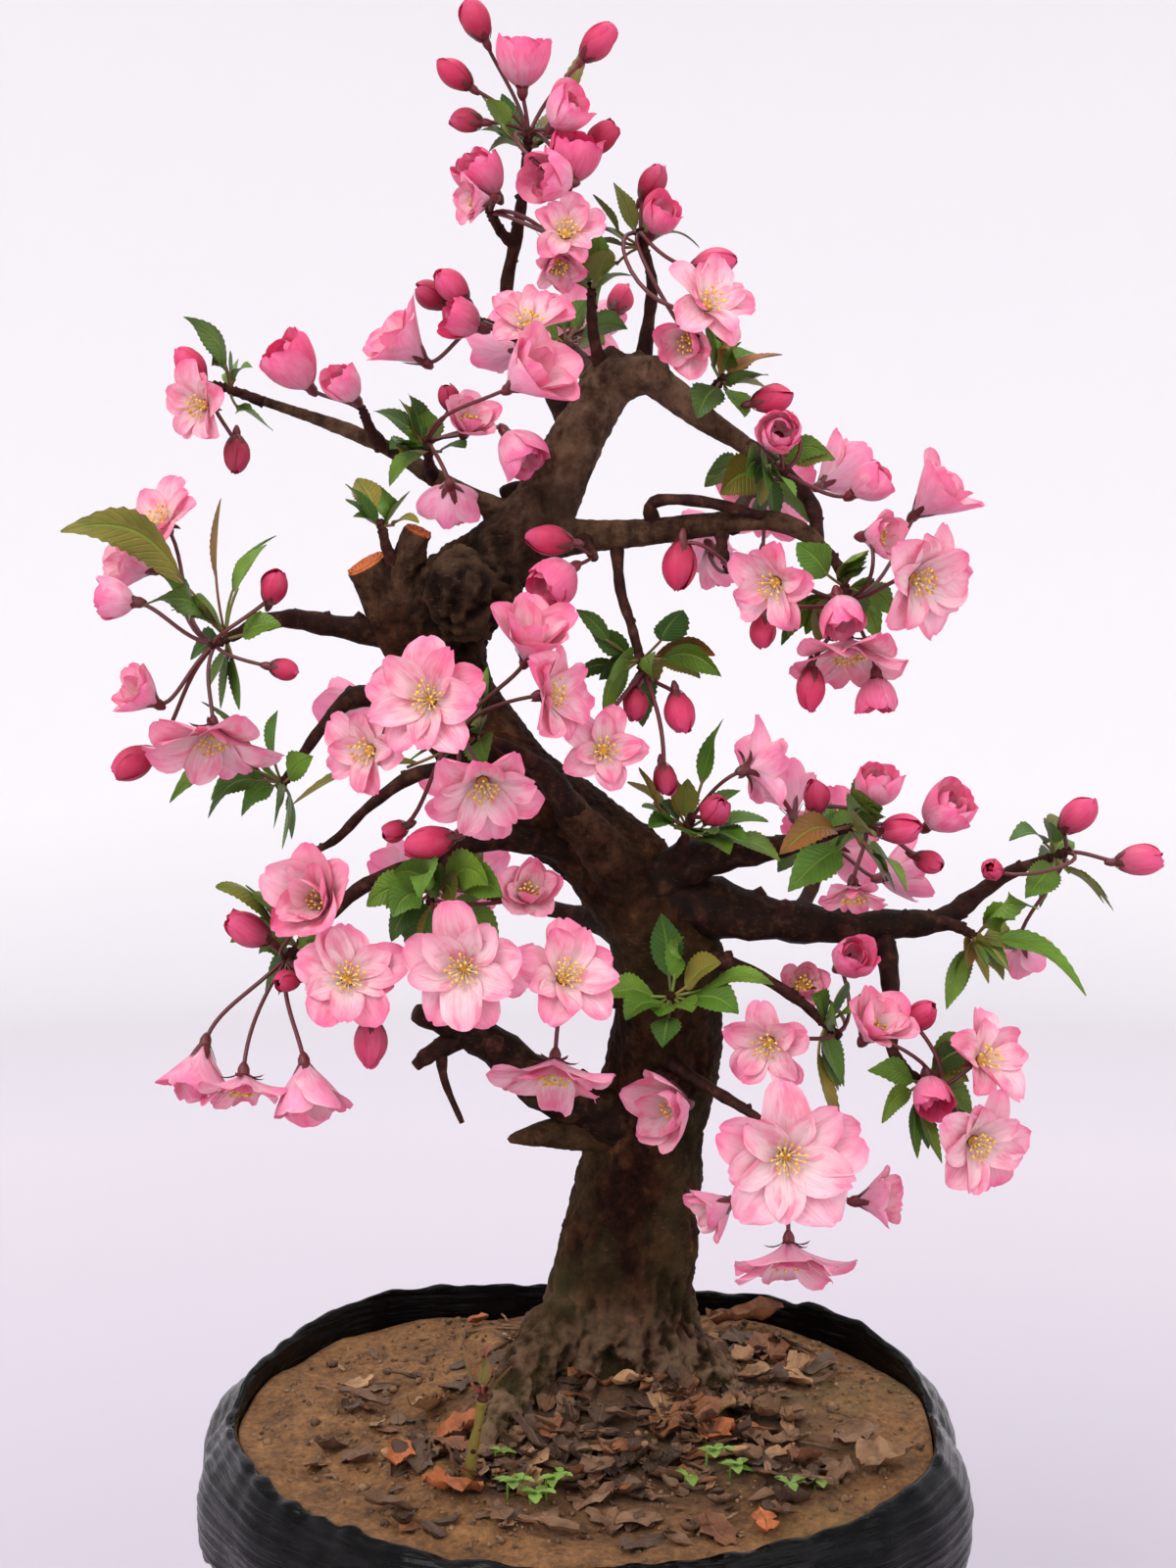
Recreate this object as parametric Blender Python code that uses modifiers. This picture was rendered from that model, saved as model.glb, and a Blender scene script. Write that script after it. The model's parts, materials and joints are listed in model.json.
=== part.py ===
"""A crabapple bonsai in full flower, in a black film grow bag filled with soil.

Wood, flowers and leaves are laid out in millimetres by the tables and rules below, and then
made as solids in metres, +Z up, standing on the bag's base at the origin.
"""

import math
import random

import bmesh
import bpy
import numpy as np
from mathutils import Matrix, Quaternion, Vector, noise

# ---------------------------------------------------------------------------------------------
# Layout, in millimetres. The origin is the middle of the bag's flat base, +Z is up and the
# front of the tree faces -Y.
# ---------------------------------------------------------------------------------------------

SOIL_LEVEL = 148.0
MOUND_HEIGHT = 13.0
MOUND_WIDTH = 46.0
BAG_FLOOR = 1.2
BAG_FILM = 1.2
FIT_GAP = 0.3
# Radius of the bag's mouth by angle from +X: flat across the back, soft corners elsewhere.
MOUTH = ((0, 101), (28, 101), (50, 98), (70, 87), (90, 83), (110, 88), (136, 104), (160, 103),
         (182, 104), (206, 102), (232, 101), (252, 100), (270, 100), (290, 100), (312, 102), (336, 104))
RIM_FRONT = 151.0
RIM_BACK = 167.0

# Trunk, branches and twigs: sides of the tube, then its route as x, y, z and radius.
WOOD = {
    "trunk": (10, ((7, 16, 137, 31), (9, 16, 150, 27.5), (10, 16, 164, 24), (10, 16, 185, 21.2),
                   (13, 16, 206, 19.4), (16, 15, 221, 17.6), (19, 12, 239, 16.6), (22, 8, 257, 16.5),
                   (23, 4, 276, 16.3), (20, 0, 294, 15.6), (11, 0, 308, 14.5), (-2, 2, 320, 13.6),
                   (-20, 6, 334, 13), (-35, 9, 351, 13), (-42, 8, 367, 13.4), (-40, 6, 383, 13.4),
                   (-29, 5, 395, 12), (-17, 4, 407, 10.2), (-9, 5, 420, 8.6), (-2, 6, 434, 7.9),
                   (5, 8, 447, 7.6), (11, 9, 454, 6.8))),
    "root_left": (5, ((0, 10, 178, 10), (-11, 1, 174, 8.5), (-19, -10, 166, 7), (-25, -20, 158, 5.5),
                      (-29, -29, 149, 4), (-31, -41, 147, 3), (-31, -53, 146, 2.2))),
    "sucker": (3, ((-31, -50, 146.5, 2), (-31, -51, 158, 1.5), (-29, -51, 168, 1.3), (-28, -51, 174, 1.3))),
    "root_right": (5, ((19, 12, 172, 11), (31, 7, 164, 8), (39, 2, 157, 5.5), (45, -3, 148, 4))),
    "root_back": (5, ((4, 22, 170, 11), (-4, 38, 163, 8), (-8, 50, 157, 5.5), (-12, 60, 148, 4))),
    "stub_left": (7, ((-44, 8, 368, 10.5), (-53, 6, 379, 8.6), (-58, 5, 388, 7), (-63, 2, 397, 6.2))),
    "stub_mid": (5, ((-56, 4, 384, 5.2), (-52, 0, 395, 4.5), (-47, -3, 406, 4.3))),
    "stub_top": (7, ((8, 6, 448, 7), (15, 0, 449, 5.6), (20, -5, 449, 5))),
    "knob_top": (5, ((-15, 6, 409, 5), (-20, 8, 414, 4.2), (-22, 9, 419, 3.6))),
    "root_stub": (5, ((6, 6, 234, 7), (-11, 0, 234, 4.2), (-23, -4, 233, 1.2))),
    "fork": (7, ((16, -4, 302, 10), (8, -12, 312, 7.5), (0, -16, 322, 5.8), (-6, -20, 330, 4.6))),
    "left_mid": (5, ((-52, 8, 376, 5), (-72, 2, 379, 3.3), (-84, -2, 381, 2.7), (-93, -6, 379, 2.2),
                     (-99, -9, 376, 1.5))),
    "right_high": (7, ((-19, 4, 403, 7), (0, 0, 404, 4.6), (16, -4, 405, 3.9), (33, -8, 407, 3.4),
                       (49, -12, 408, 2.9), (60, -16, 404, 2.5), (65, -19, 398, 1.9))),
    "right_high_tip": (5, ((64, -18, 400, 2), (68, -22, 395, 1.6), (69, -24, 391, 1.4))),
    "parallel_twig": (3, ((19, -4, 405, 2.4), (18, -8, 413, 1.8), (31, -14, 413, 1.6),
                          (48, -14, 409, 1.5))),
    "pendant": (3, ((8, -2, 402, 2), (9, -8, 389, 1.5), (12, -12, 379, 1.4), (14, -15, 371, 1.3))),
    "right_high_under": (3, ((37, -9, 406, 2.4), (37, -11, 401, 1.6), (38, -12, 397, 1.3))),
    "right_high_inner": (5, ((12, 8, 453, 5.5), (23, 4, 445, 4.5), (33, 2, 437, 3.6), (44, -4, 429, 2.6),
                             (50, -9, 424, 1.6))),
    "right_high_link": (4, ((44, -4, 429, 2.6), (55, -6, 421, 2.3), (62, -10, 412, 2.1),
                            (63, -15, 402, 2))),
    "crown_side": (3, ((28, 3, 441, 2.8), (33, 0, 443, 1.8), (36, -3, 446, 1.3))),
    "apex": (5, ((-4, 6, 434, 4.5), (-12, 10, 450, 2.8), (-20, 8, 463, 2.3), (-23, 6, 473, 2),
                 (-20, 3, 488, 1.8), (-18, 0, 500, 1.6), (-17, -2, 509, 1.3))),
    "crown_left": (3, ((-18, 8, 460, 2.2), (-24, 4, 462, 1.6), (-28, 0, 463, 1.3))),
    "twig_left": (3, ((-21, 3, 486, 2), (-24, -1, 488, 1.5), (-26, -5, 491, 1.3))),
    "crown_mid": (3, ((5, 6, 448, 2.8), (2, 3, 458, 1.8), (1, 1, 466, 1.5), (1, 0, 471, 1.3))),
    "crown_right": (3, ((15, 8, 450, 3), (17, 6, 464, 1.9), (18, 4, 475, 1.6), (16, 2, 483, 1.3))),
    "left_high": (5, ((-20, 5, 409, 4.5), (-34, 10, 416, 3), (-45, 12, 422, 2.7), (-54, 13, 428, 2.4),
                      (-69, 14, 435, 2.1), (-86, 15, 441, 1.8), (-95, 15, 444, 1.6))),
    "left_high_tip": (3, ((-93, 15, 443, 1.7), (-98, 15, 445, 1.5), (-101, 15, 446, 1.3))),
    "left_high_spur": (3, ((-59, 13, 430, 2.4), (-62, 9, 435, 1.6), (-63, 6, 438, 1.3))),
    "left_high_mid": (3, ((-44, 12, 421, 2.6), (-45, 7, 424, 1.8), (-45, 3, 427, 1.3))),
    "stub_leaves": (3, ((-52, 2, 393, 3.6), (-56, -4, 400, 1.8), (-57, -7, 405, 1.3))),
    "left_low_twig": (4, ((-46, 9, 356, 5), (-65, 6, 359, 3.2), (-74, 2, 352, 1.9), (-81, -2, 342, 1.5),
                          (-85, -4, 336, 1.3))),
    "bare_twig": (4, ((-30, 6, 338, 3), (-48, 8, 337, 2.2), (-62, 4, 328, 1.6), (-71, 0, 319, 1.3),
                      (-78, -3, 315, 1))),
    "left_low": (5, ((8, -4, 312, 6), (-10, -8, 318, 4.6), (-28, -16, 320, 3.2), (-45, -24, 314, 2.6),
                     (-60, -28, 309, 2.1), (-71, -32, 300, 1.8), (-77, -34, 294, 1.3))),
    "low_left_front": (3, ((-38, -21, 316, 2.6), (-40, -27, 312, 1.6), (-41, -31, 309, 1.3))),
    "low_left_branch": (7, ((16, 8, 232, 11), (1, 2, 241, 8), (-13, -4, 249, 7), (-26, -10, 261, 5.5),
                            (-38, -14, 268, 4.3), (-48, -18, 272, 2.6))),
    "low_left_nub": (4, ((-34, -12, 265, 3.8), (-44, -16, 260, 2.6), (-48, -18, 257, 1.6))),
    "low_left_thorn": (3, ((-41, -15, 262, 1.8), (-40, -17, 253, 1.2), (-35, -18, 241, 0.7))),
    "centre": (4, ((-3, -18, 326, 4.6), (-8, -23, 334, 3.8), (-14, -25, 341, 2.8), (-22, -27, 346, 1.9),
                   (-28, -29, 349, 1.3))),
    "trunk_bud": (3, ((-2, 0, 404, 3), (0, -8, 401, 1.7), (1, -12, 399, 1.3))),
    "right_tip": (7, ((18, -2, 301, 12.5), (33, -6, 300, 9), (50, -8, 297, 6.6), (69, -8, 295, 5),
                      (86, -6, 295, 4.2), (100, -4, 296, 3.5), (109, -2, 302, 2.7), (120, 0, 309, 2),
                      (131, 1, 313, 1.3))),
    "right_mid": (5, ((18, -6, 305, 9), (29, -10, 313, 6.5), (41, -13, 316, 4.6), (54, -15, 318, 3.2),
                      (64, -16, 321, 2.2), (71, -17, 323, 1.3))),
    "centre_right": (3, ((25, -12, 312, 4), (26, -17, 318, 2), (27, -20, 322, 1.3))),
    "right_outer": (3, ((96, -4, 296, 3), (103, -8, 295, 1.9), (107, -11, 293, 1.3))),
    "right_hang": (5, ((83, -5, 295, 3.6), (84, -12, 284, 2.8), (84, -20, 273, 2.3), (83, -27, 264, 1.8),
                       (86, -32, 259, 1.5), (89, -35, 257, 1.3))),
    "right_inner": (3, ((27, -2, 287, 4.5), (45, -14, 283, 1.9), (58, -21, 276, 1.6), (64, -25, 271, 1.3))),
    "low_right": (4, ((22, 0, 256, 4), (27, -22, 256, 1.9), (35, -40, 254, 1.6), (42, -47, 251, 1.4),
                      (46, -50, 248, 1.3))),
    "trunk_leaves": (3, ((24, -6, 270, 4), (24, -19, 274, 1.7), (23, -25, 277, 1.3))),
    "trunk_spur": (3, ((21, 0, 252, 4), (21, -13, 253, 2), (22, -19, 254, 1.3))),
    "trunk_front": (3, ((18, -6, 276, 5), (5, -17, 275, 2), (-1, -22, 276, 1.6), (-4, -26, 278, 1.3))),
    "back_crown": (3, ((3, 8, 446, 3.5), (0, 22, 454, 2), (-4, 32, 460, 1.6), (-6, 38, 462, 1.3))),
    "back_high": (4, ((40, -9, 407, 3), (43, 6, 412, 2.2), (47, 20, 418, 1.7), (50, 28, 421, 1.3))),
    "back_left": (4, ((-28, 8, 344, 5), (-34, 26, 346, 2.8), (-42, 40, 352, 1.9), (-46, 47, 355, 1.3))),
    "back_right": (4, ((58, -8, 296, 4), (62, 10, 298, 2.4), (68, 26, 305, 1.8), (71, 34, 310, 1.3))),
    "back_low": (4, ((12, 4, 292, 6), (-4, 24, 294, 3), (-22, 38, 296, 2), (-30, 44, 297, 1.3))),
}
BURR = (-33, -3, 388, 14)

# Flowers of each spray: form, middle of the flower, the way it faces (turn from the front toward
# +X, and tilt upward, in degrees) and its size (width of an open flower or a cup, length of a
# half-open one or a bud).
FLOWERS = {
    "apex": (
        ("bud", -31, -6, 545, -60, 60, 12),
        ("bud", -37, -8, 530, -70, 35, 11.5),
        ("bud", -34, -8, 517, -90, 5, 9),
        ("bud", 3, -2, 540, 70, 45, 12.5),
        ("half", -6, -14, 518, 50, 35, 12),
        ("bud", 4, -2, 514, 60, 40, 10.5),
        ("half", -18, -8, 533, 0, 75, 15),
        ("half", -4, -12, 506, 25, 60, 15),
        ("half", -10, -20, 499, -50, 0, 14),
    ),
    "twig_left": (
        ("half", -29, -10, 502, -50, 45, 14),
        ("cup", -30, -16, 494, -60, -10, 15),
        ("open", -6, -18, 485, 10, 15, 21),
        ("cup", -8, -14, 477, 10, -40, 15),
    ),
    "crown_right": (
        ("bud", 18, -2, 502, 50, 50, 10.5),
        ("half", 20, -8, 491, 30, 40, 11),
        ("bud", 35, -10, 478, 80, 10, 13),
        ("open", 32, -24, 465, 25, 25, 26),
        ("cup", 27, -14, 456, -20, -20, 18),
    ),
    "crown_left": (
        ("bud", -44, 0, 471, -60, 25, 10),
        ("bud", -38, -6, 473, -50, 35, 12),
        ("half", -35, -10, 463, -70, 20, 12),
        ("open", -16, -20, 460, 0, 35, 24),
        ("cup", -50, -6, 456, -60, 35, 23),
    ),
    "left_high_tip": (
        ("open", -109, 4, 441, -35, -10, 24),
        ("bud", -113, 8, 453, -60, 50, 12),
        ("bud", -100, 8, 427, 0, -80, 11),
    ),
    "left_high_spur": (
        ("half", -83, 2, 452, -50, 45, 17),
        ("half", -68, -2, 446, -40, 40, 11),
    ),
    "left_high_mid": (
        ("bud", -39, -2, 443, -20, 60, 7),
        ("cup", -33, -8, 435, 20, 30, 17),
        ("cup", -16, -34, 445, 50, 25, 25),
        ("half", -19, -10, 427, 60, -50, 14),
        ("cup", -38, -8, 415, 180, -30, 18),
    ),
    "left_mid": (
        ("open", -122, 12, 409, -30, 40, 27),
        ("cup", -129, 6, 396, -60, 10, 20),
        ("half", -131, -12, 386, -85, 5, 12),
        ("bud", -86, -16, 390, 30, 50, 11),
        ("bud", -83, -16, 367, 85, -10, 8),
        ("cup", -122, -18, 360, -50, 30, 17),
        ("open", -103, -20, 349, 0, -60, 36),
        ("bud", -126, -14, 341, -60, -30, 13),
    ),
    "centre": (
        ("open", -41, -56, 360, -15, 10, 33),
        ("cup", -15, -44, 375, 20, 50, 24),
        ("open", -10, -50, 361, 60, 5, 28),
        ("open", -58, -42, 346, -30, 0, 25),
        ("open", -27, -56, 338, 10, -40, 32),
        ("bud", -42, -44, 322, -80, -10, 13),
        ("bud", -52, -36, 324, -60, -20, 7),
    ),
    "pendant": (
        ("bud", 13, -22, 357, 0, -60, 10),
        ("bud", 25, -24, 355, 30, -70, 12),
        ("bud", 21, -28, 337, 20, -60, 9),
        ("open", 4, -38, 346, 5, 5, 23),
    ),
    "centre_right": (
        ("open", 44, -36, 341, 115, 10, 26),
        ("bud", 34, -38, 330, 20, 30, 11),
    ),
    "trunk_bud": (
        ("bud", -11, -22, 402, -85, 5, 13),
        ("half", -9, -24, 391, -50, -30, 15),
    ),
    "right_high_inner": (
        ("bud", 51, -14, 441, 70, 10, 12),
        ("half", 52, -20, 431, 0, 5, 12),
        ("half", 77, -18, 418, 60, 30, 12),
    ),
    "right_high_tip": (
        ("cup", 78, -26, 403, 50, 0, 16),
        ("cup", 95, -12, 414, 60, 40, 24),
        ("open", 87, -38, 391, 40, -15, 32),
        ("open", 49, -40, 390, -30, -20, 26),
        ("open", 70, -28, 373, 0, -70, 34),
        ("half", 67, -40, 382, 20, -60, 11),
        ("bud", 47, -32, 377, 0, -80, 10),
        ("bud", 60, -30, 361, 0, -86, 13),
        ("half", 78, -28, 360, 20, -84, 11),
    ),
    "right_high_under": (
        ("bud", 25, -20, 395, -30, -80, 14),
        ("cup", 36, 2, 398, 150, -40, 18),
    ),
    "right_mid": (
        ("bud", 62, -24, 333, -20, 60, 11),
        ("half", 79, -20, 335, 30, 60, 13),
        ("half", 99, -14, 328, 45, 40, 15),
        ("bud", 85, -28, 324, 60, 10, 12),
        ("bud", 94, -20, 314, 60, -20, 8),
        ("open", 72, -28, 307, 0, -60, 20),
    ),
    "right_tip": (
        ("bud", 139, -2, 326, 60, 45, 14),
        ("bud", 156, -4, 313, 85, 5, 13),
        ("bud", 113, -10, 311, -20, 20, 7),
        ("cup", 127, 12, 286, 150, -40, 17),
    ),
    "right_hang": (
        ("cup", 75, -50, 274, 30, 45, 21),
        ("open", 105, -44, 264, 35, 25, 26),
        ("open", 102, -50, 243, 25, -10, 29),
        ("half", 91, -46, 255, 10, -45, 11),
        ("bud", 90, -34, 274, 60, 40, 10),
    ),
    "right_inner": (
        ("open", 48, -42, 268, -20, -10, 25),
        ("cup", 60, -14, 279, 0, 20, 15),
        ("half", 72, -24, 288, 30, 30, 12),
    ),
    "low_right": (
        ("open", 50, -74, 245, 5, 5, 38),
        ("cup", 33, -60, 228, -70, -20, 17),
        ("cup", 75, -58, 230, 70, 10, 18),
        ("open", 52, -62, 217, 0, -65, 33),
    ),
    "trunk_spur": (
        ("cup", 22, -36, 249, -45, 0, 23),
    ),
    "left_low": (
        ("cup", -71, -52, 308, -20, 20, 25),
        ("open", -62, -58, 288, 10, 20, 30),
        ("cup", -103, -44, 262, -20, -65, 23),
        ("open", -90, -54, 260, 0, -70, 26),
        ("cup", -74, -50, 258, 20, -65, 23),
        ("bud", -57, -50, 269, 10, -80, 14),
        ("bud", -91, -38, 298, -70, 30, 13),
        ("bud", -80, -44, 285, -40, 0, 7),
    ),
    "low_left_front": (
        ("open", -32, -62, 291, -5, 5, 33),
        ("cup", -16, -38, 308, 15, 20, 18),
    ),
    "trunk_front": (
        ("open", -6, -56, 288, 25, 30, 30),
        ("open", -9, -46, 262, -10, -62, 33),
    ),
    "back_crown": (
        ("open", -4, 62, 470, 178, 20, 30),
        ("cup", -24, 52, 464, -140, 15, 24),
        ("bud", 10, 50, 478, 150, 50, 12),
    ),
    "back_high": (
        ("open", 54, 52, 420, 170, 10, 32),
        ("cup", 74, 38, 424, 120, 30, 24),
        ("cup", 38, 48, 408, -150, -30, 23),
        ("bud", 52, 36, 394, 180, -80, 13),
    ),
    "back_left": (
        ("open", -52, 70, 358, -165, 10, 32),
        ("cup", -72, 56, 352, -120, 10, 24),
        ("cup", -42, 60, 376, 170, 50, 22),
        ("open", -40, 60, 334, 160, -50, 28),
    ),
    "back_right": (
        ("open", 76, 58, 312, 165, 10, 32),
        ("cup", 94, 42, 304, 110, 10, 22),
        ("cup", 62, 52, 326, -170, 50, 22),
        ("bud", 84, 44, 330, 130, 60, 12),
    ),
    "back_low": (
        ("open", -38, 66, 300, -160, 10, 30),
        ("cup", -56, 52, 302, -120, 20, 23),
        ("open", -30, 58, 276, 180, -60, 29),
        ("bud", -48, 54, 282, -150, -60, 12),
    ),
}

# Leaves whose place is drawn: tip, length and width of the blade, how far it arches, and its colour.
LEAVES = {
    "apex": (
        (0, -6, 549, 26, 8, 2, "olive"),
        (-27, -14, 522, 11, 7, 1, "green"),
        (-13, -18, 523, 10, 7, 1, "green"),
        (-26, -8, 508, 10, 7, 1, "green"),
    ),
    "crown_right": (
        (9, 0, 507, 16, 5, 2, "olive"),
        (5, -4, 501, 12, 5, 2, "olive"),
        (31, 0, 484, 15, 6, 3, "olive"),
        (7, -6, 464, 15, 6, 3, "olive"),
    ),
    "crown_mid": (
        (12, -8, 475, 12, 7, 1, "green"),
        (-9, -6, 475, 11, 6, 1, "green"),
        (5, -6, 483, 12, 5, 2, "olive"),
    ),
    "left_high_tip": (
        (-92, 6, 437, 12, 6, 1, "green"),
        (-95, 8, 452, 9, 5, 1, "green"),
    ),
    "left_high_mid": (
        (-60, 0, 439, 20, 7, 2, "dark"),
        (-44, -6, 437, 11, 8, 1, "green"),
        (-53, -6, 430, 12, 7, 1, "green"),
        (-56, 2, 418, 13, 7, 1, "green"),
    ),
    "stub_leaves": (
        (-67, -10, 418, 18, 6, 2, "dark"),
        (-65, -10, 409, 11, 6, 1, "green"),
        (-49, -13, 416, 13, 6, 1, "green"),
        (-57, -14, 417, 11, 5, 1, "green"),
    ),
    "left_mid": (
        (-145, -14, 405, 38, 11, 9, "olive"),
        (-101, -12, 414, 23, 6, 1, "brown"),
        (-87, -4, 404, 19, 5, 2, "green"),
        (-88, -16, 401, 16, 9, 1, "green"),
        (-121, -24, 384, 19, 7, 2, "dark"),
        (-119, -4, 394, 12, 5, 1, "green"),
        (-84, -18, 379, 12, 7, 1, "green"),
    ),
    "left_low_twig": (
        (-118, -12, 332, 26, 7, 7, "green"),
        (-107, -8, 326, 16, 6, 3, "dark"),
        (-96, -10, 345, 13, 7, 1, "green"),
        (-108, -8, 358, 24, 5, 4, "green"),
        (-84, -12, 355, 14, 7, 2, "green"),
        (-76, -14, 343, 12, 7, 1, "green"),
    ),
    "centre": (
        (-75, -48, 329, 33, 9, 8, "olive"),
    ),
    "pendant": (
        (-1, -18, 387, 13, 4, 1, "dark"),
        (1, -20, 377, 13, 6, 1, "dark"),
        (26, -24, 383, 12, 10, 1, "dark"),
        (35, -16, 371, 17, 6, 2, "brown"),
        (3, -18, 364, 13, 7, 1, "dark"),
    ),
    "centre_right": (
        (36, -30, 353, 19, 5, 2, "green"),
        (16, -32, 332, 12, 9, 1, "green"),
        (14, -32, 346, 16, 4, 2, "brown"),
        (52, -30, 315, 17, 8, 2, "green"),
        (38, -36, 318, 14, 8, 1, "green"),
    ),
    "right_high_inner": (
        (36, -18, 415, 15, 10, 1, "olive"),
        (64, -22, 412, 13, 8, 1, "green"),
        (66, -6, 425, 12, 6, 1, "green"),
    ),
    "crown_side": (
        (54, -4, 454, 17, 5, 2, "brown"),
        (40, -8, 460, 14, 5, 3, "brown"),
        (30, -12, 436, 12, 8, 1, "dark"),
        (43, -12, 436, 12, 8, 1, "green"),
    ),
    "right_high_tip": (
        (56, -28, 401, 12, 8, 1, "green"),
        (78, -16, 386, 11, 7, 1, "green"),
    ),
    "right_mid": (
        (51, -38, 318, 20, 8, 3, "brown"),
        (86, -40, 304, 19, 9, 5, "green"),
        (75, -32, 334, 14, 7, 2, "brown"),
        (54, -30, 307, 18, 9, 2, "green"),
        (82, -36, 319, 15, 8, 2, "olive"),
    ),
    "right_tip": (
        (138, -10, 290, 26, 7, 9, "green"),
        (147, -6, 301, 14, 3, 3, "green"),
        (129, -8, 324, 10, 7, 1, "dark"),
        (118, -8, 319, 13, 8, 2, "dark"),
        (122, -12, 303, 14, 8, 1, "green"),
    ),
    "right_outer": (
        (139, -14, 276, 26, 7, 6, "green"),
        (111, -18, 280, 15, 7, 2, "olive"),
        (99, -20, 273, 18, 8, 2, "green"),
        (104, -24, 285, 12, 6, 1, "brown"),
    ),
    "right_hang": (
        (103, -34, 256, 14, 6, 1, "olive"),
        (75, -38, 260, 13, 6, 1, "green"),
        (100, -32, 269, 12, 7, 1, "green"),
    ),
    "right_inner": (
        (75, -24, 282, 15, 8, 1, "dark"),
        (60, -36, 280, 13, 7, 1, "green"),
        (68, -38, 258, 15, 8, 2, "green"),
        (82, -44, 252, 21, 7, 4, "olive"),
    ),
    "trunk_leaves": (
        (24, -36, 296, 16, 6, 2, "green"),
        (38, -42, 272, 18, 9, 2, "green"),
        (50, -38, 283, 21, 5, 3, "green"),
        (10, -40, 274, 15, 8, 2, "green"),
        (20, -42, 267, 12, 7, 1, "dark"),
    ),
    "sucker": (
        (-33, -53, 190, 12, 4, 1, "brown"),
        (-26, -56, 191, 12, 4, 1, "brown"),
        (-20, -53, 184, 11, 3.5, 1, "brown"),
    ),
    "left_low": (
        (-100, -46, 312, 22, 8, 3, "olive"),
        (-92, -54, 289, 20, 6, 3, "green"),
        (-68, -44, 298, 14, 8, 1, "green"),
    ),
    "low_left_front": (
        (-26, -50, 311, 20, 9, 3, "green"),
        (-57, -42, 300, 15, 9, 2, "dark"),
        (-52, -38, 313, 13, 8, 1, "green"),
        (-20, -44, 300, 17, 8, 2, "green"),
    ),
    "back_crown": (
        (-22, 46, 474, 18, 8, 3, "green"),
        (12, 46, 468, 16, 8, 2, "dark"),
    ),
    "back_high": (
        (66, 36, 410, 18, 8, 3, "green"),
        (36, 40, 424, 16, 8, 2, "dark"),
    ),
    "back_left": (
        (-66, 50, 342, 20, 8, 3, "green"),
        (-34, 62, 350, 16, 8, 2, "olive"),
    ),
    "back_right": (
        (90, 40, 320, 20, 8, 3, "green"),
        (58, 46, 304, 17, 8, 2, "dark"),
    ),
    "back_low": (
        (-52, 48, 310, 20, 8, 3, "green"),
        (-20, 58, 296, 16, 8, 2, "dark"),
    ),
}
# Small leaves set round a spur by the golden angle, as many as find room.
ROSETTE = {"apex": 1, "crown_mid": 1, "left_high_tip": 1, "right_high_tip": 3,
           "left_low": 1, "back_crown": 2, "back_high": 2, "back_left": 2, "back_right": 2,
           "back_low": 1, "centre": 3}

GOLDEN_ANGLE = math.radians(137.508)
UP = Vector((0, 0, 1))
SPUR_KNOB = 3.0
ROOT_SUNK = 0.8
PETALS = 5
# Slope of a petal, in degrees above the flower's plane, at its claw and at its tip.
PETAL_SLOPE = {"open": (45, -10), "cup": (70, 30), "half": (50, 85)}
SEAT_RADIUS = 1.8
BUD_SUNK = 1.6
PETAL_HALF_WIDTH = 0.37
PETAL_HOLLOW = 0.28
PETIOLE_HALF_WIDTH = 0.5
CLEARANCE = 0.7


def smooth_route(points, steps):
    """A Catmull-Rom curve through points of any size, steps to a span."""
    rows = [Vector(point) for point in points]
    rows = [2 * rows[0] - rows[1]] + rows + [2 * rows[-1] - rows[-2]]
    route = []
    for before, start, end, after in zip(rows, rows[1:], rows[2:], rows[3:]):
        for step in range(steps):
            t = step / steps
            bend = 2 * before - 5 * start + 4 * end - after
            twist = 3 * start - 3 * end + after - before
            route.append(0.5 * (2 * start + (end - before) * t + bend * t * t + twist * t ** 3))
    return route + [rows[-2]]


def wood_route(name, steps=2):
    return smooth_route(WOOD[name][1], steps)


def facing(turn, tilt):
    turn, tilt = math.radians(turn), math.radians(tilt)
    return Vector((math.sin(turn) * math.cos(tilt), -math.cos(turn) * math.cos(tilt), math.sin(tilt)))


def frame_about(axis, toward=UP):
    """Two directions square to axis, the first as near to toward as it can be."""
    first = toward - axis * toward.dot(axis)
    if first.length < 1e-3:
        first = Vector((1, 0, 0)) - axis * axis.x
    first.normalize()
    return first, axis.cross(first)


def petal_arc(form, s):
    """Distance from the flower's axis and height above its seat, per petal length, and the slope."""
    start, end = (math.radians(angle) for angle in PETAL_SLOPE[form])
    change = end - start
    slope = start + change * s
    return (math.sin(slope) - math.sin(start)) / change, (math.cos(start) - math.cos(slope)) / change, slope


def petal_outline(s):
    """Half width of a petal, as a share of its widest, from claw to tip."""
    widest = 0.6
    if s < widest:
        return 0.3 + 0.7 * math.sin(math.pi / 2 * s / widest)
    return math.sqrt(max(0.0, 1 - ((s - widest) / (1.02 - widest)) ** 2))


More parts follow.
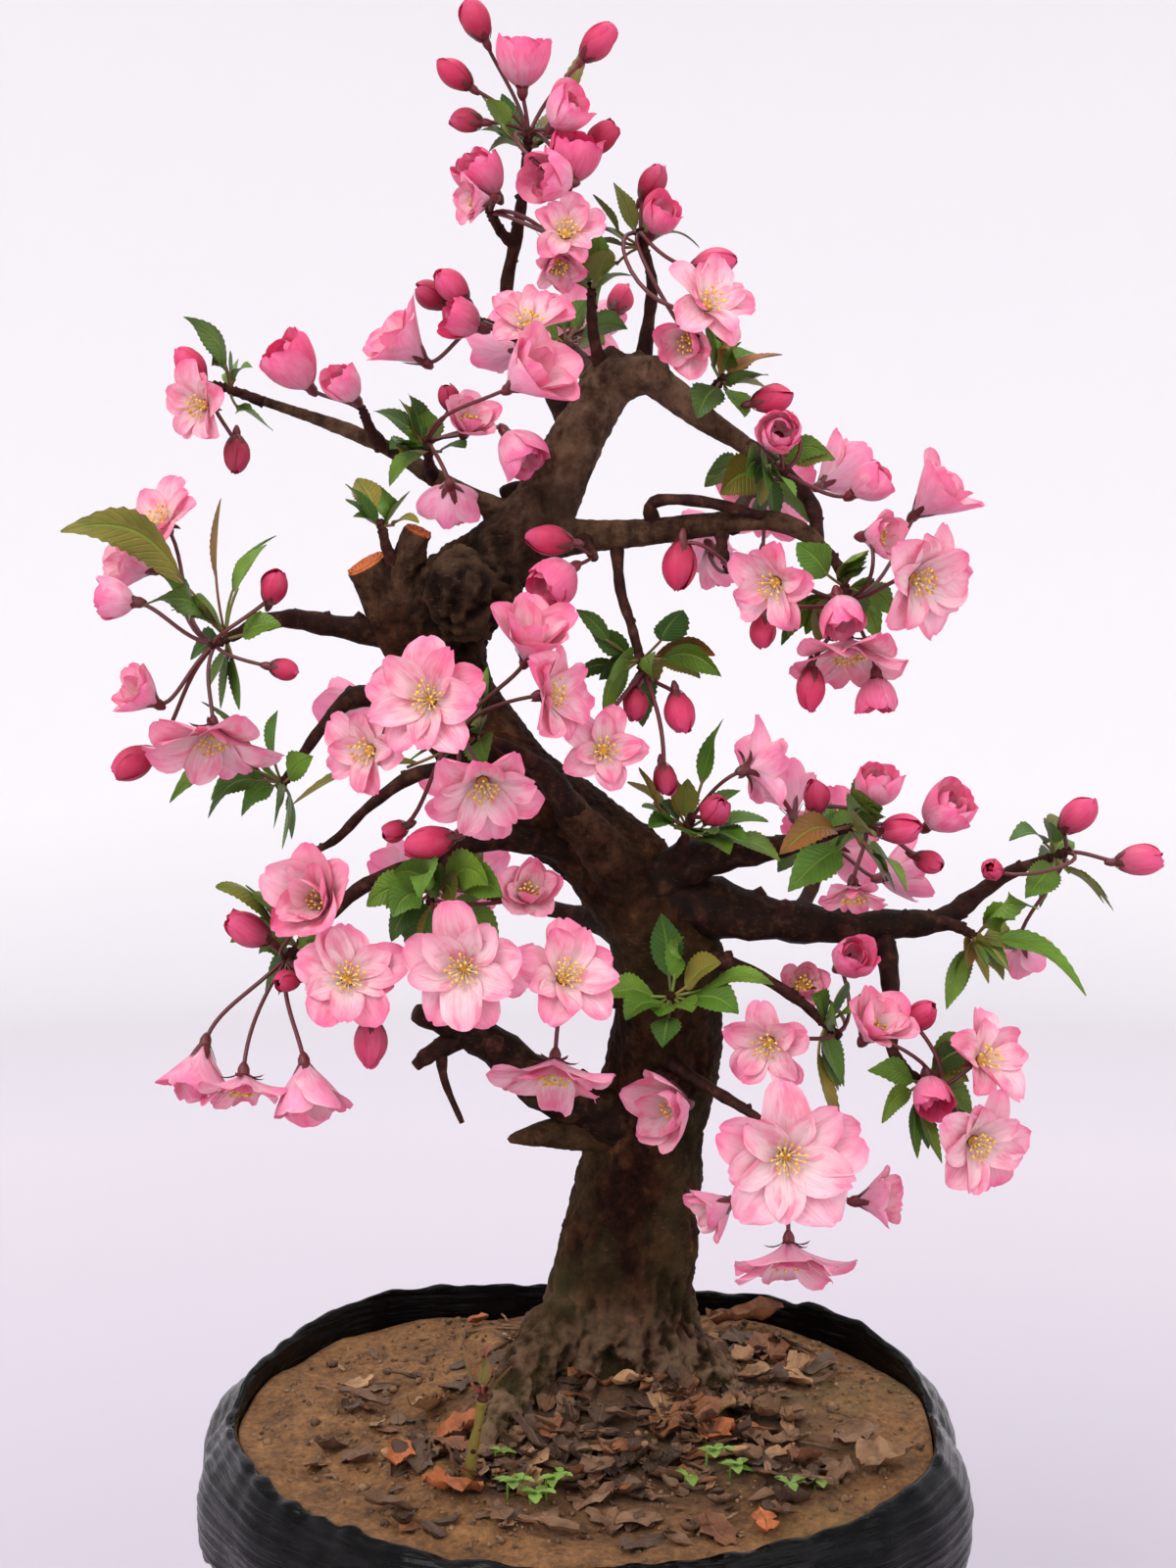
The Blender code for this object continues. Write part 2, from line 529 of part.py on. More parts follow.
class Flower:
    def __init__(self, row, number):
        self.form, x, y, z, turn, tilt, self.size = row
        self.facing = facing(turn, tilt)
        self.middle = Vector((x, y, z))
        self.roll = GOLDEN_ANGLE * number
        if self.form == "bud":
            self.length = self.size
            self.height = self.size
        else:
            reach, rise, _ = petal_arc(self.form, 1)
            self.length = self.size if self.form == "half" else (self.size / 2 - SEAT_RADIUS) / reach
            self.height = self.length * rise
        self.seat = self.middle - self.facing * self.height / 2
        self.sunk = self.facing * (BUD_SUNK if self.form == "bud" else 0)
        self.across, self.aside = frame_about(self.facing)
        self.stalk = []

    def place(self, angle, radius, side, height):
        """A point of a petal that stands at angle round the flower."""
        outward = self.across * math.cos(angle) + self.aside * math.sin(angle)
        sideways = self.aside * math.cos(angle) - self.across * math.sin(angle)
        return self.seat + outward * radius + sideways * side + self.facing * height

    def petal_point(self, petal, s, t, width=1.0):
        reach, rise, slope = petal_arc(self.form, s)
        half = PETAL_HALF_WIDTH * self.length * petal_outline(s) * width
        hollow = PETAL_HOLLOW * half * t * t
        angle = self.roll + petal * 2 * math.pi / PETALS
        radius = SEAT_RADIUS + reach * self.length - math.sin(slope) * hollow
        return self.place(angle, radius, half * t, rise * self.length + math.cos(slope) * hollow)

    def spheres(self):
        if self.form == "bud":
            return [(self.middle + self.facing * self.size * k, self.size * 0.3) for k in (-0.2, 0.0, 0.22)]
        found = [(self.seat + self.facing * 1.5, 2.6)]
        ball = 0.16 * self.length
        for petal in range(PETALS):
            for s, t in ((0.3, 0), (0.6, -0.6), (0.6, 0.6), (0.9, -0.35), (0.9, 0.35)):
                found.append((self.petal_point(petal, s, t), ball))
        return found

    def stalk_steps(self):
        """How many points the solid stalk has: one more on a long one."""
        return 4 if (self.stalk[2] - self.stalk[0]).length > 26 else 3

    def stalk_balls(self):
        """Balls along the smooth stalk and along its solid's straight spans."""
        found = [(point, 0.65) for point in self.stalk_points(15)[1:13]]
        corners = self.stalk_points(self.stalk_steps())
        for start, end in zip(corners, corners[1:]):
            found += [(start.lerp(end, share), 0.65) for share in (0.2, 0.4, 0.6, 0.8, 1)]
        return [(point, radius) for point, radius in found
                if (point - self.stalk[0]).length > 1.6 and (point - self.seat).length > 3.5]

    def stalk_points(self, count):
        start, bend, end = self.stalk
        run = end - start
        leave = (self.spur_axis * 0.6 + run.normalized() * 0.7) * run.length
        arrive = self.facing * run.length * 0.9
        found = []
        for step in range(count):
            t = step / (count - 1)
            point = (start * (2 * t ** 3 - 3 * t * t + 1) + leave * (t ** 3 - 2 * t * t + t)
                     + end * (3 * t * t - 2 * t ** 3) + arrive * (t ** 3 - t * t))
            found.append(point + bend * 4 * t * (1 - t))
        return found


class Leaf:
    def __init__(self, root, tip, row, axis):
        self.blade, self.width, self.arch, self.tone = row
        self.root, self.tip, self.axis = root, tip, axis
        run = tip - root
        self.blade = min(self.blade, run.length * 0.95)
        aside = run - axis * run.dot(axis)
        aside = aside.normalized() if aside.length > 0.5 else frame_about(axis)[0]
        self.knee = root + aside * run.length * 0.32 + run * 0.22 + UP * self.arch
        self.root = root + (self.knee - root).normalized() * ROOT_SUNK
        self.start = 1 - self.blade / run.length

    def spine(self, s):
        return self.root * (1 - s) ** 2 + self.knee * 2 * s * (1 - s) + self.tip * s * s

    def half_width(self, s):
        if s <= self.start:
            return PETIOLE_HALF_WIDTH
        along = (s - self.start) / (1 - self.start)
        widening = math.sin(math.pi * along ** 0.85) ** 0.8
        return max(PETIOLE_HALF_WIDTH * (1 - along), self.width / 2 * widening)

    def point(self, s, t, fold=0.28):
        """A point of the blade: t runs across it, and its edges stand up either side of the midrib."""
        ahead = (self.spine(min(1, s + 0.02)) - self.spine(max(0, s - 0.02))).normalized()
        face = self.axis * 0.8 + UP * 0.5
        normal, side = frame_about(ahead, face.normalized())
        half = self.half_width(s)
        return self.spine(s) + side * half * t + normal * half * fold * abs(t)

    def rows(self):
        """Where along the leaf its solid has corners between its root and its tip."""
        shares = (0.36, 0.74) if self.blade >= 18 else (0.5,)
        found = [self.start + (1 - self.start) * share for share in shares]
        return ([self.start] if self.start > 0.35 else []) + found

    def spheres(self):
        found = []
        corners = [0, *self.rows(), 1]
        for low, high in zip(corners, corners[1:]):
            for share in (0.25, 0.5, 0.75, 1):
                half = self.half_width(low) + (self.half_width(high) - self.half_width(low)) * share
                for t in (-0.7, 0, 0.7) if half > 1 else (0,):
                    point = self.point(low, t).lerp(self.point(high, t), share)
                    found.append((point, max(0.75, half * 0.36)))
        for s in (0.12, 0.24, 0.36, 0.48, 0.6, 0.72, 0.84, 0.96):
            half = self.half_width(s)
            if half < 1:
                found.append((self.point(s, 0), 0.75))
                continue
            for t in (-0.7, 0, 0.7):
                found.append((self.point(s, t), max(0.75, half * 0.36)))
        return [(point, radius) for point, radius in found if (point - self.root).length > 2.3]


class Space:
    """Balls that stand for what is already placed, each with its owner and its part's name."""

    def __init__(self):
        self.balls = []
        self.owners = []
        self.grid = None

    def add(self, owner, balls):
        self.balls += [(*point, radius) for point, radius in balls]
        self.owners += [owner] * len(balls)
        self.grid = None

    def clear(self, balls, ignoring, gap=CLEARANCE):
        if self.grid is None:
            self.grid = np.array(self.balls)
            self.names = np.array(self.owners)
        kept = self.grid[~np.isin(self.names, ignoring)]
        ours = np.array([(*point, radius) for point, radius in balls])
        apart = np.linalg.norm(kept[None, :, :3] - ours[:, None, :3], axis=2)
        return bool((apart - kept[None, :, 3] - ours[:, None, 3] > gap).all())


def wood_balls(name):
    route = smooth_route(WOOD[name][1], 6)
    return [(Vector(point[:3]), point[3]) for point in route]


def spur_of(name):
    """The end of a spur and the way it points."""
    *_, before, end = (Vector(point[:3]) for point in WOOD[name][1])
    return end, (end - before).normalized()


class Spray:
    def __init__(self, name):
        self.name = name
        self.tip, self.axis = spur_of(name)
        self.has_leaves = name in LEAVES
        self.leaf_knob = self.tip + self.axis * (FIT_GAP + SPUR_KNOB / 2)
        skipped = FIT_GAP + SPUR_KNOB if self.has_leaves else 0
        self.flower_knob = self.leaf_knob + self.axis * skipped
        self.flowers = [Flower(row, number) for number, row in enumerate(FLOWERS.get(name, ()))]
        self.leaves = []


def lay_stalk(space, spray, flower, key):
    """The straightest flower stalk that is clear of the wood and of the other flowers."""
    flower.spur_axis = spray.axis
    end = flower.seat + flower.sunk
    first, second = frame_about((end - spray.flower_knob).normalized())
    bends = [Vector()]
    for reach in (3, 6, 9, 13):
        bends += [first * reach, second * reach, -second * reach, -first * reach]
    for bend in bends:
        flower.stalk = (spray.flower_knob, bend, end)
        if space.clear(flower.stalk_balls(), [key, spray.name + " stalk"], 0.5):
            break
    else:
        flower.stalk = (spray.flower_knob, Vector(), end)
    space.add(spray.name + " stalk", flower.stalk_balls())


def grow_leaf(space, spray, tip, row, own):
    """The leaf nearest the one that is drawn which is clear of all but its own spray's leaves."""
    run = tip - spray.leaf_knob
    square = spray.axis.cross(run)
    square = square.normalized() if square.length > 1e-3 else frame_about(spray.axis)[1]
    for lift in (0, 14, -14, 28, -28, 45):
        for turn in (0, 12, -12, 24, -24, 38, -38, 54, -54, 75, -75):
            way = run.copy()
            way.rotate(Quaternion(square, math.radians(lift)))
            way.rotate(Quaternion(spray.axis, math.radians(turn)))
            leaf = Leaf(spray.leaf_knob, spray.leaf_knob + way, row, spray.axis)
            if space.clear(leaf.spheres(), [own]):
                return leaf
    return None


def arrange():
    """Every spray with its flowers and leaves in their final places."""
    space = Space()
    for name in WOOD:
        space.add("wood", wood_balls(name))
    *middle, radius = BURR
    space.add("wood", [(Vector(middle), radius)])
    sprays = [Spray(name) for name in WOOD if name in FLOWERS or name in LEAVES]
    for spray in sprays:
        if spray.has_leaves:
            space.add(spray.name + " leaves", [(spray.leaf_knob, 1.8)])
        if spray.flowers:
            space.add(spray.name + " stalk", [(spray.flower_knob, 1.8)])
        for number, flower in enumerate(spray.flowers):
            space.add(f"{spray.name} {number}", flower.spheres())
    for spray in sprays:
        for number, flower in enumerate(spray.flowers):
            lay_stalk(space, spray, flower, f"{spray.name} {number}")
    for spray in sprays:
        own = spray.name + " leaves"
        for x, y, z, *row in LEAVES.get(spray.name, ()):
            leaf = grow_leaf(space, spray, Vector((x, y, z)), row, own)
            if leaf:
                spray.leaves.append(leaf)
                space.add(own, leaf.spheres())
    draw = random.Random(7)
    for spray in sprays:
        own = spray.name + " leaves"
        first, second = frame_about(spray.axis)
        for number in range(ROSETTE.get(spray.name, 0)):
            angle = GOLDEN_ANGLE * number + draw.uniform(0, 1)
            spread = math.radians(draw.uniform(40, 75))
            length = draw.uniform(12, 17)
            outward = first * math.cos(angle) + second * math.sin(angle)
            way = spray.axis * math.cos(spread) + outward * math.sin(spread)
            row = (length * 0.72, draw.uniform(6, 8), 1, draw.choice(("green", "green", "dark")))
            leaf = grow_leaf(space, spray, spray.leaf_knob + way * length, row, own)
            if leaf:
                spray.leaves.append(leaf)
                space.add(own, leaf.spheres())
    return sprays


def mouth_radius(angle):
    """The bag's mouth radius at an angle in radians, smooth through MOUTH's corners."""
    degrees = math.degrees(angle) % 360
    rows = [(MOUTH[-1][0] - 360, MOUTH[-1][1])] + list(MOUTH) + [(MOUTH[0][0] + 360, MOUTH[0][1])]
    for (low, start), (high, end) in zip(rows, rows[1:]):
        if low <= degrees <= high:
            t = (degrees - low) / (high - low)
            return start + (end - start) * (3 * t * t - 2 * t ** 3)
    return rows[0][1]


def rim_height(angle):
    back = max(0.0, math.sin(angle))
    return RIM_FRONT + (RIM_BACK - RIM_FRONT) * back ** 0.8 + 2.5 * math.cos(2 * angle)


def soil_height(x, y):
    away = math.hypot(x - 9, y - 12)
    mound = MOUND_HEIGHT * math.exp(-((away / MOUND_WIDTH) ** 2))
    waves = 1.4 * math.sin(x / 13 + 1) * math.cos(y / 17) + 0.8 * math.sin(x / 7 + y / 9)
    return SOIL_LEVEL + mound + waves + 0.035 * (y + 90)


# ---------------------------------------------------------------------------------------------
# Solids
# ---------------------------------------------------------------------------------------------

MM = 0.001
BLADE_THICKNESS = 0.7
STALK_RADIUS = 0.55
CALYX_RADIUS = 1.5
KNOB_RADIUS = 1.6
# How much of its fifth of the flower a petal may fill across.
PETAL_ROOM = 0.72
# Share of its faces that each kind of fused solid keeps.
KEPT_FACES = {"flowers": 0.66, "leaves": 0.68, "trunk": 0.7}
# Flowers this wide get petals with a broad tip, and the widest a hollow middle too.
WIDE_FLOWER = 26
WIDEST_FLOWER = 33
COLOURS = {
    "bark": ((0.075, 0.05, 0.036), 0.85),
    "petal": ((0.92, 0.42, 0.52), 0.55),
    "green": ((0.09, 0.2, 0.05), 0.5),
    "film": ((0.012, 0.012, 0.014), 0.35),
    "soil": ((0.16, 0.085, 0.045), 0.95),
}


def clear_scene():
    for item in list(bpy.data.objects):
        bpy.data.objects.remove(item)


def new_collection(name):
    collection = bpy.data.collections.new(name)
    bpy.context.scene.collection.children.link(collection)
    return collection


def make_material(name):
    colour, roughness = COLOURS[name]
    material = bpy.data.materials.new(name)
    material.use_nodes = True
    shader = material.node_tree.nodes["Principled BSDF"]
    shader.inputs["Base Color"].default_value = (*colour, 1)
    shader.inputs["Roughness"].default_value = roughness
    shader.inputs["Metallic"].default_value = 0
    material.diffuse_color = (*colour, 1)
    return material


def add_object(name, data, collection):
    item = bpy.data.objects.new(name, data)
    collection.objects.link(item)
    return item


def finished_mesh(item):
    """The object's mesh as its modifiers or its bevel leave it, with loose caps welded."""
    graph = bpy.context.evaluated_depsgraph_get()
    mesh = bpy.data.meshes.new_from_object(item.evaluated_get(graph))
    solid = bmesh.new()
    solid.from_mesh(mesh)
    bmesh.ops.remove_doubles(solid, verts=solid.verts, dist=1e-6)
    bmesh.ops.recalc_face_normals(solid, faces=solid.faces)
    bmesh.ops.triangulate(solid, faces=solid.faces)
    solid.to_mesh(mesh)
    solid.free()
    return mesh


def replace_with_mesh(item, collection):
    mesh = finished_mesh(item)
    name = item.name
    bpy.data.objects.remove(item)
    return add_object(name, mesh, collection)


def add_tube(name, points, sides, collection):
    """A solid tube through points of x, y, z and radius, in millimetres."""
    curve = bpy.data.curves.new(name, "CURVE")
    curve.dimensions = "3D"
    curve.use_fill_caps = True
    if sides % 2 or sides < 4:
        curve.bevel_mode = "OBJECT"
        curve.bevel_object = ring_profile(sides)
    else:
        curve.bevel_depth = MM
        curve.bevel_resolution = sides // 2 - 2
    spline = curve.splines.new("POLY")
    spline.points.add(len(points) - 1)
    for place, (x, y, z, radius) in zip(spline.points, points):
        place.co = (x * MM, y * MM, z * MM, 1)
        place.radius = radius
    return replace_with_mesh(add_object(name, curve, collection), collection)


def ring_profile(sides):
    """A closed outline of unit radius in millimetres, for tubes with an odd number of sides."""
    name = f"profile_{sides}"
    if name in bpy.data.objects:
        return bpy.data.objects[name]
    curve = bpy.data.curves.new(name, "CURVE")
    curve.dimensions = "2D"
    curve.fill_mode = "NONE"
    spline = curve.splines.new("POLY")
    spline.points.add(sides - 1)
    spline.use_cyclic_u = True
    for number, place in enumerate(spline.points):
        angle = 2 * math.pi * number / sides
        place.co = (MM * math.cos(angle), MM * math.sin(angle), 0, 1)
    guide = add_object(name, curve, bpy.context.scene.collection)
    guide.hide_render = True
    guide.display_type = "WIRE"
    return guide


def add_sheet(name, corners, faces, thickness, collection, offset=0):
    """An open surface of triangles, thickened to a solid by Solidify."""
    mesh = bpy.data.meshes.new(name)
    mesh.from_pydata([Vector(corner) * MM for corner in corners], [], faces)
    item = add_object(name, mesh, collection)
    solidify = item.modifiers.new("thickness", "SOLIDIFY")
    solidify.thickness = thickness * MM
    solidify.offset = offset
    solidify.use_even_offset = False
    return replace_with_mesh(item, collection)


def settle(item):
    """Applies the object's modifiers."""
    mesh = finished_mesh(item)
    item.modifiers.clear()
    item.data = mesh


def fuse(item, pieces, operation="UNION"):
    """Joins every solid of the collection to item, or cuts them all from it, and removes them."""
    join = item.modifiers.new("fuse", "BOOLEAN")
    join.operation = operation
    join.operand_type = "COLLECTION"
    join.collection = pieces
    join.solver = "MANIFOLD"
    settle(item)
    if operation == "UNION":
        thin = item.modifiers.new("fewer faces", "DECIMATE")
        thin.ratio = KEPT_FACES[item.name.split("_")[0]]
    for piece in list(pieces.objects):
        bpy.data.objects.remove(piece)
    bpy.data.collections.remove(pieces)
    return item


def add_knob(name, middle, axis, collection):
    """The short swelling at a spur's end that stalks or leaves grow from."""
    solid = bmesh.new()
    bmesh.ops.create_cone(solid, cap_ends=True, segments=5, radius1=KNOB_RADIUS * MM,
                          radius2=KNOB_RADIUS * 0.8 * MM, depth=SPUR_KNOB * MM)
    turned = axis.to_track_quat("Z", "Y").to_matrix().to_4x4()
    solid.transform(Matrix.Translation(middle * MM) @ turned)
    mesh = bpy.data.meshes.new(name)
    solid.to_mesh(mesh)
    solid.free()
    return add_object(name, mesh, collection)


def add_bud(name, flower, collection):
    solid = bmesh.new()
    bmesh.ops.create_icosphere(solid, subdivisions=1, radius=flower.size / 2 * MM)
    slim = Matrix.Diagonal((0.74, 0.74, 1, 1))
    turned = flower.facing.to_track_quat("Z", "Y").to_matrix().to_4x4()
    solid.transform(Matrix.Translation(flower.middle * MM) @ turned @ slim)
    mesh = bpy.data.meshes.new(name)
    solid.to_mesh(mesh)
    solid.free()
    return add_object(name, mesh, collection)


def lobe_point(flower, petal, s, side):
    """A corner of a petal, kept inside its own fifth of the flower so that petals stay apart."""
    reach, _, _ = petal_arc(flower.form, s)
    room = PETAL_ROOM * (SEAT_RADIUS + reach * flower.length) * math.tan(math.pi / PETALS)
    half = PETAL_HALF_WIDTH * flower.length * petal_outline(s)
    return flower.petal_point(petal, s, side, min(1.0, room / half))


def claw_ring(flower):
    """The small seat that the petals grow from: its corners lie between the petals."""
    angles = [flower.roll + (petal + 0.5) * 2 * math.pi / PETALS for petal in range(PETALS)]
    corners = [flower.place(angle, SEAT_RADIUS, 0, 0) for angle in angles]
    return corners, [(0, corner, corner + 1) for corner in range(1, PETALS - 1)]


def add_bloom(name, flower, collection):
    """Five petals that grow from one small seat, as one sheet."""
    corners, faces = claw_ring(flower)
    for petal in range(PETALS):
        left_claw, right_claw = (petal - 1) % PETALS, petal
        left = len(corners)
        right = left + 1
        corners += [lobe_point(flower, petal, 0.6, -1), lobe_point(flower, petal, 0.6, 1)]
        if flower.size < WIDE_FLOWER:
            corners.append(flower.petal_point(petal, 1, 0))
            tips = [left + 2]
        else:
            corners += [lobe_point(flower, petal, 0.95, -1), lobe_point(flower, petal, 0.95, 1)]
            tips = [left + 2, left + 3]
        if flower.size < WIDEST_FLOWER:
            faces += [(left_claw, left, right), (left_claw, right, right_claw), (left, tips[0], right)]
            faces += [(tips[0], tips[1], right)] if len(tips) == 2 else []
        else:
            middle = len(corners)
            corners.append(flower.petal_point(petal, 0.6, 0))
            faces += [(left_claw, left, middle), (left_claw, middle, right_claw),
                      (right_claw, middle, right), (left, tips[0], middle),
                      (middle, tips[0], tips[1]), (middle, tips[1], right)]
    return add_sheet(name, corners, faces, BLADE_THICKNESS, collection)


def add_half_open(name, flower, collection):
    """A tulip shape: five petals still wrapped into one another, free only at their tips."""
    corners, faces = claw_ring(flower)
    for petal in range(PETALS):
        angle = flower.roll + (petal + 0.5) * 2 * math.pi / PETALS
        reach, rise, _ = petal_arc("half", 0.68)
        corners.append(flower.place(angle, SEAT_RADIUS + reach * flower.length, 0, rise * flower.length))
    corners += [flower.petal_point(petal, 1, 0) for petal in range(PETALS)]
    for petal in range(PETALS):
        before = (petal - 1) % PETALS
        notch, next_notch, tip = PETALS + before, PETALS + petal, 2 * PETALS + petal
        faces += [(before, notch, next_notch), (before, next_notch, petal), (notch, tip, next_notch)]
    return add_sheet(name, corners, faces, BLADE_THICKNESS, collection)


def add_stalk(name, flower, collection):
    points = [(*point, STALK_RADIUS) for point in flower.stalk_points(flower.stalk_steps())]
    points[-1] = (*points[-1][:3], CALYX_RADIUS if flower.form != "bud" else 2 * STALK_RADIUS)
    return add_tube(name, points, 3, collection)


def add_leaf(name, leaf, collection):
    """A folded, arched blade that narrows to its stalk."""
    corners = [leaf.point(0, 0)]
    faces = []
    left = middle = right = 0
    for row in leaf.rows():
        low = len(corners)
        if leaf.half_width(row) <= PETIOLE_HALF_WIDTH:
            corners += [leaf.point(row, -1), leaf.point(row, 1)]
            faces.append((0, low, low + 1))
            left, right = low, low + 1
            continue
        corners += [leaf.point(row, -1), leaf.point(row, 1)]
        if middle == 0:
            corners.append(leaf.point(row, 0))
            middle = low + 2
            faces += [(left, low, middle), (right, middle, low + 1)]
            faces += [(left, middle, right)] if left != right else []
        else:
            faces += [(left, low, middle), (middle, low, low + 1), (middle, low + 1, right)]
            middle = -1
        left, right = low, low + 1
    tip = len(corners)
    corners.append(leaf.point(1, 0))
    faces += [(left, tip, right)] if middle < 0 else [(left, tip, middle), (middle, tip, right)]
    return add_sheet(name, corners, faces, BLADE_THICKNESS, collection)


def add_spray_flowers(spray, part, material):
    pieces = new_collection(spray.name + "_flower_pieces")
    for number, flower in enumerate(spray.flowers):
        add = {"bud": add_bud, "half": add_half_open}.get(flower.form, add_bloom)
        add(f"{spray.name}_bloom_{number}", flower, pieces)
        add_stalk(f"{spray.name}_stalk_{number}", flower, pieces)
    knob = add_knob("flowers_" + spray.name, spray.flower_knob, spray.axis, part)
    fuse(knob, pieces).data.materials.append(material)


def add_spray_leaves(spray, part, material):
    pieces = new_collection(spray.name + "_leaf_pieces")
    for number, leaf in enumerate(spray.leaves):
        add_leaf(f"{spray.name}_leaf_{number}", leaf, pieces)
    knob = add_knob("leaves_" + spray.name, spray.leaf_knob, spray.axis, part)
    fuse(knob, pieces).data.materials.append(material)


def add_wood(part, material):
    pieces = new_collection("wood_pieces")
    for name, (sides, _) in WOOD.items():
        if name != "trunk":
            add_tube(name, [tuple(point) for point in wood_route(name, 1)], sides, pieces)
    *middle, radius = BURR
    solid = bmesh.new()
    bmesh.ops.create_icosphere(solid, subdivisions=2, radius=radius * MM)
    for vert in solid.verts:
        lump = noise.noise(vert.co * 140) * 0.22
        vert.co = vert.co * (1 + lump) + Vector(middle) * MM
    mesh = bpy.data.meshes.new("burr")
    solid.to_mesh(mesh)
    solid.free()
    add_object("burr", mesh, pieces)
    trunk = add_tube("trunk", [tuple(point) for point in wood_route("trunk", 1)], WOOD["trunk"][0], part)
    fuse(trunk, pieces).data.materials.append(material)


def add_bag(part, material):
    """One sheet of film: floor, wall, the rolled rim and the collar folded down outside it."""
    around = 24
    corners = [(0, 0, BAG_FLOOR)]
    faces = []
    for ring in range(8):
        for number in range(around):
            angle = 2 * math.pi * number / around
            mouth, rim = mouth_radius(angle), rim_height(angle)
            pleat = 1.2 * math.cos(7 * angle + ring)
            radius, height = (
                (0.88 * mouth, BAG_FLOOR),
                (0.93 * mouth, 8),
                (0.975 * mouth + pleat, 62),
                (mouth - 2.6, rim - 26),
                (mouth - 2.4, rim),
                (mouth + 2.4, rim - 0.5),
                (mouth + 3.4 + 0.4 * pleat, rim - 17),
                (mouth + 2.8 + pleat, rim - 36),
            )[ring]
            corners.append((radius * math.cos(angle), radius * math.sin(angle), height))
    for number in range(around):
        after = (number + 1) % around
        faces.append((0, 1 + number, 1 + after))
        for ring in range(7):
            low, high = 1 + ring * around, 1 + (ring + 1) * around
            faces.append((low + number, high + number, high + after))
            faces.append((low + number, high + after, low + after))
    bag = add_sheet("grow_bag", corners, faces, BAG_FILM, part, offset=-1)
    bag.data.materials.append(material)


def add_soil(part, material):
    """Soil mounded to the trunk, with a hole that the trunk and its surface roots fill."""
    around = 24
    corners = [(9, 12, soil_height(9, 12))]
    faces = []
    rings = ((0.36, None), (0.66, None), (1.0, None), (0.985, 124), (0.95, 62), (0.90, 9),
             (0.84, BAG_FLOOR + FIT_GAP))
    for share, height in rings:
        for number in range(around):
            angle = 2 * math.pi * number / around
            outer = mouth_radius(angle) - 4.2
            if height is None:
                x = 9 * (1 - share) + share * outer * math.cos(angle)
                y = 12 * (1 - share) + share * outer * math.sin(angle)
                corners.append((x, y, soil_height(x, y)))
            else:
                radius = outer * share - (1.4 if height == 62 else 0)
                corners.append((radius * math.cos(angle), radius * math.sin(angle), height))
    bottom = len(corners)
    corners.append((0, 0, BAG_FLOOR + FIT_GAP))
    for number in range(around):
        after = (number + 1) % around
        faces.append((0, 1 + number, 1 + after))
        for ring in range(len(rings) - 1):
            low, high = 1 + ring * around, 1 + (ring + 1) * around
            faces.append((low + number, high + number, high + after))
            faces.append((low + number, high + after, low + after))
        last = 1 + (len(rings) - 1) * around
        faces.append((last + number, bottom, last + after))
    mesh = bpy.data.meshes.new("soil")
    mesh.from_pydata([Vector(corner) * MM for corner in corners], [], faces)
    soil = add_object("soil", mesh, part)
    holes = new_collection("soil_holes")
    for name in ("trunk", "root_left", "root_right", "root_back", "sucker"):
        sides = WOOD[name][0]
        route = [(x, y, z, radius + FIT_GAP * 1.4) for x, y, z, radius in wood_route(name, 1)]
        first, last = Vector(route[0][:3]), Vector(route[-1][:3])
        if name == "trunk":
            route[0] = (*(first - UP * FIT_GAP), route[0][3])
        else:
            ahead = (last - Vector(route[-2][:3])).normalized()
            route[-1] = (*(last + ahead * FIT_GAP), route[-1][3])
        hole = add_tube("hole_" + name, route, sides, holes)
        hole.hide_render = True
    fuse(soil, holes, "DIFFERENCE").data.materials.append(material)


def build():
    clear_scene()
    part = new_collection("crabapple_bonsai")
    materials = {name: make_material(name) for name in COLOURS}
    add_bag(part, materials["film"])
    add_soil(part, materials["soil"])
    add_wood(part, materials["bark"])
    for spray in arrange():
        if spray.flowers:
            add_spray_flowers(spray, part, materials["petal"])
        if spray.leaves:
            add_spray_leaves(spray, part, materials["green"])


build()
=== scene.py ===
"""A crabapple bonsai in full flower in a black film grow bag: the look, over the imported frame.

The tables and rules of the layout are the part's own, so every flower, leaf and branch here
stands where its solid does. Meshes are made in millimetres and stored in metres.
"""

import json
import math
import random

import bmesh
import bpy
import numpy as np
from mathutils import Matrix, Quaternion, Vector, noise

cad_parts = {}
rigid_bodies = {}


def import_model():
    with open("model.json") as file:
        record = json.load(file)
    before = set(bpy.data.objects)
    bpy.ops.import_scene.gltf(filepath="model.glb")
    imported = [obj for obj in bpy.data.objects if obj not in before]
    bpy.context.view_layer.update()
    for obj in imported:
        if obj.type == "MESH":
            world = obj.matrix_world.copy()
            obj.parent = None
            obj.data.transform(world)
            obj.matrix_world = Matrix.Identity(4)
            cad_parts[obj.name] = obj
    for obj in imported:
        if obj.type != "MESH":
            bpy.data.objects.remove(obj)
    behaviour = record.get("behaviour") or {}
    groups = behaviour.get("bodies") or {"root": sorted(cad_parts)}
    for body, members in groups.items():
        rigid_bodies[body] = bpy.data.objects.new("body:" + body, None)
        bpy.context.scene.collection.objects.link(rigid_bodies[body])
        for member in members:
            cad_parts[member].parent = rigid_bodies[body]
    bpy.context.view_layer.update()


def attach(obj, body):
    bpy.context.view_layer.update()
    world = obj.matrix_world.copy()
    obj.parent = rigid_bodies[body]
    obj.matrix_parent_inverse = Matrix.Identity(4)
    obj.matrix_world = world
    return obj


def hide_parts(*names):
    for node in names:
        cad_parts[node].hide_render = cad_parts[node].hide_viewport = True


for item in list(bpy.data.objects):
    bpy.data.objects.remove(item)
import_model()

# ---------------------------------------------------------------------------------------------
# Layout, in millimetres. The origin is the middle of the bag's flat base, +Z is up and the
# front of the tree faces -Y.
# ---------------------------------------------------------------------------------------------

SOIL_LEVEL = 148.0
MOUND_HEIGHT = 13.0
MOUND_WIDTH = 46.0
MOUND_X, MOUND_Y = 9, 12
FIT_GAP = 0.3
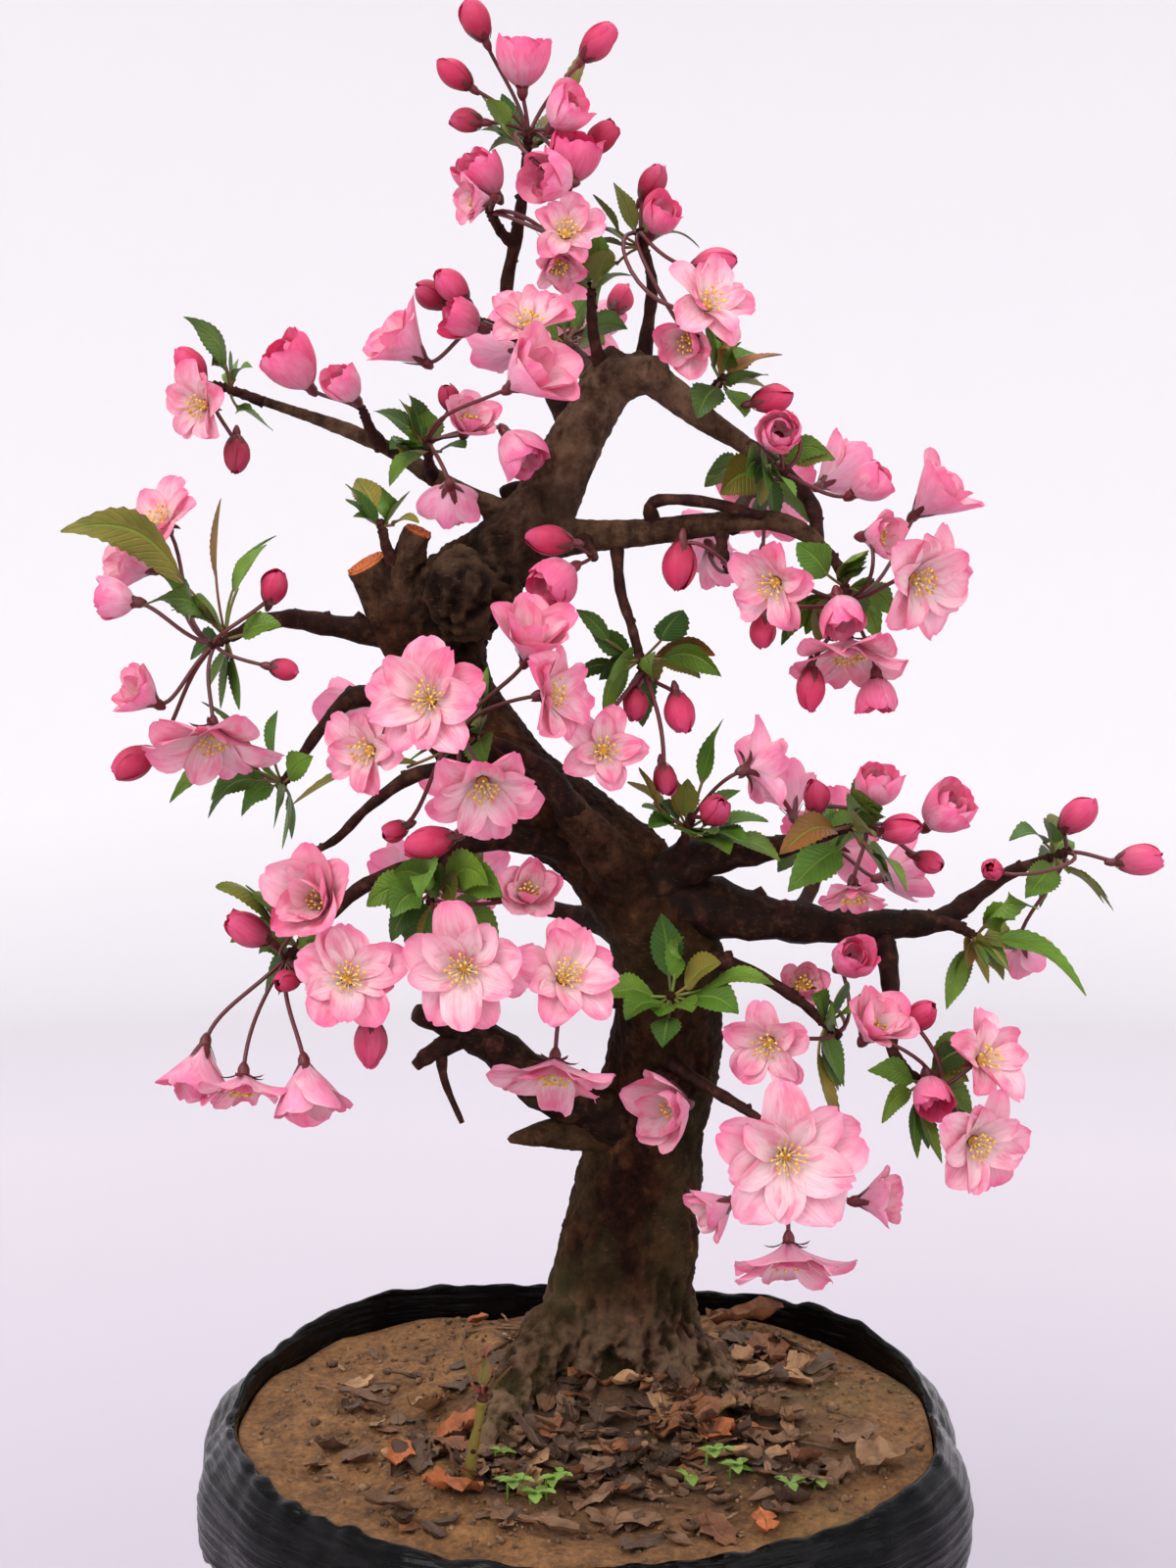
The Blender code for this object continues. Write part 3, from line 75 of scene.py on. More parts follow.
# Radius of the bag's mouth by angle from +X: flat across the back, soft corners elsewhere.
MOUTH = ((0, 101), (28, 101), (50, 98), (70, 87), (90, 83), (110, 88), (136, 104), (160, 103),
         (182, 104), (206, 102), (232, 101), (252, 100), (270, 100), (290, 100), (312, 102), (336, 104))
RIM_FRONT = 151.0
RIM_BACK = 167.0

# Trunk, branches and twigs: sides of the tube, then its route as x, y, z and radius.
WOOD = {
    "trunk": (10, ((7, 16, 137, 31), (9, 16, 150, 27.5), (10, 16, 164, 24), (10, 16, 185, 21.2),
                   (13, 16, 206, 19.4), (16, 15, 221, 17.6), (19, 12, 239, 16.6), (22, 8, 257, 16.5),
                   (23, 4, 276, 16.3), (20, 0, 294, 15.6), (11, 0, 308, 14.5), (-2, 2, 320, 13.6),
                   (-20, 6, 334, 13), (-35, 9, 351, 13), (-42, 8, 367, 13.4), (-40, 6, 383, 13.4),
                   (-29, 5, 395, 12), (-17, 4, 407, 10.2), (-9, 5, 420, 8.6), (-2, 6, 434, 7.9),
                   (5, 8, 447, 7.6), (11, 9, 454, 6.8))),
    "root_left": (5, ((0, 10, 178, 10), (-11, 1, 174, 8.5), (-19, -10, 166, 7), (-25, -20, 158, 5.5),
                      (-29, -29, 149, 4), (-31, -41, 147, 3), (-31, -53, 146, 2.2))),
    "sucker": (3, ((-31, -50, 146.5, 2), (-31, -51, 158, 1.5), (-29, -51, 168, 1.3), (-28, -51, 174, 1.3))),
    "root_right": (5, ((19, 12, 172, 11), (31, 7, 164, 8), (39, 2, 157, 5.5), (45, -3, 148, 4))),
    "root_back": (5, ((4, 22, 170, 11), (-4, 38, 163, 8), (-8, 50, 157, 5.5), (-12, 60, 148, 4))),
    "stub_left": (7, ((-44, 8, 368, 10.5), (-53, 6, 379, 8.6), (-58, 5, 388, 7), (-63, 2, 397, 6.2))),
    "stub_mid": (5, ((-56, 4, 384, 5.2), (-52, 0, 395, 4.5), (-47, -3, 406, 4.3))),
    "stub_top": (7, ((8, 6, 448, 7), (15, 0, 449, 5.6), (20, -5, 449, 5))),
    "knob_top": (5, ((-15, 6, 409, 5), (-20, 8, 414, 4.2), (-22, 9, 419, 3.6))),
    "root_stub": (5, ((6, 6, 234, 7), (-11, 0, 234, 4.2), (-23, -4, 233, 1.2))),
    "fork": (7, ((16, -4, 302, 10), (8, -12, 312, 7.5), (0, -16, 322, 5.8), (-6, -20, 330, 4.6))),
    "left_mid": (5, ((-52, 8, 376, 5), (-72, 2, 379, 3.3), (-84, -2, 381, 2.7), (-93, -6, 379, 2.2),
                     (-99, -9, 376, 1.5))),
    "right_high": (7, ((-19, 4, 403, 7), (0, 0, 404, 4.6), (16, -4, 405, 3.9), (33, -8, 407, 3.4),
                       (49, -12, 408, 2.9), (60, -16, 404, 2.5), (65, -19, 398, 1.9))),
    "right_high_tip": (5, ((64, -18, 400, 2), (68, -22, 395, 1.6), (69, -24, 391, 1.4))),
    "parallel_twig": (3, ((19, -4, 405, 2.4), (18, -8, 413, 1.8), (31, -14, 413, 1.6),
                          (48, -14, 409, 1.5))),
    "pendant": (3, ((8, -2, 402, 2), (9, -8, 389, 1.5), (12, -12, 379, 1.4), (14, -15, 371, 1.3))),
    "right_high_under": (3, ((37, -9, 406, 2.4), (37, -11, 401, 1.6), (38, -12, 397, 1.3))),
    "right_high_inner": (5, ((12, 8, 453, 5.5), (23, 4, 445, 4.5), (33, 2, 437, 3.6), (44, -4, 429, 2.6),
                             (50, -9, 424, 1.6))),
    "right_high_link": (4, ((44, -4, 429, 2.6), (55, -6, 421, 2.3), (62, -10, 412, 2.1),
                            (63, -15, 402, 2))),
    "crown_side": (3, ((28, 3, 441, 2.8), (33, 0, 443, 1.8), (36, -3, 446, 1.3))),
    "apex": (5, ((-4, 6, 434, 4.5), (-12, 10, 450, 2.8), (-20, 8, 463, 2.3), (-23, 6, 473, 2),
                 (-20, 3, 488, 1.8), (-18, 0, 500, 1.6), (-17, -2, 509, 1.3))),
    "crown_left": (3, ((-18, 8, 460, 2.2), (-24, 4, 462, 1.6), (-28, 0, 463, 1.3))),
    "twig_left": (3, ((-21, 3, 486, 2), (-24, -1, 488, 1.5), (-26, -5, 491, 1.3))),
    "crown_mid": (3, ((5, 6, 448, 2.8), (2, 3, 458, 1.8), (1, 1, 466, 1.5), (1, 0, 471, 1.3))),
    "crown_right": (3, ((15, 8, 450, 3), (17, 6, 464, 1.9), (18, 4, 475, 1.6), (16, 2, 483, 1.3))),
    "left_high": (5, ((-20, 5, 409, 4.5), (-34, 10, 416, 3), (-45, 12, 422, 2.7), (-54, 13, 428, 2.4),
                      (-69, 14, 435, 2.1), (-86, 15, 441, 1.8), (-95, 15, 444, 1.6))),
    "left_high_tip": (3, ((-93, 15, 443, 1.7), (-98, 15, 445, 1.5), (-101, 15, 446, 1.3))),
    "left_high_spur": (3, ((-59, 13, 430, 2.4), (-62, 9, 435, 1.6), (-63, 6, 438, 1.3))),
    "left_high_mid": (3, ((-44, 12, 421, 2.6), (-45, 7, 424, 1.8), (-45, 3, 427, 1.3))),
    "stub_leaves": (3, ((-52, 2, 393, 3.6), (-56, -4, 400, 1.8), (-57, -7, 405, 1.3))),
    "left_low_twig": (4, ((-46, 9, 356, 5), (-65, 6, 359, 3.2), (-74, 2, 352, 1.9), (-81, -2, 342, 1.5),
                          (-85, -4, 336, 1.3))),
    "bare_twig": (4, ((-30, 6, 338, 3), (-48, 8, 337, 2.2), (-62, 4, 328, 1.6), (-71, 0, 319, 1.3),
                      (-78, -3, 315, 1))),
    "left_low": (5, ((8, -4, 312, 6), (-10, -8, 318, 4.6), (-28, -16, 320, 3.2), (-45, -24, 314, 2.6),
                     (-60, -28, 309, 2.1), (-71, -32, 300, 1.8), (-77, -34, 294, 1.3))),
    "low_left_front": (3, ((-38, -21, 316, 2.6), (-40, -27, 312, 1.6), (-41, -31, 309, 1.3))),
    "low_left_branch": (7, ((16, 8, 232, 11), (1, 2, 241, 8), (-13, -4, 249, 7), (-26, -10, 261, 5.5),
                            (-38, -14, 268, 4.3), (-48, -18, 272, 2.6))),
    "low_left_nub": (4, ((-34, -12, 265, 3.8), (-44, -16, 260, 2.6), (-48, -18, 257, 1.6))),
    "low_left_thorn": (3, ((-41, -15, 262, 1.8), (-40, -17, 253, 1.2), (-35, -18, 241, 0.7))),
    "centre": (4, ((-3, -18, 326, 4.6), (-8, -23, 334, 3.8), (-14, -25, 341, 2.8), (-22, -27, 346, 1.9),
                   (-28, -29, 349, 1.3))),
    "trunk_bud": (3, ((-2, 0, 404, 3), (0, -8, 401, 1.7), (1, -12, 399, 1.3))),
    "right_tip": (7, ((18, -2, 301, 12.5), (33, -6, 300, 9), (50, -8, 297, 6.6), (69, -8, 295, 5),
                      (86, -6, 295, 4.2), (100, -4, 296, 3.5), (109, -2, 302, 2.7), (120, 0, 309, 2),
                      (131, 1, 313, 1.3))),
    "right_mid": (5, ((18, -6, 305, 9), (29, -10, 313, 6.5), (41, -13, 316, 4.6), (54, -15, 318, 3.2),
                      (64, -16, 321, 2.2), (71, -17, 323, 1.3))),
    "centre_right": (3, ((25, -12, 312, 4), (26, -17, 318, 2), (27, -20, 322, 1.3))),
    "right_outer": (3, ((96, -4, 296, 3), (103, -8, 295, 1.9), (107, -11, 293, 1.3))),
    "right_hang": (5, ((83, -5, 295, 3.6), (84, -12, 284, 2.8), (84, -20, 273, 2.3), (83, -27, 264, 1.8),
                       (86, -32, 259, 1.5), (89, -35, 257, 1.3))),
    "right_inner": (3, ((27, -2, 287, 4.5), (45, -14, 283, 1.9), (58, -21, 276, 1.6), (64, -25, 271, 1.3))),
    "low_right": (4, ((22, 0, 256, 4), (27, -22, 256, 1.9), (35, -40, 254, 1.6), (42, -47, 251, 1.4),
                      (46, -50, 248, 1.3))),
    "trunk_leaves": (3, ((24, -6, 270, 4), (24, -19, 274, 1.7), (23, -25, 277, 1.3))),
    "trunk_spur": (3, ((21, 0, 252, 4), (21, -13, 253, 2), (22, -19, 254, 1.3))),
    "trunk_front": (3, ((18, -6, 276, 5), (5, -17, 275, 2), (-1, -22, 276, 1.6), (-4, -26, 278, 1.3))),
    "back_crown": (3, ((3, 8, 446, 3.5), (0, 22, 454, 2), (-4, 32, 460, 1.6), (-6, 38, 462, 1.3))),
    "back_high": (4, ((40, -9, 407, 3), (43, 6, 412, 2.2), (47, 20, 418, 1.7), (50, 28, 421, 1.3))),
    "back_left": (4, ((-28, 8, 344, 5), (-34, 26, 346, 2.8), (-42, 40, 352, 1.9), (-46, 47, 355, 1.3))),
    "back_right": (4, ((58, -8, 296, 4), (62, 10, 298, 2.4), (68, 26, 305, 1.8), (71, 34, 310, 1.3))),
    "back_low": (4, ((12, 4, 292, 6), (-4, 24, 294, 3), (-22, 38, 296, 2), (-30, 44, 297, 1.3))),
}
BURR = (-33, -3, 388, 14)

# Flowers of each spray: form, middle of the flower, the way it faces (turn from the front toward
# +X, and tilt upward, in degrees) and its size (width of an open flower or a cup, length of a
# half-open one or a bud).
FLOWERS = {
    "apex": (
        ("bud", -31, -6, 545, -60, 60, 12),
        ("bud", -37, -8, 530, -70, 35, 11.5),
        ("bud", -34, -8, 517, -90, 5, 9),
        ("bud", 3, -2, 540, 70, 45, 12.5),
        ("half", -6, -14, 518, 50, 35, 12),
        ("bud", 4, -2, 514, 60, 40, 10.5),
        ("half", -18, -8, 533, 0, 75, 15),
        ("half", -4, -12, 506, 25, 60, 15),
        ("half", -10, -20, 499, -50, 0, 14),
    ),
    "twig_left": (
        ("half", -29, -10, 502, -50, 45, 14),
        ("cup", -30, -16, 494, -60, -10, 15),
        ("open", -6, -18, 485, 10, 15, 21),
        ("cup", -8, -14, 477, 10, -40, 15),
    ),
    "crown_right": (
        ("bud", 18, -2, 502, 50, 50, 10.5),
        ("half", 20, -8, 491, 30, 40, 11),
        ("bud", 35, -10, 478, 80, 10, 13),
        ("open", 32, -24, 465, 25, 25, 26),
        ("cup", 27, -14, 456, -20, -20, 18),
    ),
    "crown_left": (
        ("bud", -44, 0, 471, -60, 25, 10),
        ("bud", -38, -6, 473, -50, 35, 12),
        ("half", -35, -10, 463, -70, 20, 12),
        ("open", -16, -20, 460, 0, 35, 24),
        ("cup", -50, -6, 456, -60, 35, 23),
    ),
    "left_high_tip": (
        ("open", -109, 4, 441, -35, -10, 24),
        ("bud", -113, 8, 453, -60, 50, 12),
        ("bud", -100, 8, 427, 0, -80, 11),
    ),
    "left_high_spur": (
        ("half", -83, 2, 452, -50, 45, 17),
        ("half", -68, -2, 446, -40, 40, 11),
    ),
    "left_high_mid": (
        ("bud", -39, -2, 443, -20, 60, 7),
        ("cup", -33, -8, 435, 20, 30, 17),
        ("cup", -16, -34, 445, 50, 25, 25),
        ("half", -19, -10, 427, 60, -50, 14),
        ("cup", -38, -8, 415, 180, -30, 18),
    ),
    "left_mid": (
        ("open", -122, 12, 409, -30, 40, 27),
        ("cup", -129, 6, 396, -60, 10, 20),
        ("half", -131, -12, 386, -85, 5, 12),
        ("bud", -86, -16, 390, 30, 50, 11),
        ("bud", -83, -16, 367, 85, -10, 8),
        ("cup", -122, -18, 360, -50, 30, 17),
        ("open", -103, -20, 349, 0, -60, 36),
        ("bud", -126, -14, 341, -60, -30, 13),
    ),
    "centre": (
        ("open", -41, -56, 360, -15, 10, 33),
        ("cup", -15, -44, 375, 20, 50, 24),
        ("open", -10, -50, 361, 60, 5, 28),
        ("open", -58, -42, 346, -30, 0, 25),
        ("open", -27, -56, 338, 10, -40, 32),
        ("bud", -42, -44, 322, -80, -10, 13),
        ("bud", -52, -36, 324, -60, -20, 7),
    ),
    "pendant": (
        ("bud", 13, -22, 357, 0, -60, 10),
        ("bud", 25, -24, 355, 30, -70, 12),
        ("bud", 21, -28, 337, 20, -60, 9),
        ("open", 4, -38, 346, 5, 5, 23),
    ),
    "centre_right": (
        ("open", 44, -36, 341, 115, 10, 26),
        ("bud", 34, -38, 330, 20, 30, 11),
    ),
    "trunk_bud": (
        ("bud", -11, -22, 402, -85, 5, 13),
        ("half", -9, -24, 391, -50, -30, 15),
    ),
    "right_high_inner": (
        ("bud", 51, -14, 441, 70, 10, 12),
        ("half", 52, -20, 431, 0, 5, 12),
        ("half", 77, -18, 418, 60, 30, 12),
    ),
    "right_high_tip": (
        ("cup", 78, -26, 403, 50, 0, 16),
        ("cup", 95, -12, 414, 60, 40, 24),
        ("open", 87, -38, 391, 40, -15, 32),
        ("open", 49, -40, 390, -30, -20, 26),
        ("open", 70, -28, 373, 0, -70, 34),
        ("half", 67, -40, 382, 20, -60, 11),
        ("bud", 47, -32, 377, 0, -80, 10),
        ("bud", 60, -30, 361, 0, -86, 13),
        ("half", 78, -28, 360, 20, -84, 11),
    ),
    "right_high_under": (
        ("bud", 25, -20, 395, -30, -80, 14),
        ("cup", 36, 2, 398, 150, -40, 18),
    ),
    "right_mid": (
        ("bud", 62, -24, 333, -20, 60, 11),
        ("half", 79, -20, 335, 30, 60, 13),
        ("half", 99, -14, 328, 45, 40, 15),
        ("bud", 85, -28, 324, 60, 10, 12),
        ("bud", 94, -20, 314, 60, -20, 8),
        ("open", 72, -28, 307, 0, -60, 20),
    ),
    "right_tip": (
        ("bud", 139, -2, 326, 60, 45, 14),
        ("bud", 156, -4, 313, 85, 5, 13),
        ("bud", 113, -10, 311, -20, 20, 7),
        ("cup", 127, 12, 286, 150, -40, 17),
    ),
    "right_hang": (
        ("cup", 75, -50, 274, 30, 45, 21),
        ("open", 105, -44, 264, 35, 25, 26),
        ("open", 102, -50, 243, 25, -10, 29),
        ("half", 91, -46, 255, 10, -45, 11),
        ("bud", 90, -34, 274, 60, 40, 10),
    ),
    "right_inner": (
        ("open", 48, -42, 268, -20, -10, 25),
        ("cup", 60, -14, 279, 0, 20, 15),
        ("half", 72, -24, 288, 30, 30, 12),
    ),
    "low_right": (
        ("open", 50, -74, 245, 5, 5, 38),
        ("cup", 33, -60, 228, -70, -20, 17),
        ("cup", 75, -58, 230, 70, 10, 18),
        ("open", 52, -62, 217, 0, -65, 33),
    ),
    "trunk_spur": (
        ("cup", 22, -36, 249, -45, 0, 23),
    ),
    "left_low": (
        ("cup", -71, -52, 308, -20, 20, 25),
        ("open", -62, -58, 288, 10, 20, 30),
        ("cup", -103, -44, 262, -20, -65, 23),
        ("open", -90, -54, 260, 0, -70, 26),
        ("cup", -74, -50, 258, 20, -65, 23),
        ("bud", -57, -50, 269, 10, -80, 14),
        ("bud", -91, -38, 298, -70, 30, 13),
        ("bud", -80, -44, 285, -40, 0, 7),
    ),
    "low_left_front": (
        ("open", -32, -62, 291, -5, 5, 33),
        ("cup", -16, -38, 308, 15, 20, 18),
    ),
    "trunk_front": (
        ("open", -6, -56, 288, 25, 30, 30),
        ("open", -9, -46, 262, -10, -62, 33),
    ),
    "back_crown": (
        ("open", -4, 62, 470, 178, 20, 30),
        ("cup", -24, 52, 464, -140, 15, 24),
        ("bud", 10, 50, 478, 150, 50, 12),
    ),
    "back_high": (
        ("open", 54, 52, 420, 170, 10, 32),
        ("cup", 74, 38, 424, 120, 30, 24),
        ("cup", 38, 48, 408, -150, -30, 23),
        ("bud", 52, 36, 394, 180, -80, 13),
    ),
    "back_left": (
        ("open", -52, 70, 358, -165, 10, 32),
        ("cup", -72, 56, 352, -120, 10, 24),
        ("cup", -42, 60, 376, 170, 50, 22),
        ("open", -40, 60, 334, 160, -50, 28),
    ),
    "back_right": (
        ("open", 76, 58, 312, 165, 10, 32),
        ("cup", 94, 42, 304, 110, 10, 22),
        ("cup", 62, 52, 326, -170, 50, 22),
        ("bud", 84, 44, 330, 130, 60, 12),
    ),
    "back_low": (
        ("open", -38, 66, 300, -160, 10, 30),
        ("cup", -56, 52, 302, -120, 20, 23),
        ("open", -30, 58, 276, 180, -60, 29),
        ("bud", -48, 54, 282, -150, -60, 12),
    ),
}

# Leaves whose place is drawn: tip, length and width of the blade, how far it arches, and its colour.
LEAVES = {
    "apex": (
        (0, -6, 549, 26, 8, 2, "olive"),
        (-27, -14, 522, 11, 7, 1, "green"),
        (-13, -18, 523, 10, 7, 1, "green"),
        (-26, -8, 508, 10, 7, 1, "green"),
    ),
    "crown_right": (
        (9, 0, 507, 16, 5, 2, "olive"),
        (5, -4, 501, 12, 5, 2, "olive"),
        (31, 0, 484, 15, 6, 3, "olive"),
        (7, -6, 464, 15, 6, 3, "olive"),
    ),
    "crown_mid": (
        (12, -8, 475, 12, 7, 1, "green"),
        (-9, -6, 475, 11, 6, 1, "green"),
        (5, -6, 483, 12, 5, 2, "olive"),
    ),
    "left_high_tip": (
        (-92, 6, 437, 12, 6, 1, "green"),
        (-95, 8, 452, 9, 5, 1, "green"),
    ),
    "left_high_mid": (
        (-60, 0, 439, 20, 7, 2, "dark"),
        (-44, -6, 437, 11, 8, 1, "green"),
        (-53, -6, 430, 12, 7, 1, "green"),
        (-56, 2, 418, 13, 7, 1, "green"),
    ),
    "stub_leaves": (
        (-67, -10, 418, 18, 6, 2, "dark"),
        (-65, -10, 409, 11, 6, 1, "green"),
        (-49, -13, 416, 13, 6, 1, "green"),
        (-57, -14, 417, 11, 5, 1, "green"),
    ),
    "left_mid": (
        (-145, -14, 405, 38, 11, 9, "olive"),
        (-101, -12, 414, 23, 6, 1, "brown"),
        (-87, -4, 404, 19, 5, 2, "green"),
        (-88, -16, 401, 16, 9, 1, "green"),
        (-121, -24, 384, 19, 7, 2, "dark"),
        (-119, -4, 394, 12, 5, 1, "green"),
        (-84, -18, 379, 12, 7, 1, "green"),
    ),
    "left_low_twig": (
        (-118, -12, 332, 26, 7, 7, "green"),
        (-107, -8, 326, 16, 6, 3, "dark"),
        (-96, -10, 345, 13, 7, 1, "green"),
        (-108, -8, 358, 24, 5, 4, "green"),
        (-84, -12, 355, 14, 7, 2, "green"),
        (-76, -14, 343, 12, 7, 1, "green"),
    ),
    "centre": (
        (-75, -48, 329, 33, 9, 8, "olive"),
    ),
    "pendant": (
        (-1, -18, 387, 13, 4, 1, "dark"),
        (1, -20, 377, 13, 6, 1, "dark"),
        (26, -24, 383, 12, 10, 1, "dark"),
        (35, -16, 371, 17, 6, 2, "brown"),
        (3, -18, 364, 13, 7, 1, "dark"),
    ),
    "centre_right": (
        (36, -30, 353, 19, 5, 2, "green"),
        (16, -32, 332, 12, 9, 1, "green"),
        (14, -32, 346, 16, 4, 2, "brown"),
        (52, -30, 315, 17, 8, 2, "green"),
        (38, -36, 318, 14, 8, 1, "green"),
    ),
    "right_high_inner": (
        (36, -18, 415, 15, 10, 1, "olive"),
        (64, -22, 412, 13, 8, 1, "green"),
        (66, -6, 425, 12, 6, 1, "green"),
    ),
    "crown_side": (
        (54, -4, 454, 17, 5, 2, "brown"),
        (40, -8, 460, 14, 5, 3, "brown"),
        (30, -12, 436, 12, 8, 1, "dark"),
        (43, -12, 436, 12, 8, 1, "green"),
    ),
    "right_high_tip": (
        (56, -28, 401, 12, 8, 1, "green"),
        (78, -16, 386, 11, 7, 1, "green"),
    ),
    "right_mid": (
        (51, -38, 318, 20, 8, 3, "brown"),
        (86, -40, 304, 19, 9, 5, "green"),
        (75, -32, 334, 14, 7, 2, "brown"),
        (54, -30, 307, 18, 9, 2, "green"),
        (82, -36, 319, 15, 8, 2, "olive"),
    ),
    "right_tip": (
        (138, -10, 290, 26, 7, 9, "green"),
        (147, -6, 301, 14, 3, 3, "green"),
        (129, -8, 324, 10, 7, 1, "dark"),
        (118, -8, 319, 13, 8, 2, "dark"),
        (122, -12, 303, 14, 8, 1, "green"),
    ),
    "right_outer": (
        (139, -14, 276, 26, 7, 6, "green"),
        (111, -18, 280, 15, 7, 2, "olive"),
        (99, -20, 273, 18, 8, 2, "green"),
        (104, -24, 285, 12, 6, 1, "brown"),
    ),
    "right_hang": (
        (103, -34, 256, 14, 6, 1, "olive"),
        (75, -38, 260, 13, 6, 1, "green"),
        (100, -32, 269, 12, 7, 1, "green"),
    ),
    "right_inner": (
        (75, -24, 282, 15, 8, 1, "dark"),
        (60, -36, 280, 13, 7, 1, "green"),
        (68, -38, 258, 15, 8, 2, "green"),
        (82, -44, 252, 21, 7, 4, "olive"),
    ),
    "trunk_leaves": (
        (24, -36, 296, 16, 6, 2, "green"),
        (38, -42, 272, 18, 9, 2, "green"),
        (50, -38, 283, 21, 5, 3, "green"),
        (10, -40, 274, 15, 8, 2, "green"),
        (20, -42, 267, 12, 7, 1, "dark"),
    ),
    "sucker": (
        (-33, -53, 190, 12, 4, 1, "brown"),
        (-26, -56, 191, 12, 4, 1, "brown"),
        (-20, -53, 184, 11, 3.5, 1, "brown"),
    ),
    "left_low": (
        (-100, -46, 312, 22, 8, 3, "olive"),
        (-92, -54, 289, 20, 6, 3, "green"),
        (-68, -44, 298, 14, 8, 1, "green"),
    ),
    "low_left_front": (
        (-26, -50, 311, 20, 9, 3, "green"),
        (-57, -42, 300, 15, 9, 2, "dark"),
        (-52, -38, 313, 13, 8, 1, "green"),
        (-20, -44, 300, 17, 8, 2, "green"),
    ),
    "back_crown": (
        (-22, 46, 474, 18, 8, 3, "green"),
        (12, 46, 468, 16, 8, 2, "dark"),
    ),
    "back_high": (
        (66, 36, 410, 18, 8, 3, "green"),
        (36, 40, 424, 16, 8, 2, "dark"),
    ),
    "back_left": (
        (-66, 50, 342, 20, 8, 3, "green"),
        (-34, 62, 350, 16, 8, 2, "olive"),
    ),
    "back_right": (
        (90, 40, 320, 20, 8, 3, "green"),
        (58, 46, 304, 17, 8, 2, "dark"),
    ),
    "back_low": (
        (-52, 48, 310, 20, 8, 3, "green"),
        (-20, 58, 296, 16, 8, 2, "dark"),
    ),
}
# Small leaves set round a spur by the golden angle, as many as find room.
ROSETTE = {"apex": 1, "crown_mid": 1, "left_high_tip": 1, "right_high_tip": 3,
           "left_low": 1, "back_crown": 2, "back_high": 2, "back_left": 2, "back_right": 2,
           "back_low": 1, "centre": 3}
# How those leaves grow: degrees from the spur, length, the blade's share of it, width and tone.
SMALL_LEAF = ((40, 75), (12, 17), 0.72, (6, 8), ("green", "green", "dark"))

GOLDEN_ANGLE = math.radians(137.508)
UP = Vector((0, 0, 1))
SPUR_KNOB = 3.0
ROOT_SUNK = 0.8
PETALS = 5
# Slope of a petal, in degrees above the flower's plane, at its claw and at its tip.
PETAL_SLOPE = {"open": (45, -10), "cup": (70, 30), "half": (50, 85)}
SEAT_RADIUS = 1.8
BUD_SUNK = 1.6
PETAL_HALF_WIDTH = 0.37
PETAL_HOLLOW = 0.28
PETIOLE_HALF_WIDTH = 0.5
# Clear room round a leaf or flower and round a stalk, and the balls that stand for a stalk and a knob.
CLEARANCE = 0.7
STALK_CLEARANCE = 0.5
STALK_BALL = 0.65
KNOB_BALL = 1.8


def smooth_route(points, steps):
    """A Catmull-Rom curve through points of any size, steps to a span."""
    rows = [Vector(point) for point in points]
    rows = [2 * rows[0] - rows[1]] + rows + [2 * rows[-1] - rows[-2]]
    route = []
    for before, start, end, after in zip(rows, rows[1:], rows[2:], rows[3:]):
        for step in range(steps):
            t = step / steps
            bend = 2 * before - 5 * start + 4 * end - after
            twist = 3 * start - 3 * end + after - before
            route.append(0.5 * (2 * start + (end - before) * t + bend * t * t + twist * t ** 3))
    return route + [rows[-2]]


def wood_route(name, steps=2):
    return smooth_route(WOOD[name][1], steps)


def facing(turn, tilt):
    turn, tilt = math.radians(turn), math.radians(tilt)
    return Vector((math.sin(turn) * math.cos(tilt), -math.cos(turn) * math.cos(tilt), math.sin(tilt)))


def frame_about(axis, toward=UP):
    """Two directions square to axis, the first as near to toward as it can be."""
    first = toward - axis * toward.dot(axis)
    if first.length < 1e-3:
        first = Vector((1, 0, 0)) - axis * axis.x
    first.normalize()
    return first, axis.cross(first)


def petal_arc(form, s):
    """Distance from the flower's axis and height above its seat, per petal length, and the slope."""
    start, end = (math.radians(angle) for angle in PETAL_SLOPE[form])
    change = end - start
    slope = start + change * s
    return (math.sin(slope) - math.sin(start)) / change, (math.cos(start) - math.cos(slope)) / change, slope


def petal_outline(s):
    """Half width of a petal, as a share of its widest, from claw to tip."""
    widest = 0.6
    if s < widest:
        return 0.3 + 0.7 * math.sin(math.pi / 2 * s / widest)
    return math.sqrt(max(0.0, 1 - ((s - widest) / (1.02 - widest)) ** 2))


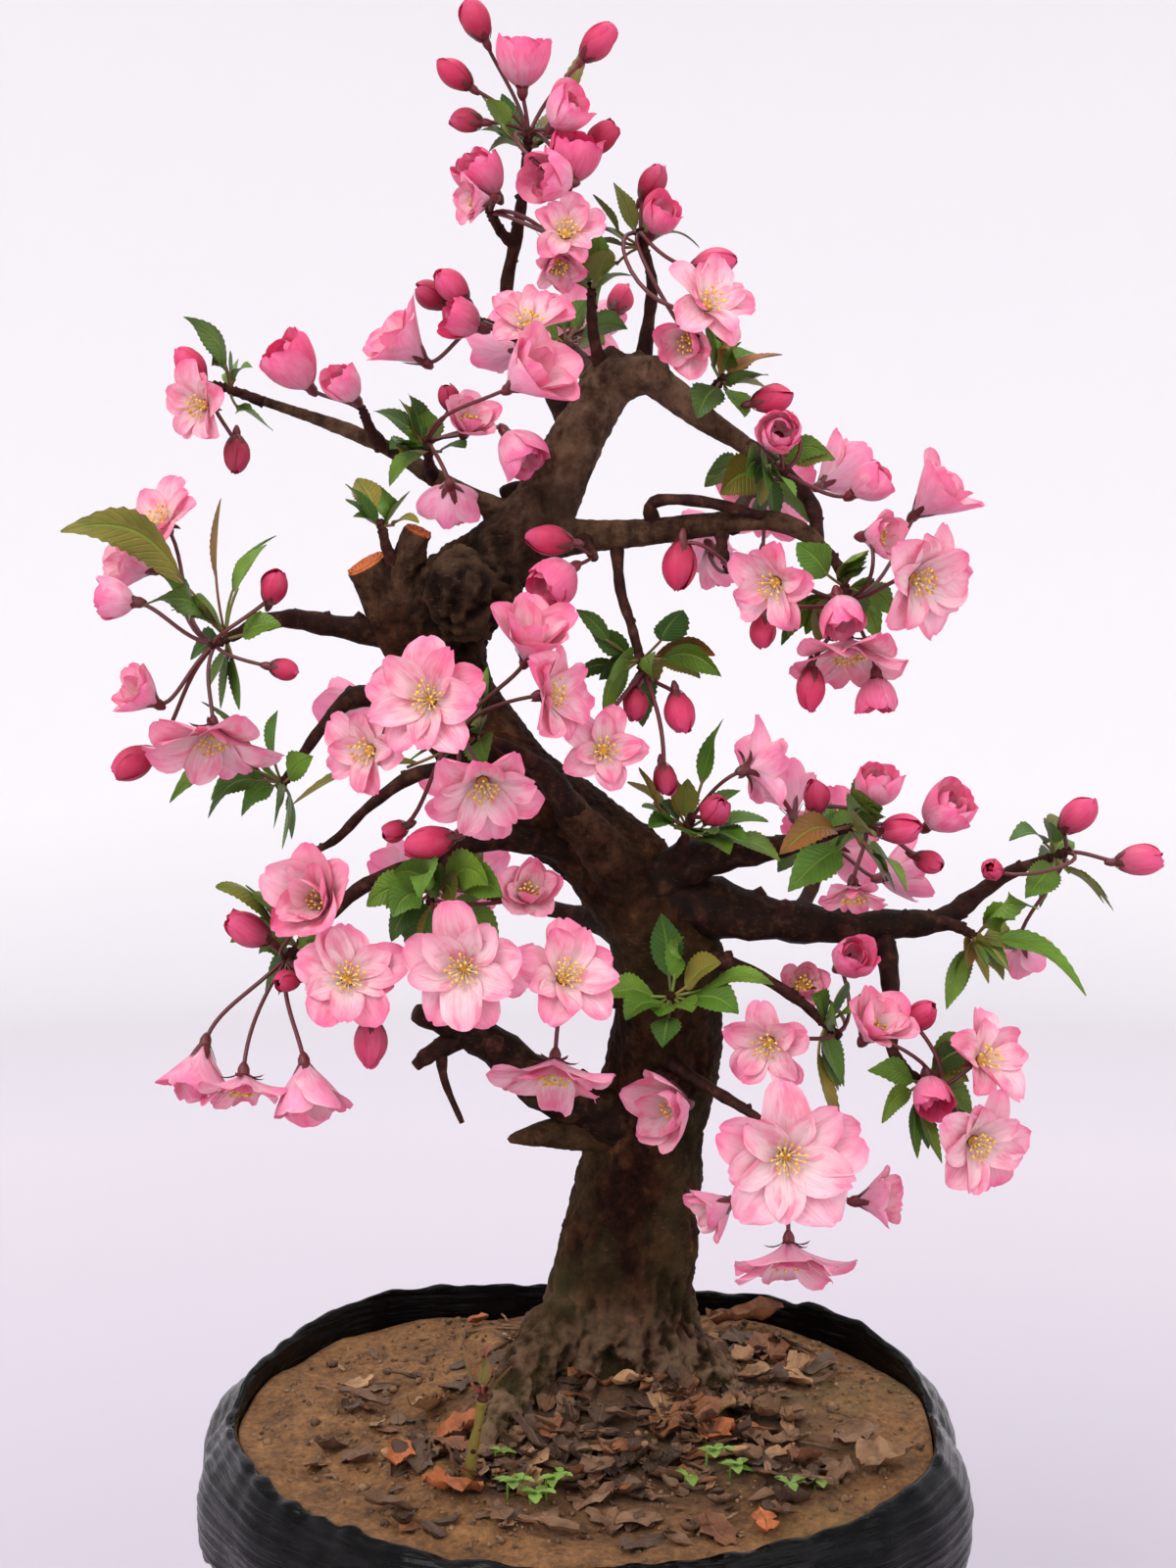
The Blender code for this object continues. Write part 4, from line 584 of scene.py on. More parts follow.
class Flower:
    def __init__(self, row, number):
        self.form, x, y, z, turn, tilt, self.size = row
        self.facing = facing(turn, tilt)
        self.middle = Vector((x, y, z))
        self.roll = GOLDEN_ANGLE * number
        if self.form == "bud":
            self.length = self.size
            self.height = self.size
        else:
            reach, rise, _ = petal_arc(self.form, 1)
            self.length = self.size if self.form == "half" else (self.size / 2 - SEAT_RADIUS) / reach
            self.height = self.length * rise
        self.seat = self.middle - self.facing * self.height / 2
        self.sunk = self.facing * (BUD_SUNK if self.form == "bud" else 0)
        self.across, self.aside = frame_about(self.facing)
        self.stalk = []

    def place(self, angle, radius, side, height):
        """A point of a petal that stands at angle round the flower."""
        outward = self.across * math.cos(angle) + self.aside * math.sin(angle)
        sideways = self.aside * math.cos(angle) - self.across * math.sin(angle)
        return self.seat + outward * radius + sideways * side + self.facing * height

    def petal_point(self, petal, s, t):
        reach, rise, slope = petal_arc(self.form, s)
        half = PETAL_HALF_WIDTH * self.length * petal_outline(s)
        hollow = PETAL_HOLLOW * half * t * t
        angle = self.roll + petal * 2 * math.pi / PETALS
        radius = SEAT_RADIUS + reach * self.length - math.sin(slope) * hollow
        return self.place(angle, radius, half * t, rise * self.length + math.cos(slope) * hollow)

    def spheres(self):
        if self.form == "bud":
            return [(self.middle + self.facing * self.size * k, self.size * 0.3) for k in (-0.2, 0.0, 0.22)]
        found = [(self.seat + self.facing * 1.5, 2.6)]
        ball = 0.16 * self.length
        for petal in range(PETALS):
            for s, t in ((0.3, 0), (0.6, -0.6), (0.6, 0.6), (0.9, -0.35), (0.9, 0.35)):
                found.append((self.petal_point(petal, s, t), ball))
        return found

    def stalk_steps(self):
        """How many points the solid stalk has: one more on a long one."""
        return 4 if (self.stalk[2] - self.stalk[0]).length > 26 else 3

    def stalk_balls(self):
        """Balls along the smooth stalk and along its solid's straight spans."""
        found = [(point, STALK_BALL) for point in self.stalk_points(15)[1:13]]
        corners = self.stalk_points(self.stalk_steps())
        for start, end in zip(corners, corners[1:]):
            found += [(start.lerp(end, share), STALK_BALL) for share in (0.2, 0.4, 0.6, 0.8, 1)]
        return [(point, radius) for point, radius in found
                if (point - self.stalk[0]).length > 1.6 and (point - self.seat).length > 3.5]

    def stalk_points(self, count):
        start, bend, end = self.stalk
        run = end - start
        leave = (self.spur_axis * 0.6 + run.normalized() * 0.7) * run.length
        arrive = self.facing * run.length * 0.9
        found = []
        for step in range(count):
            t = step / (count - 1)
            point = (start * (2 * t ** 3 - 3 * t * t + 1) + leave * (t ** 3 - 2 * t * t + t)
                     + end * (3 * t * t - 2 * t ** 3) + arrive * (t ** 3 - t * t))
            found.append(point + bend * 4 * t * (1 - t))
        return found


class Leaf:
    def __init__(self, root, tip, row, axis):
        self.blade, self.width, self.arch, self.tone = row
        self.root, self.tip, self.axis = root, tip, axis
        run = tip - root
        self.blade = min(self.blade, run.length * 0.95)
        aside = run - axis * run.dot(axis)
        aside = aside.normalized() if aside.length > 0.5 else frame_about(axis)[0]
        self.knee = root + aside * run.length * 0.32 + run * 0.22 + UP * self.arch
        self.root = root + (self.knee - root).normalized() * ROOT_SUNK
        self.start = 1 - self.blade / run.length

    def spine(self, s):
        return self.root * (1 - s) ** 2 + self.knee * 2 * s * (1 - s) + self.tip * s * s

    def half_width(self, s):
        if s <= self.start:
            return PETIOLE_HALF_WIDTH
        along = (s - self.start) / (1 - self.start)
        widening = math.sin(math.pi * along ** 0.85) ** 0.8
        return max(PETIOLE_HALF_WIDTH * (1 - along), self.width / 2 * widening)

    def point(self, s, t, fold=0.28):
        """A point of the blade: t runs across it, and its edges stand up either side of the midrib."""
        ahead = (self.spine(min(1, s + 0.02)) - self.spine(max(0, s - 0.02))).normalized()
        face = self.axis * 0.8 + UP * 0.5
        normal, side = frame_about(ahead, face.normalized())
        half = self.half_width(s)
        return self.spine(s) + side * half * t + normal * half * fold * abs(t)

    def rows(self):
        """Where along the leaf its solid has corners between its root and its tip."""
        shares = (0.36, 0.74) if self.blade >= 18 else (0.5,)
        found = [self.start + (1 - self.start) * share for share in shares]
        return ([self.start] if self.start > 0.35 else []) + found

    def spheres(self):
        found = []
        corners = [0, *self.rows(), 1]
        for low, high in zip(corners, corners[1:]):
            for share in (0.25, 0.5, 0.75, 1):
                half = self.half_width(low) + (self.half_width(high) - self.half_width(low)) * share
                for t in (-0.7, 0, 0.7) if half > 1 else (0,):
                    point = self.point(low, t).lerp(self.point(high, t), share)
                    found.append((point, max(0.75, half * 0.36)))
        for s in (0.12, 0.24, 0.36, 0.48, 0.6, 0.72, 0.84, 0.96):
            half = self.half_width(s)
            if half < 1:
                found.append((self.point(s, 0), 0.75))
                continue
            for t in (-0.7, 0, 0.7):
                found.append((self.point(s, t), max(0.75, half * 0.36)))
        return [(point, radius) for point, radius in found if (point - self.root).length > 2.3]


class Space:
    """Balls that stand for what is already placed, each with its owner and its part's name."""

    def __init__(self):
        self.balls = []
        self.owners = []
        self.grid = None

    def add(self, owner, balls):
        self.balls += [(*point, radius) for point, radius in balls]
        self.owners += [owner] * len(balls)
        self.grid = None

    def clear(self, balls, ignoring, gap=CLEARANCE):
        if self.grid is None:
            self.grid = np.array(self.balls)
            self.names = np.array(self.owners)
        kept = self.grid[~np.isin(self.names, ignoring)]
        ours = np.array([(*point, radius) for point, radius in balls])
        apart = np.linalg.norm(kept[None, :, :3] - ours[:, None, :3], axis=2)
        return bool((apart - kept[None, :, 3] - ours[:, None, 3] > gap).all())


def wood_balls(name):
    route = smooth_route(WOOD[name][1], 6)
    return [(Vector(point[:3]), point[3]) for point in route]


def spur_of(name):
    """The end of a spur and the way it points."""
    *_, before, end = (Vector(point[:3]) for point in WOOD[name][1])
    return end, (end - before).normalized()


class Spray:
    def __init__(self, name):
        self.name = name
        self.tip, self.axis = spur_of(name)
        self.has_leaves = name in LEAVES
        self.leaf_knob = self.tip + self.axis * (FIT_GAP + SPUR_KNOB / 2)
        skipped = FIT_GAP + SPUR_KNOB if self.has_leaves else 0
        self.flower_knob = self.leaf_knob + self.axis * skipped
        self.flowers = [Flower(row, number) for number, row in enumerate(FLOWERS.get(name, ()))]
        self.leaves = []


def lay_stalk(space, spray, flower, key):
    """The straightest flower stalk that is clear of the wood and of the other flowers."""
    flower.spur_axis = spray.axis
    end = flower.seat + flower.sunk
    first, second = frame_about((end - spray.flower_knob).normalized())
    bends = [Vector()]
    for reach in (3, 6, 9, 13):
        bends += [first * reach, second * reach, -second * reach, -first * reach]
    for bend in bends:
        flower.stalk = (spray.flower_knob, bend, end)
        if space.clear(flower.stalk_balls(), [key, spray.name + " stalk"], STALK_CLEARANCE):
            break
    else:
        flower.stalk = (spray.flower_knob, Vector(), end)
    space.add(spray.name + " stalk", flower.stalk_balls())


def grow_leaf(space, spray, tip, row, own):
    """The leaf nearest the one that is drawn which is clear of all but its own spray's leaves."""
    run = tip - spray.leaf_knob
    square = spray.axis.cross(run)
    square = square.normalized() if square.length > 1e-3 else frame_about(spray.axis)[1]
    for lift in (0, 14, -14, 28, -28, 45):
        for turn in (0, 12, -12, 24, -24, 38, -38, 54, -54, 75, -75):
            way = run.copy()
            way.rotate(Quaternion(square, math.radians(lift)))
            way.rotate(Quaternion(spray.axis, math.radians(turn)))
            leaf = Leaf(spray.leaf_knob, spray.leaf_knob + way, row, spray.axis)
            if space.clear(leaf.spheres(), [own]):
                return leaf
    return None


def grow_rosette(space, spray, numbers, habit, draw):
    """Small leaves round a spur by the golden angle, one for each number, where there is room."""
    spreads, lengths, blade_share, widths, tones = habit
    own = spray.name + " leaves"
    first, second = frame_about(spray.axis)
    for number in numbers:
        angle = GOLDEN_ANGLE * number + draw.uniform(0, 1)
        spread = math.radians(draw.uniform(*spreads))
        length = draw.uniform(*lengths)
        outward = first * math.cos(angle) + second * math.sin(angle)
        way = spray.axis * math.cos(spread) + outward * math.sin(spread)
        row = (length * blade_share, draw.uniform(*widths), 1, draw.choice(tones))
        leaf = grow_leaf(space, spray, spray.leaf_knob + way * length, row, own)
        if leaf:
            spray.leaves.append(leaf)
            space.add(own, leaf.spheres())


def arrange():
    """Every spray with its flowers and leaves in their final places."""
    space = Space()
    for name in WOOD:
        space.add("wood", wood_balls(name))
    *middle, radius = BURR
    space.add("wood", [(Vector(middle), radius)])
    sprays = [Spray(name) for name in WOOD if name in FLOWERS or name in LEAVES]
    for spray in sprays:
        if spray.has_leaves:
            space.add(spray.name + " leaves", [(spray.leaf_knob, KNOB_BALL)])
        if spray.flowers:
            space.add(spray.name + " stalk", [(spray.flower_knob, KNOB_BALL)])
        for number, flower in enumerate(spray.flowers):
            space.add(f"{spray.name} {number}", flower.spheres())
    for spray in sprays:
        for number, flower in enumerate(spray.flowers):
            lay_stalk(space, spray, flower, f"{spray.name} {number}")
    for spray in sprays:
        own = spray.name + " leaves"
        for x, y, z, *row in LEAVES.get(spray.name, ()):
            leaf = grow_leaf(space, spray, Vector((x, y, z)), row, own)
            if leaf:
                spray.leaves.append(leaf)
                space.add(own, leaf.spheres())
    draw = random.Random(7)
    for spray in sprays:
        grow_rosette(space, spray, range(ROSETTE.get(spray.name, 0)), SMALL_LEAF, draw)
    return sprays


def mouth_radius(angle):
    """The bag's mouth radius at an angle in radians, smooth through MOUTH's corners."""
    degrees = math.degrees(angle) % 360
    rows = [(MOUTH[-1][0] - 360, MOUTH[-1][1])] + list(MOUTH) + [(MOUTH[0][0] + 360, MOUTH[0][1])]
    for (low, start), (high, end) in zip(rows, rows[1:]):
        if low <= degrees <= high:
            t = (degrees - low) / (high - low)
            return start + (end - start) * (3 * t * t - 2 * t ** 3)
    return rows[0][1]


def rim_height(angle):
    back = max(0.0, math.sin(angle))
    return RIM_FRONT + (RIM_BACK - RIM_FRONT) * back ** 0.8 + 2.5 * math.cos(2 * angle)


def soil_height(x, y):
    away = math.hypot(x - MOUND_X, y - MOUND_Y)
    mound = MOUND_HEIGHT * math.exp(-((away / MOUND_WIDTH) ** 2))
    waves = 1.4 * math.sin(x / 13 + 1) * math.cos(y / 17) + 0.8 * math.sin(x / 7 + y / 9)
    return SOIL_LEVEL + mound + waves + 0.035 * (y + 90)


# ---------------------------------------------------------------------------------------------
# Meshes
# ---------------------------------------------------------------------------------------------

MM = 0.001
# Faces that meet at a sharper turn than this, as a petal's two sides do, keep their own shading.
CREASE = math.radians(105)


class Skin:
    """Grids of points gathered into one mesh. Each point has a place on its grid and a tint.

    Every grid is a ring: its last column joins its first.
    """

    def __init__(self):
        self.points = []
        self.places = []
        self.tints = []
        self.faces = []
        self.slots = []
        self.count = 0

    def grid(self, points, place, tint, slot=0):
        rows, columns = points.shape[:2]
        index = self.count + np.arange(rows * columns).reshape(rows, columns)
        index = np.concatenate([index, index[:, :1]], axis=1)
        faces = np.stack([index[:-1, :-1], index[:-1, 1:], index[1:, 1:], index[1:, :-1]], axis=-1)
        faces = faces.reshape(-1, 4)
        self.points.append(points.reshape(-1, 3))
        self.places.append(np.broadcast_to(place, points.shape).reshape(-1, 3))
        self.tints.append(np.broadcast_to(np.append(tint, 1.0), (rows * columns, 4)))
        self.faces.append(faces)
        self.slots.append(np.full(len(faces), slot))
        self.count += rows * columns

    def build(self, name, materials):
        mesh = bpy.data.meshes.new(name)
        mesh.from_pydata((np.concatenate(self.points) * MM).tolist(), [], np.concatenate(self.faces).tolist())
        for material in materials:
            mesh.materials.append(material)
        mesh.polygons.foreach_set("material_index", np.concatenate(self.slots).astype(np.int32))
        place = mesh.attributes.new("place", "FLOAT_VECTOR", "POINT")
        place.data.foreach_set("vector", np.concatenate(self.places).astype(np.float32).ravel())
        tint = mesh.attributes.new("tint", "FLOAT_COLOR", "POINT")
        tint.data.foreach_set("color", np.concatenate(self.tints).astype(np.float32).ravel())
        solid = bmesh.new()
        solid.from_mesh(mesh)
        bmesh.ops.remove_doubles(solid, verts=solid.verts, dist=1e-7)
        bmesh.ops.recalc_face_normals(solid, faces=solid.faces)
        solid.to_mesh(mesh)
        solid.free()
        mesh.shade_smooth()
        mesh.set_sharp_from_angle(angle=CREASE)
        item = bpy.data.objects.new(name, mesh)
        bpy.context.scene.collection.objects.link(item)
        return item


def unit(rows):
    return rows / np.maximum(np.linalg.norm(rows, axis=-1, keepdims=True), 1e-9)


def cross_frames(centres):
    """Two directions square to a route at each of its points, turned as little as can be."""
    ahead = unit(np.gradient(centres, axis=0))
    first = np.zeros_like(centres)
    side = np.array(frame_about(Vector(ahead[0]))[0])
    for row, way in enumerate(ahead):
        side = side - way * side.dot(way)
        side = side / np.linalg.norm(side)
        first[row] = side
    return first, np.cross(ahead, first)


def add_tube(skin, route, sides, tint, slot=0, lumps=0.0, draw=None):
    """A round tube along rows of x, y, z and radius, closed at both ends."""
    route = np.array([tuple(row) for row in route], float)
    route = np.concatenate([route[:1], route, route[-1:]])
    centres = route[:, :3].copy()
    centres[0] -= 0.01 * (centres[2] - centres[0])
    centres[-1] += 0.01 * (centres[-1] - centres[-3])
    first, second = cross_frames(centres)
    angle = np.linspace(0, 2 * math.pi, sides, endpoint=False)
    radius = route[:, 3].copy()
    radius[[0, -1]] = 0
    radius = radius[:, None] * np.ones(sides)
    if lumps:
        phase = draw.uniform(0, 9)
        along = np.arange(len(route))[:, None]
        swell = np.sin(1.9 * along + phase)
        bulge = np.sin(2 * angle + along * 0.9 + phase)
        radius *= 1 + lumps * (0.6 * swell + 0.4 * bulge)
    out = first[:, None] * np.cos(angle)[:, None] + second[:, None] * np.sin(angle)[:, None]
    points = centres[:, None] + out * radius[..., None]
    place = np.zeros(points.shape)
    place[..., 0] = angle / (2 * math.pi)
    place[..., 1] = np.linspace(0, 1, len(route))[:, None]
    place[..., 2] = route[:, 3][:, None]
    skin.grid(points, place, tint, slot)


def add_ball(skin, middle, axis, length, width, tint, slot, columns=6, rows=5):
    """A small egg shape along axis."""
    first, second = frame_about(axis)
    t = np.linspace(0, 1, rows)[:, None]
    angle = np.linspace(0, 2 * math.pi, columns, endpoint=False)
    radius = width / 2 * np.sin(math.pi * t) ** 0.8
    out = np.array(first) * np.cos(angle)[:, None] + np.array(second) * np.sin(angle)[:, None]
    points = (np.array(middle) + np.array(axis) * (t - 0.5)[..., None] * length
              + radius[..., None] * out[None])
    skin.grid(points, np.zeros(3), tint, slot)


def thicken(points, thickness):
    """A closed ring of columns from a sheet's two faces, which meet at its edges and its tip."""
    rows, columns = points.shape[:2]
    down, across = np.gradient(points, axis=0), np.gradient(points, axis=1)
    normal = unit(np.cross(across, down))
    s = np.linspace(0, 1, rows)[:, None]
    t = np.linspace(-1, 1, columns)[None, :]
    depth = thickness * np.sqrt(np.maximum(0, 1 - t * t)) * (1 - s ** 6)
    back = points - normal * depth[..., None]
    place = np.zeros(points.shape)
    place[..., 0] = t
    place[..., 1] = s
    behind = place.copy()
    behind[..., 2] = 1
    ring = np.concatenate([points, back[:, -2:0:-1]], axis=1)
    return ring, np.concatenate([place, behind[:, -2:0:-1]], axis=1)


# ---------------------------------------------------------------------------------------------
# Flowers
# ---------------------------------------------------------------------------------------------

PETAL, CALYX, STAMEN, ANTHER, TWIG = range(5)
STALK_RADIUS = 0.6
FILAMENT_RADIUS = 0.16
PETAL_THICKNESS = 0.15
SEPAL_THICKNESS = 0.25
SEPALS = 5
SEPAL_LENGTH = 5.5
# Slope of the sepals at claw and tip: under a bud, an open flower and a fuller cup.
SEPAL_SLOPE = {"bud": (46, 90), "open": (40, -30), "cup": (58, 62), "half": (58, 62)}
# Above this width a flower is a large one: it has more stamens, and if open one more inner petal.
LARGE_FLOWER = 28
STAMENS_LARGE, STAMENS_SMALL = 24, 16
LONGEST_STAMEN = 6.8
# How far the stamens fan out, in degrees from the flower's axis.
STAMEN_SPREAD = {"open": 32, "cup": 20}
# The urn under a flower's seat: how far along the flower's axis, and radius.
URN = ((-3.6, 0.6), (-2.8, 1.15), (-1.8, 1.6), (-0.8, 1.62), (0.1, 1.75), (0.8, 1.5))
# How far a petal wraps round the flower's axis, and its width, by form.
PETAL_WRAP = {"open": 0.12, "cup": 0.5, "half": 0.95}
PETAL_BREADTH = {"open": 1.06, "cup": 1.2, "half": 1.5}
BUD_WRAP = 0.96
BUD_BREADTH = 1.3
# How much longer a petal is here than the solid that stands for it, so that flowers crowd.
PETAL_FULLER = {"open": 1.11, "cup": 1.1, "half": 1.04}
# How deep the pink of a petal is, from 0 for the palest to 1 and more for a bud's red.
PETAL_DEPTH = {"open": 0.17, "cup": 0.03, "half": 0.56, "bud": 1.02}
# How much deeper, or paler, the pink of a spray is than that of the others.
SPRAY_DEPTH = {"centre": 0.14, "pendant": 0.14, "left_low": 0.1, "low_right": -0.24, "left_mid": -0.12,
               "left_high_tip": -0.12, "right_high_tip": -0.08, "right_hang": -0.06}


def polar_points(flower, angle, radius, side, height):
    across, aside = np.array(flower.across), np.array(flower.aside)
    outward = np.cos(angle)[..., None] * across + np.sin(angle)[..., None] * aside
    sideways = np.cos(angle)[..., None] * aside - np.sin(angle)[..., None] * across
    return (np.array(flower.seat) + outward * radius[..., None] + sideways * side[..., None]
            + np.array(flower.facing) * height[..., None])


def add_petal(skin, flower, angle, length, breadth, slopes, wrap, tint, draw, rows=12, columns=7):
    """One cupped petal, with its own tip, ruffle, crease and twist."""
    s = np.linspace(0, 1, rows)[:, None]
    t = np.linspace(-1, 1, columns)[None, :]
    point, notch = draw.uniform(0.02, 0.09), draw.uniform(0.0, 0.07)
    ground = s - s ** 3 * (point * t * t + notch * np.exp(-(t / 0.2) ** 2))
    start, end = (math.radians(slope) for slope in slopes)
    slope = start + (end - start) * ground
    radius = SEAT_RADIUS * 0.7 + length * (np.sin(slope) - math.sin(start)) / (end - start)
    height = length * (math.cos(start) - np.cos(slope)) / (end - start)
    widest = draw.uniform(0.5, 0.68)
    outline = np.where(s < widest, 0.24 + 0.76 * np.sin(math.pi / 2 * np.minimum(s, widest) / widest),
                       np.sqrt(np.maximum(0, 1 - ((s - widest) / (1.04 - widest)) ** 2)))
    edge = 1 + 0.07 * np.sin(9 * s + draw.uniform(0, 6.3)) * np.abs(t) ** 3
    half = PETAL_HALF_WIDTH * length * outline * breadth * edge
    hollow = PETAL_HOLLOW * half * t * t * (1 - wrap)
    phase, wave = draw.uniform(0, 6.3), draw.uniform(0.03, 0.09) * (1 - 0.4 * wrap)
    ruffle = wave * length * t * t * s * np.sin(6.5 * s + phase + 2.2 * t)
    crease = -0.035 * length * np.exp(-(t / 0.2) ** 2) * np.sin(math.pi * s)
    twist = draw.uniform(-0.12, 0.12) * (1 - wrap) * half * t * s
    fold = np.where(t > 0, draw.uniform(-0.3, 0.55), draw.uniform(-0.3, 0.55))
    curl = fold * (1 - wrap) * half * np.abs(t) ** 3 * s
    lift = hollow + ruffle + crease + twist + curl
    turned = np.clip(wrap * half * t / np.maximum(radius, 0.22 * length), -1.15, 1.15)
    overlap = wrap * 0.05 * length * t * s
    sway = draw.uniform(-0.09, 0.09) * length * s * s * (1 - wrap)
    points = polar_points(flower, angle + turned, radius - np.sin(slope) * lift + overlap,
                          (1 - wrap) * half * t + sway, height + np.cos(slope) * lift)
    ring, place = thicken(points[:, ::-1], PETAL_THICKNESS)
    skin.grid(ring, place, tint, PETAL)


def add_sepals(skin, flower, spread, reach, draw):
    """Pointed sepals round the seat: spread is their slope at the claw and at the tip."""
    s = np.linspace(0, 1, 5)[:, None]
    t = np.linspace(-1, 1, 5)[None, :]
    for number in range(SEPALS):
        angle = flower.roll + (number + 0.5) * 2 * math.pi / SEPALS + draw.uniform(-0.15, 0.15)
        start, end = (math.radians(slope + draw.uniform(-3, 3)) for slope in spread)
        slope = start + (end - start) * s
        radius = SEAT_RADIUS * 0.75 + reach * (np.sin(slope) - math.sin(start)) / (end - start)
        height = reach * (math.cos(start) - np.cos(slope)) / (end - start) - 0.5
        half = 1.15 * (1 - s) ** 0.8 * (0.75 + 0.9 * s)
        turned = np.clip(half * t / np.maximum(radius, 1.2), -0.7, 0.7)
        points = polar_points(flower, angle + turned, radius + 0.2, np.zeros(1), height)
        ring, place = thicken(points, SEPAL_THICKNESS)
        skin.grid(ring, place, (0.5 + draw.uniform(-0.2, 0.2), 0, 0), CALYX)


def add_calyx(skin, flower, draw):
    """The urn under the seat and the stalk that carries it."""
    route = [(*point, STALK_RADIUS) for point in flower.stalk_points(13)]
    add_tube(skin, route, 6, (draw.uniform(0.2, 0.6), 0, 0), CALYX)
    girth = 0.75 if flower.form == "bud" else 1.0
    route = [(*(flower.seat + flower.facing * along), radius * girth) for along, radius in URN]
    add_tube(skin, route, 10, (draw.uniform(0.4, 0.9), 0, 0), CALYX)


def add_stamens(skin, flower, count, reach, spread, draw):
    """Thin filaments that fan out from the flower's middle, each with its anther."""
    add_ball(skin, flower.seat + flower.facing, flower.facing, 2.0, 3.2, (0.7, 0, 0), ANTHER, 9, 6)
    for number in range(count):
        angle = GOLDEN_ANGLE * number
        share = math.sqrt((number + 0.5) / count)
        lean = math.radians(spread * share + draw.uniform(-3, 3))
        outward = flower.across * math.cos(angle) + flower.aside * math.sin(angle)
        way = flower.facing * math.cos(lean) + outward * math.sin(lean)
        foot = flower.seat + outward * (0.4 + 0.7 * share) + flower.facing * 0.4
        length = reach * draw.uniform(0.8, 1.08)
        knee = foot + (flower.facing * 0.5 + way * 0.5) * length * 0.5
        tip = foot + way * length
        route = [(*point, FILAMENT_RADIUS) for point in (foot, knee, tip)]
        add_tube(skin, route, 4, (draw.random(), 0, 0), STAMEN)
        turned = (way + outward * 0.8).normalized()
        add_ball(skin, tip, turned, 1.2, 0.9, (draw.random(), 0, 0), ANTHER, 5, 4)


def add_bud(skin, flower, draw):
    """A bud of broad petals wound round a core, closed or parting at its tip."""
    depth = PETAL_DEPTH["bud"] + (0.16 if flower.size < 11.5 else 0.0) + draw.uniform(-0.16, 0.08)
    core = flower.middle - flower.facing * 0.04 * flower.size
    add_ball(skin, core, flower.facing, 0.84 * flower.size, 0.46 * flower.size,
             (depth + 0.1, 0.5, 0), PETAL, 10, 8)
    closing = draw.uniform(138, 156)
    for petal in range(PETALS):
        angle = flower.roll + petal * 2 * math.pi / PETALS + draw.uniform(-0.08, 0.08)
        slopes = (41 + draw.uniform(-3, 3), closing + draw.uniform(-5, 5))
        tint = (depth + draw.uniform(-0.05, 0.05), draw.random(), 0)
        add_petal(skin, flower, angle, flower.size * draw.uniform(1.06, 1.16),
                  BUD_BREADTH, slopes, BUD_WRAP, tint, draw)


def petal_slopes(form, draw):
    """Slope of the outer petals at claw and tip: some cups are round and some flare."""
    if form == "cup":
        bowl = draw.random()
        return 70 - 32 * bowl, 30 + 42 * bowl
    return {"open": (45, -10), "half": (32, 106)}[form]


def add_flower(skin, flower, deeper, draw):
    add_calyx(skin, flower, draw)
    if flower.form == "bud":
        add_bud(skin, flower, draw)
        add_sepals(skin, flower, SEPAL_SLOPE["bud"], flower.size * 0.46, draw)
        return
    wander = 0.24 if flower.form == "half" else 0.12
    depth = PETAL_DEPTH[flower.form] + deeper + draw.uniform(-wander, wander)
    if flower.form == "open" and flower.size > 30:
        depth -= 0.08
    low, high = petal_slopes(flower.form, draw)
    wrap, breadth = PETAL_WRAP[flower.form], PETAL_BREADTH[flower.form]
    length = flower.length * PETAL_FULLER[flower.form]
    add_sepals(skin, flower, SEPAL_SLOPE[flower.form], SEPAL_LENGTH, draw)
    for petal in range(PETALS):
        angle = flower.roll + petal * 2 * math.pi / PETALS + draw.uniform(-0.09, 0.09)
        slopes = (low + draw.uniform(-3, 3), high + draw.uniform(-9, 9))
        tint = (depth + draw.uniform(-0.12, 0.14), draw.random(), 0)
        add_petal(skin, flower, angle, length * draw.uniform(0.88, 1.07),
                  breadth * draw.uniform(0.84, 1.04), slopes, wrap, tint, draw)
    large = flower.size > LARGE_FLOWER
    inner = 5 if flower.form == "open" and large else 4
    for petal in range(inner):
        angle = flower.roll + (petal + 0.5) * 2 * math.pi / inner + draw.uniform(-0.25, 0.25)
        raised = draw.uniform(26, 60) if petal == 0 else draw.uniform(7, 24)
        slopes = (low + 9, min(132, high + raised))
        tint = (depth - 0.08 + draw.uniform(-0.1, 0.12), draw.random(), 1)
        add_petal(skin, flower, angle, length * draw.uniform(0.8, 0.95),
                  breadth * draw.uniform(0.72, 0.92), slopes, max(wrap, 0.18), tint, draw, 10, 7)
    if flower.form in STAMEN_SPREAD:
        reach = min(LONGEST_STAMEN, 0.26 * flower.length + 2)
        add_stamens(skin, flower, STAMENS_LARGE if large else STAMENS_SMALL, reach,
                    STAMEN_SPREAD[flower.form], draw)


# ---------------------------------------------------------------------------------------------
# Leaves
# ---------------------------------------------------------------------------------------------

BLADE, LEAF_STALK, LEAF_TWIG = range(3)
KNOB_GIRTH = 1.7
LEAF_STALK_RADIUS = 0.42
LEAF_THICKNESS = 0.2
# How far the middle of a blade stands above its chord, as a share of its length.
LEAF_BOW = 0.13
LEAF_TONES = {"green": (0.125, 0.26, 0.024), "dark": (0.05, 0.13, 0.02),
              "olive": (0.24, 0.2, 0.03), "brown": (0.34, 0.115, 0.03), "red": (0.36, 0.07, 0.06)}


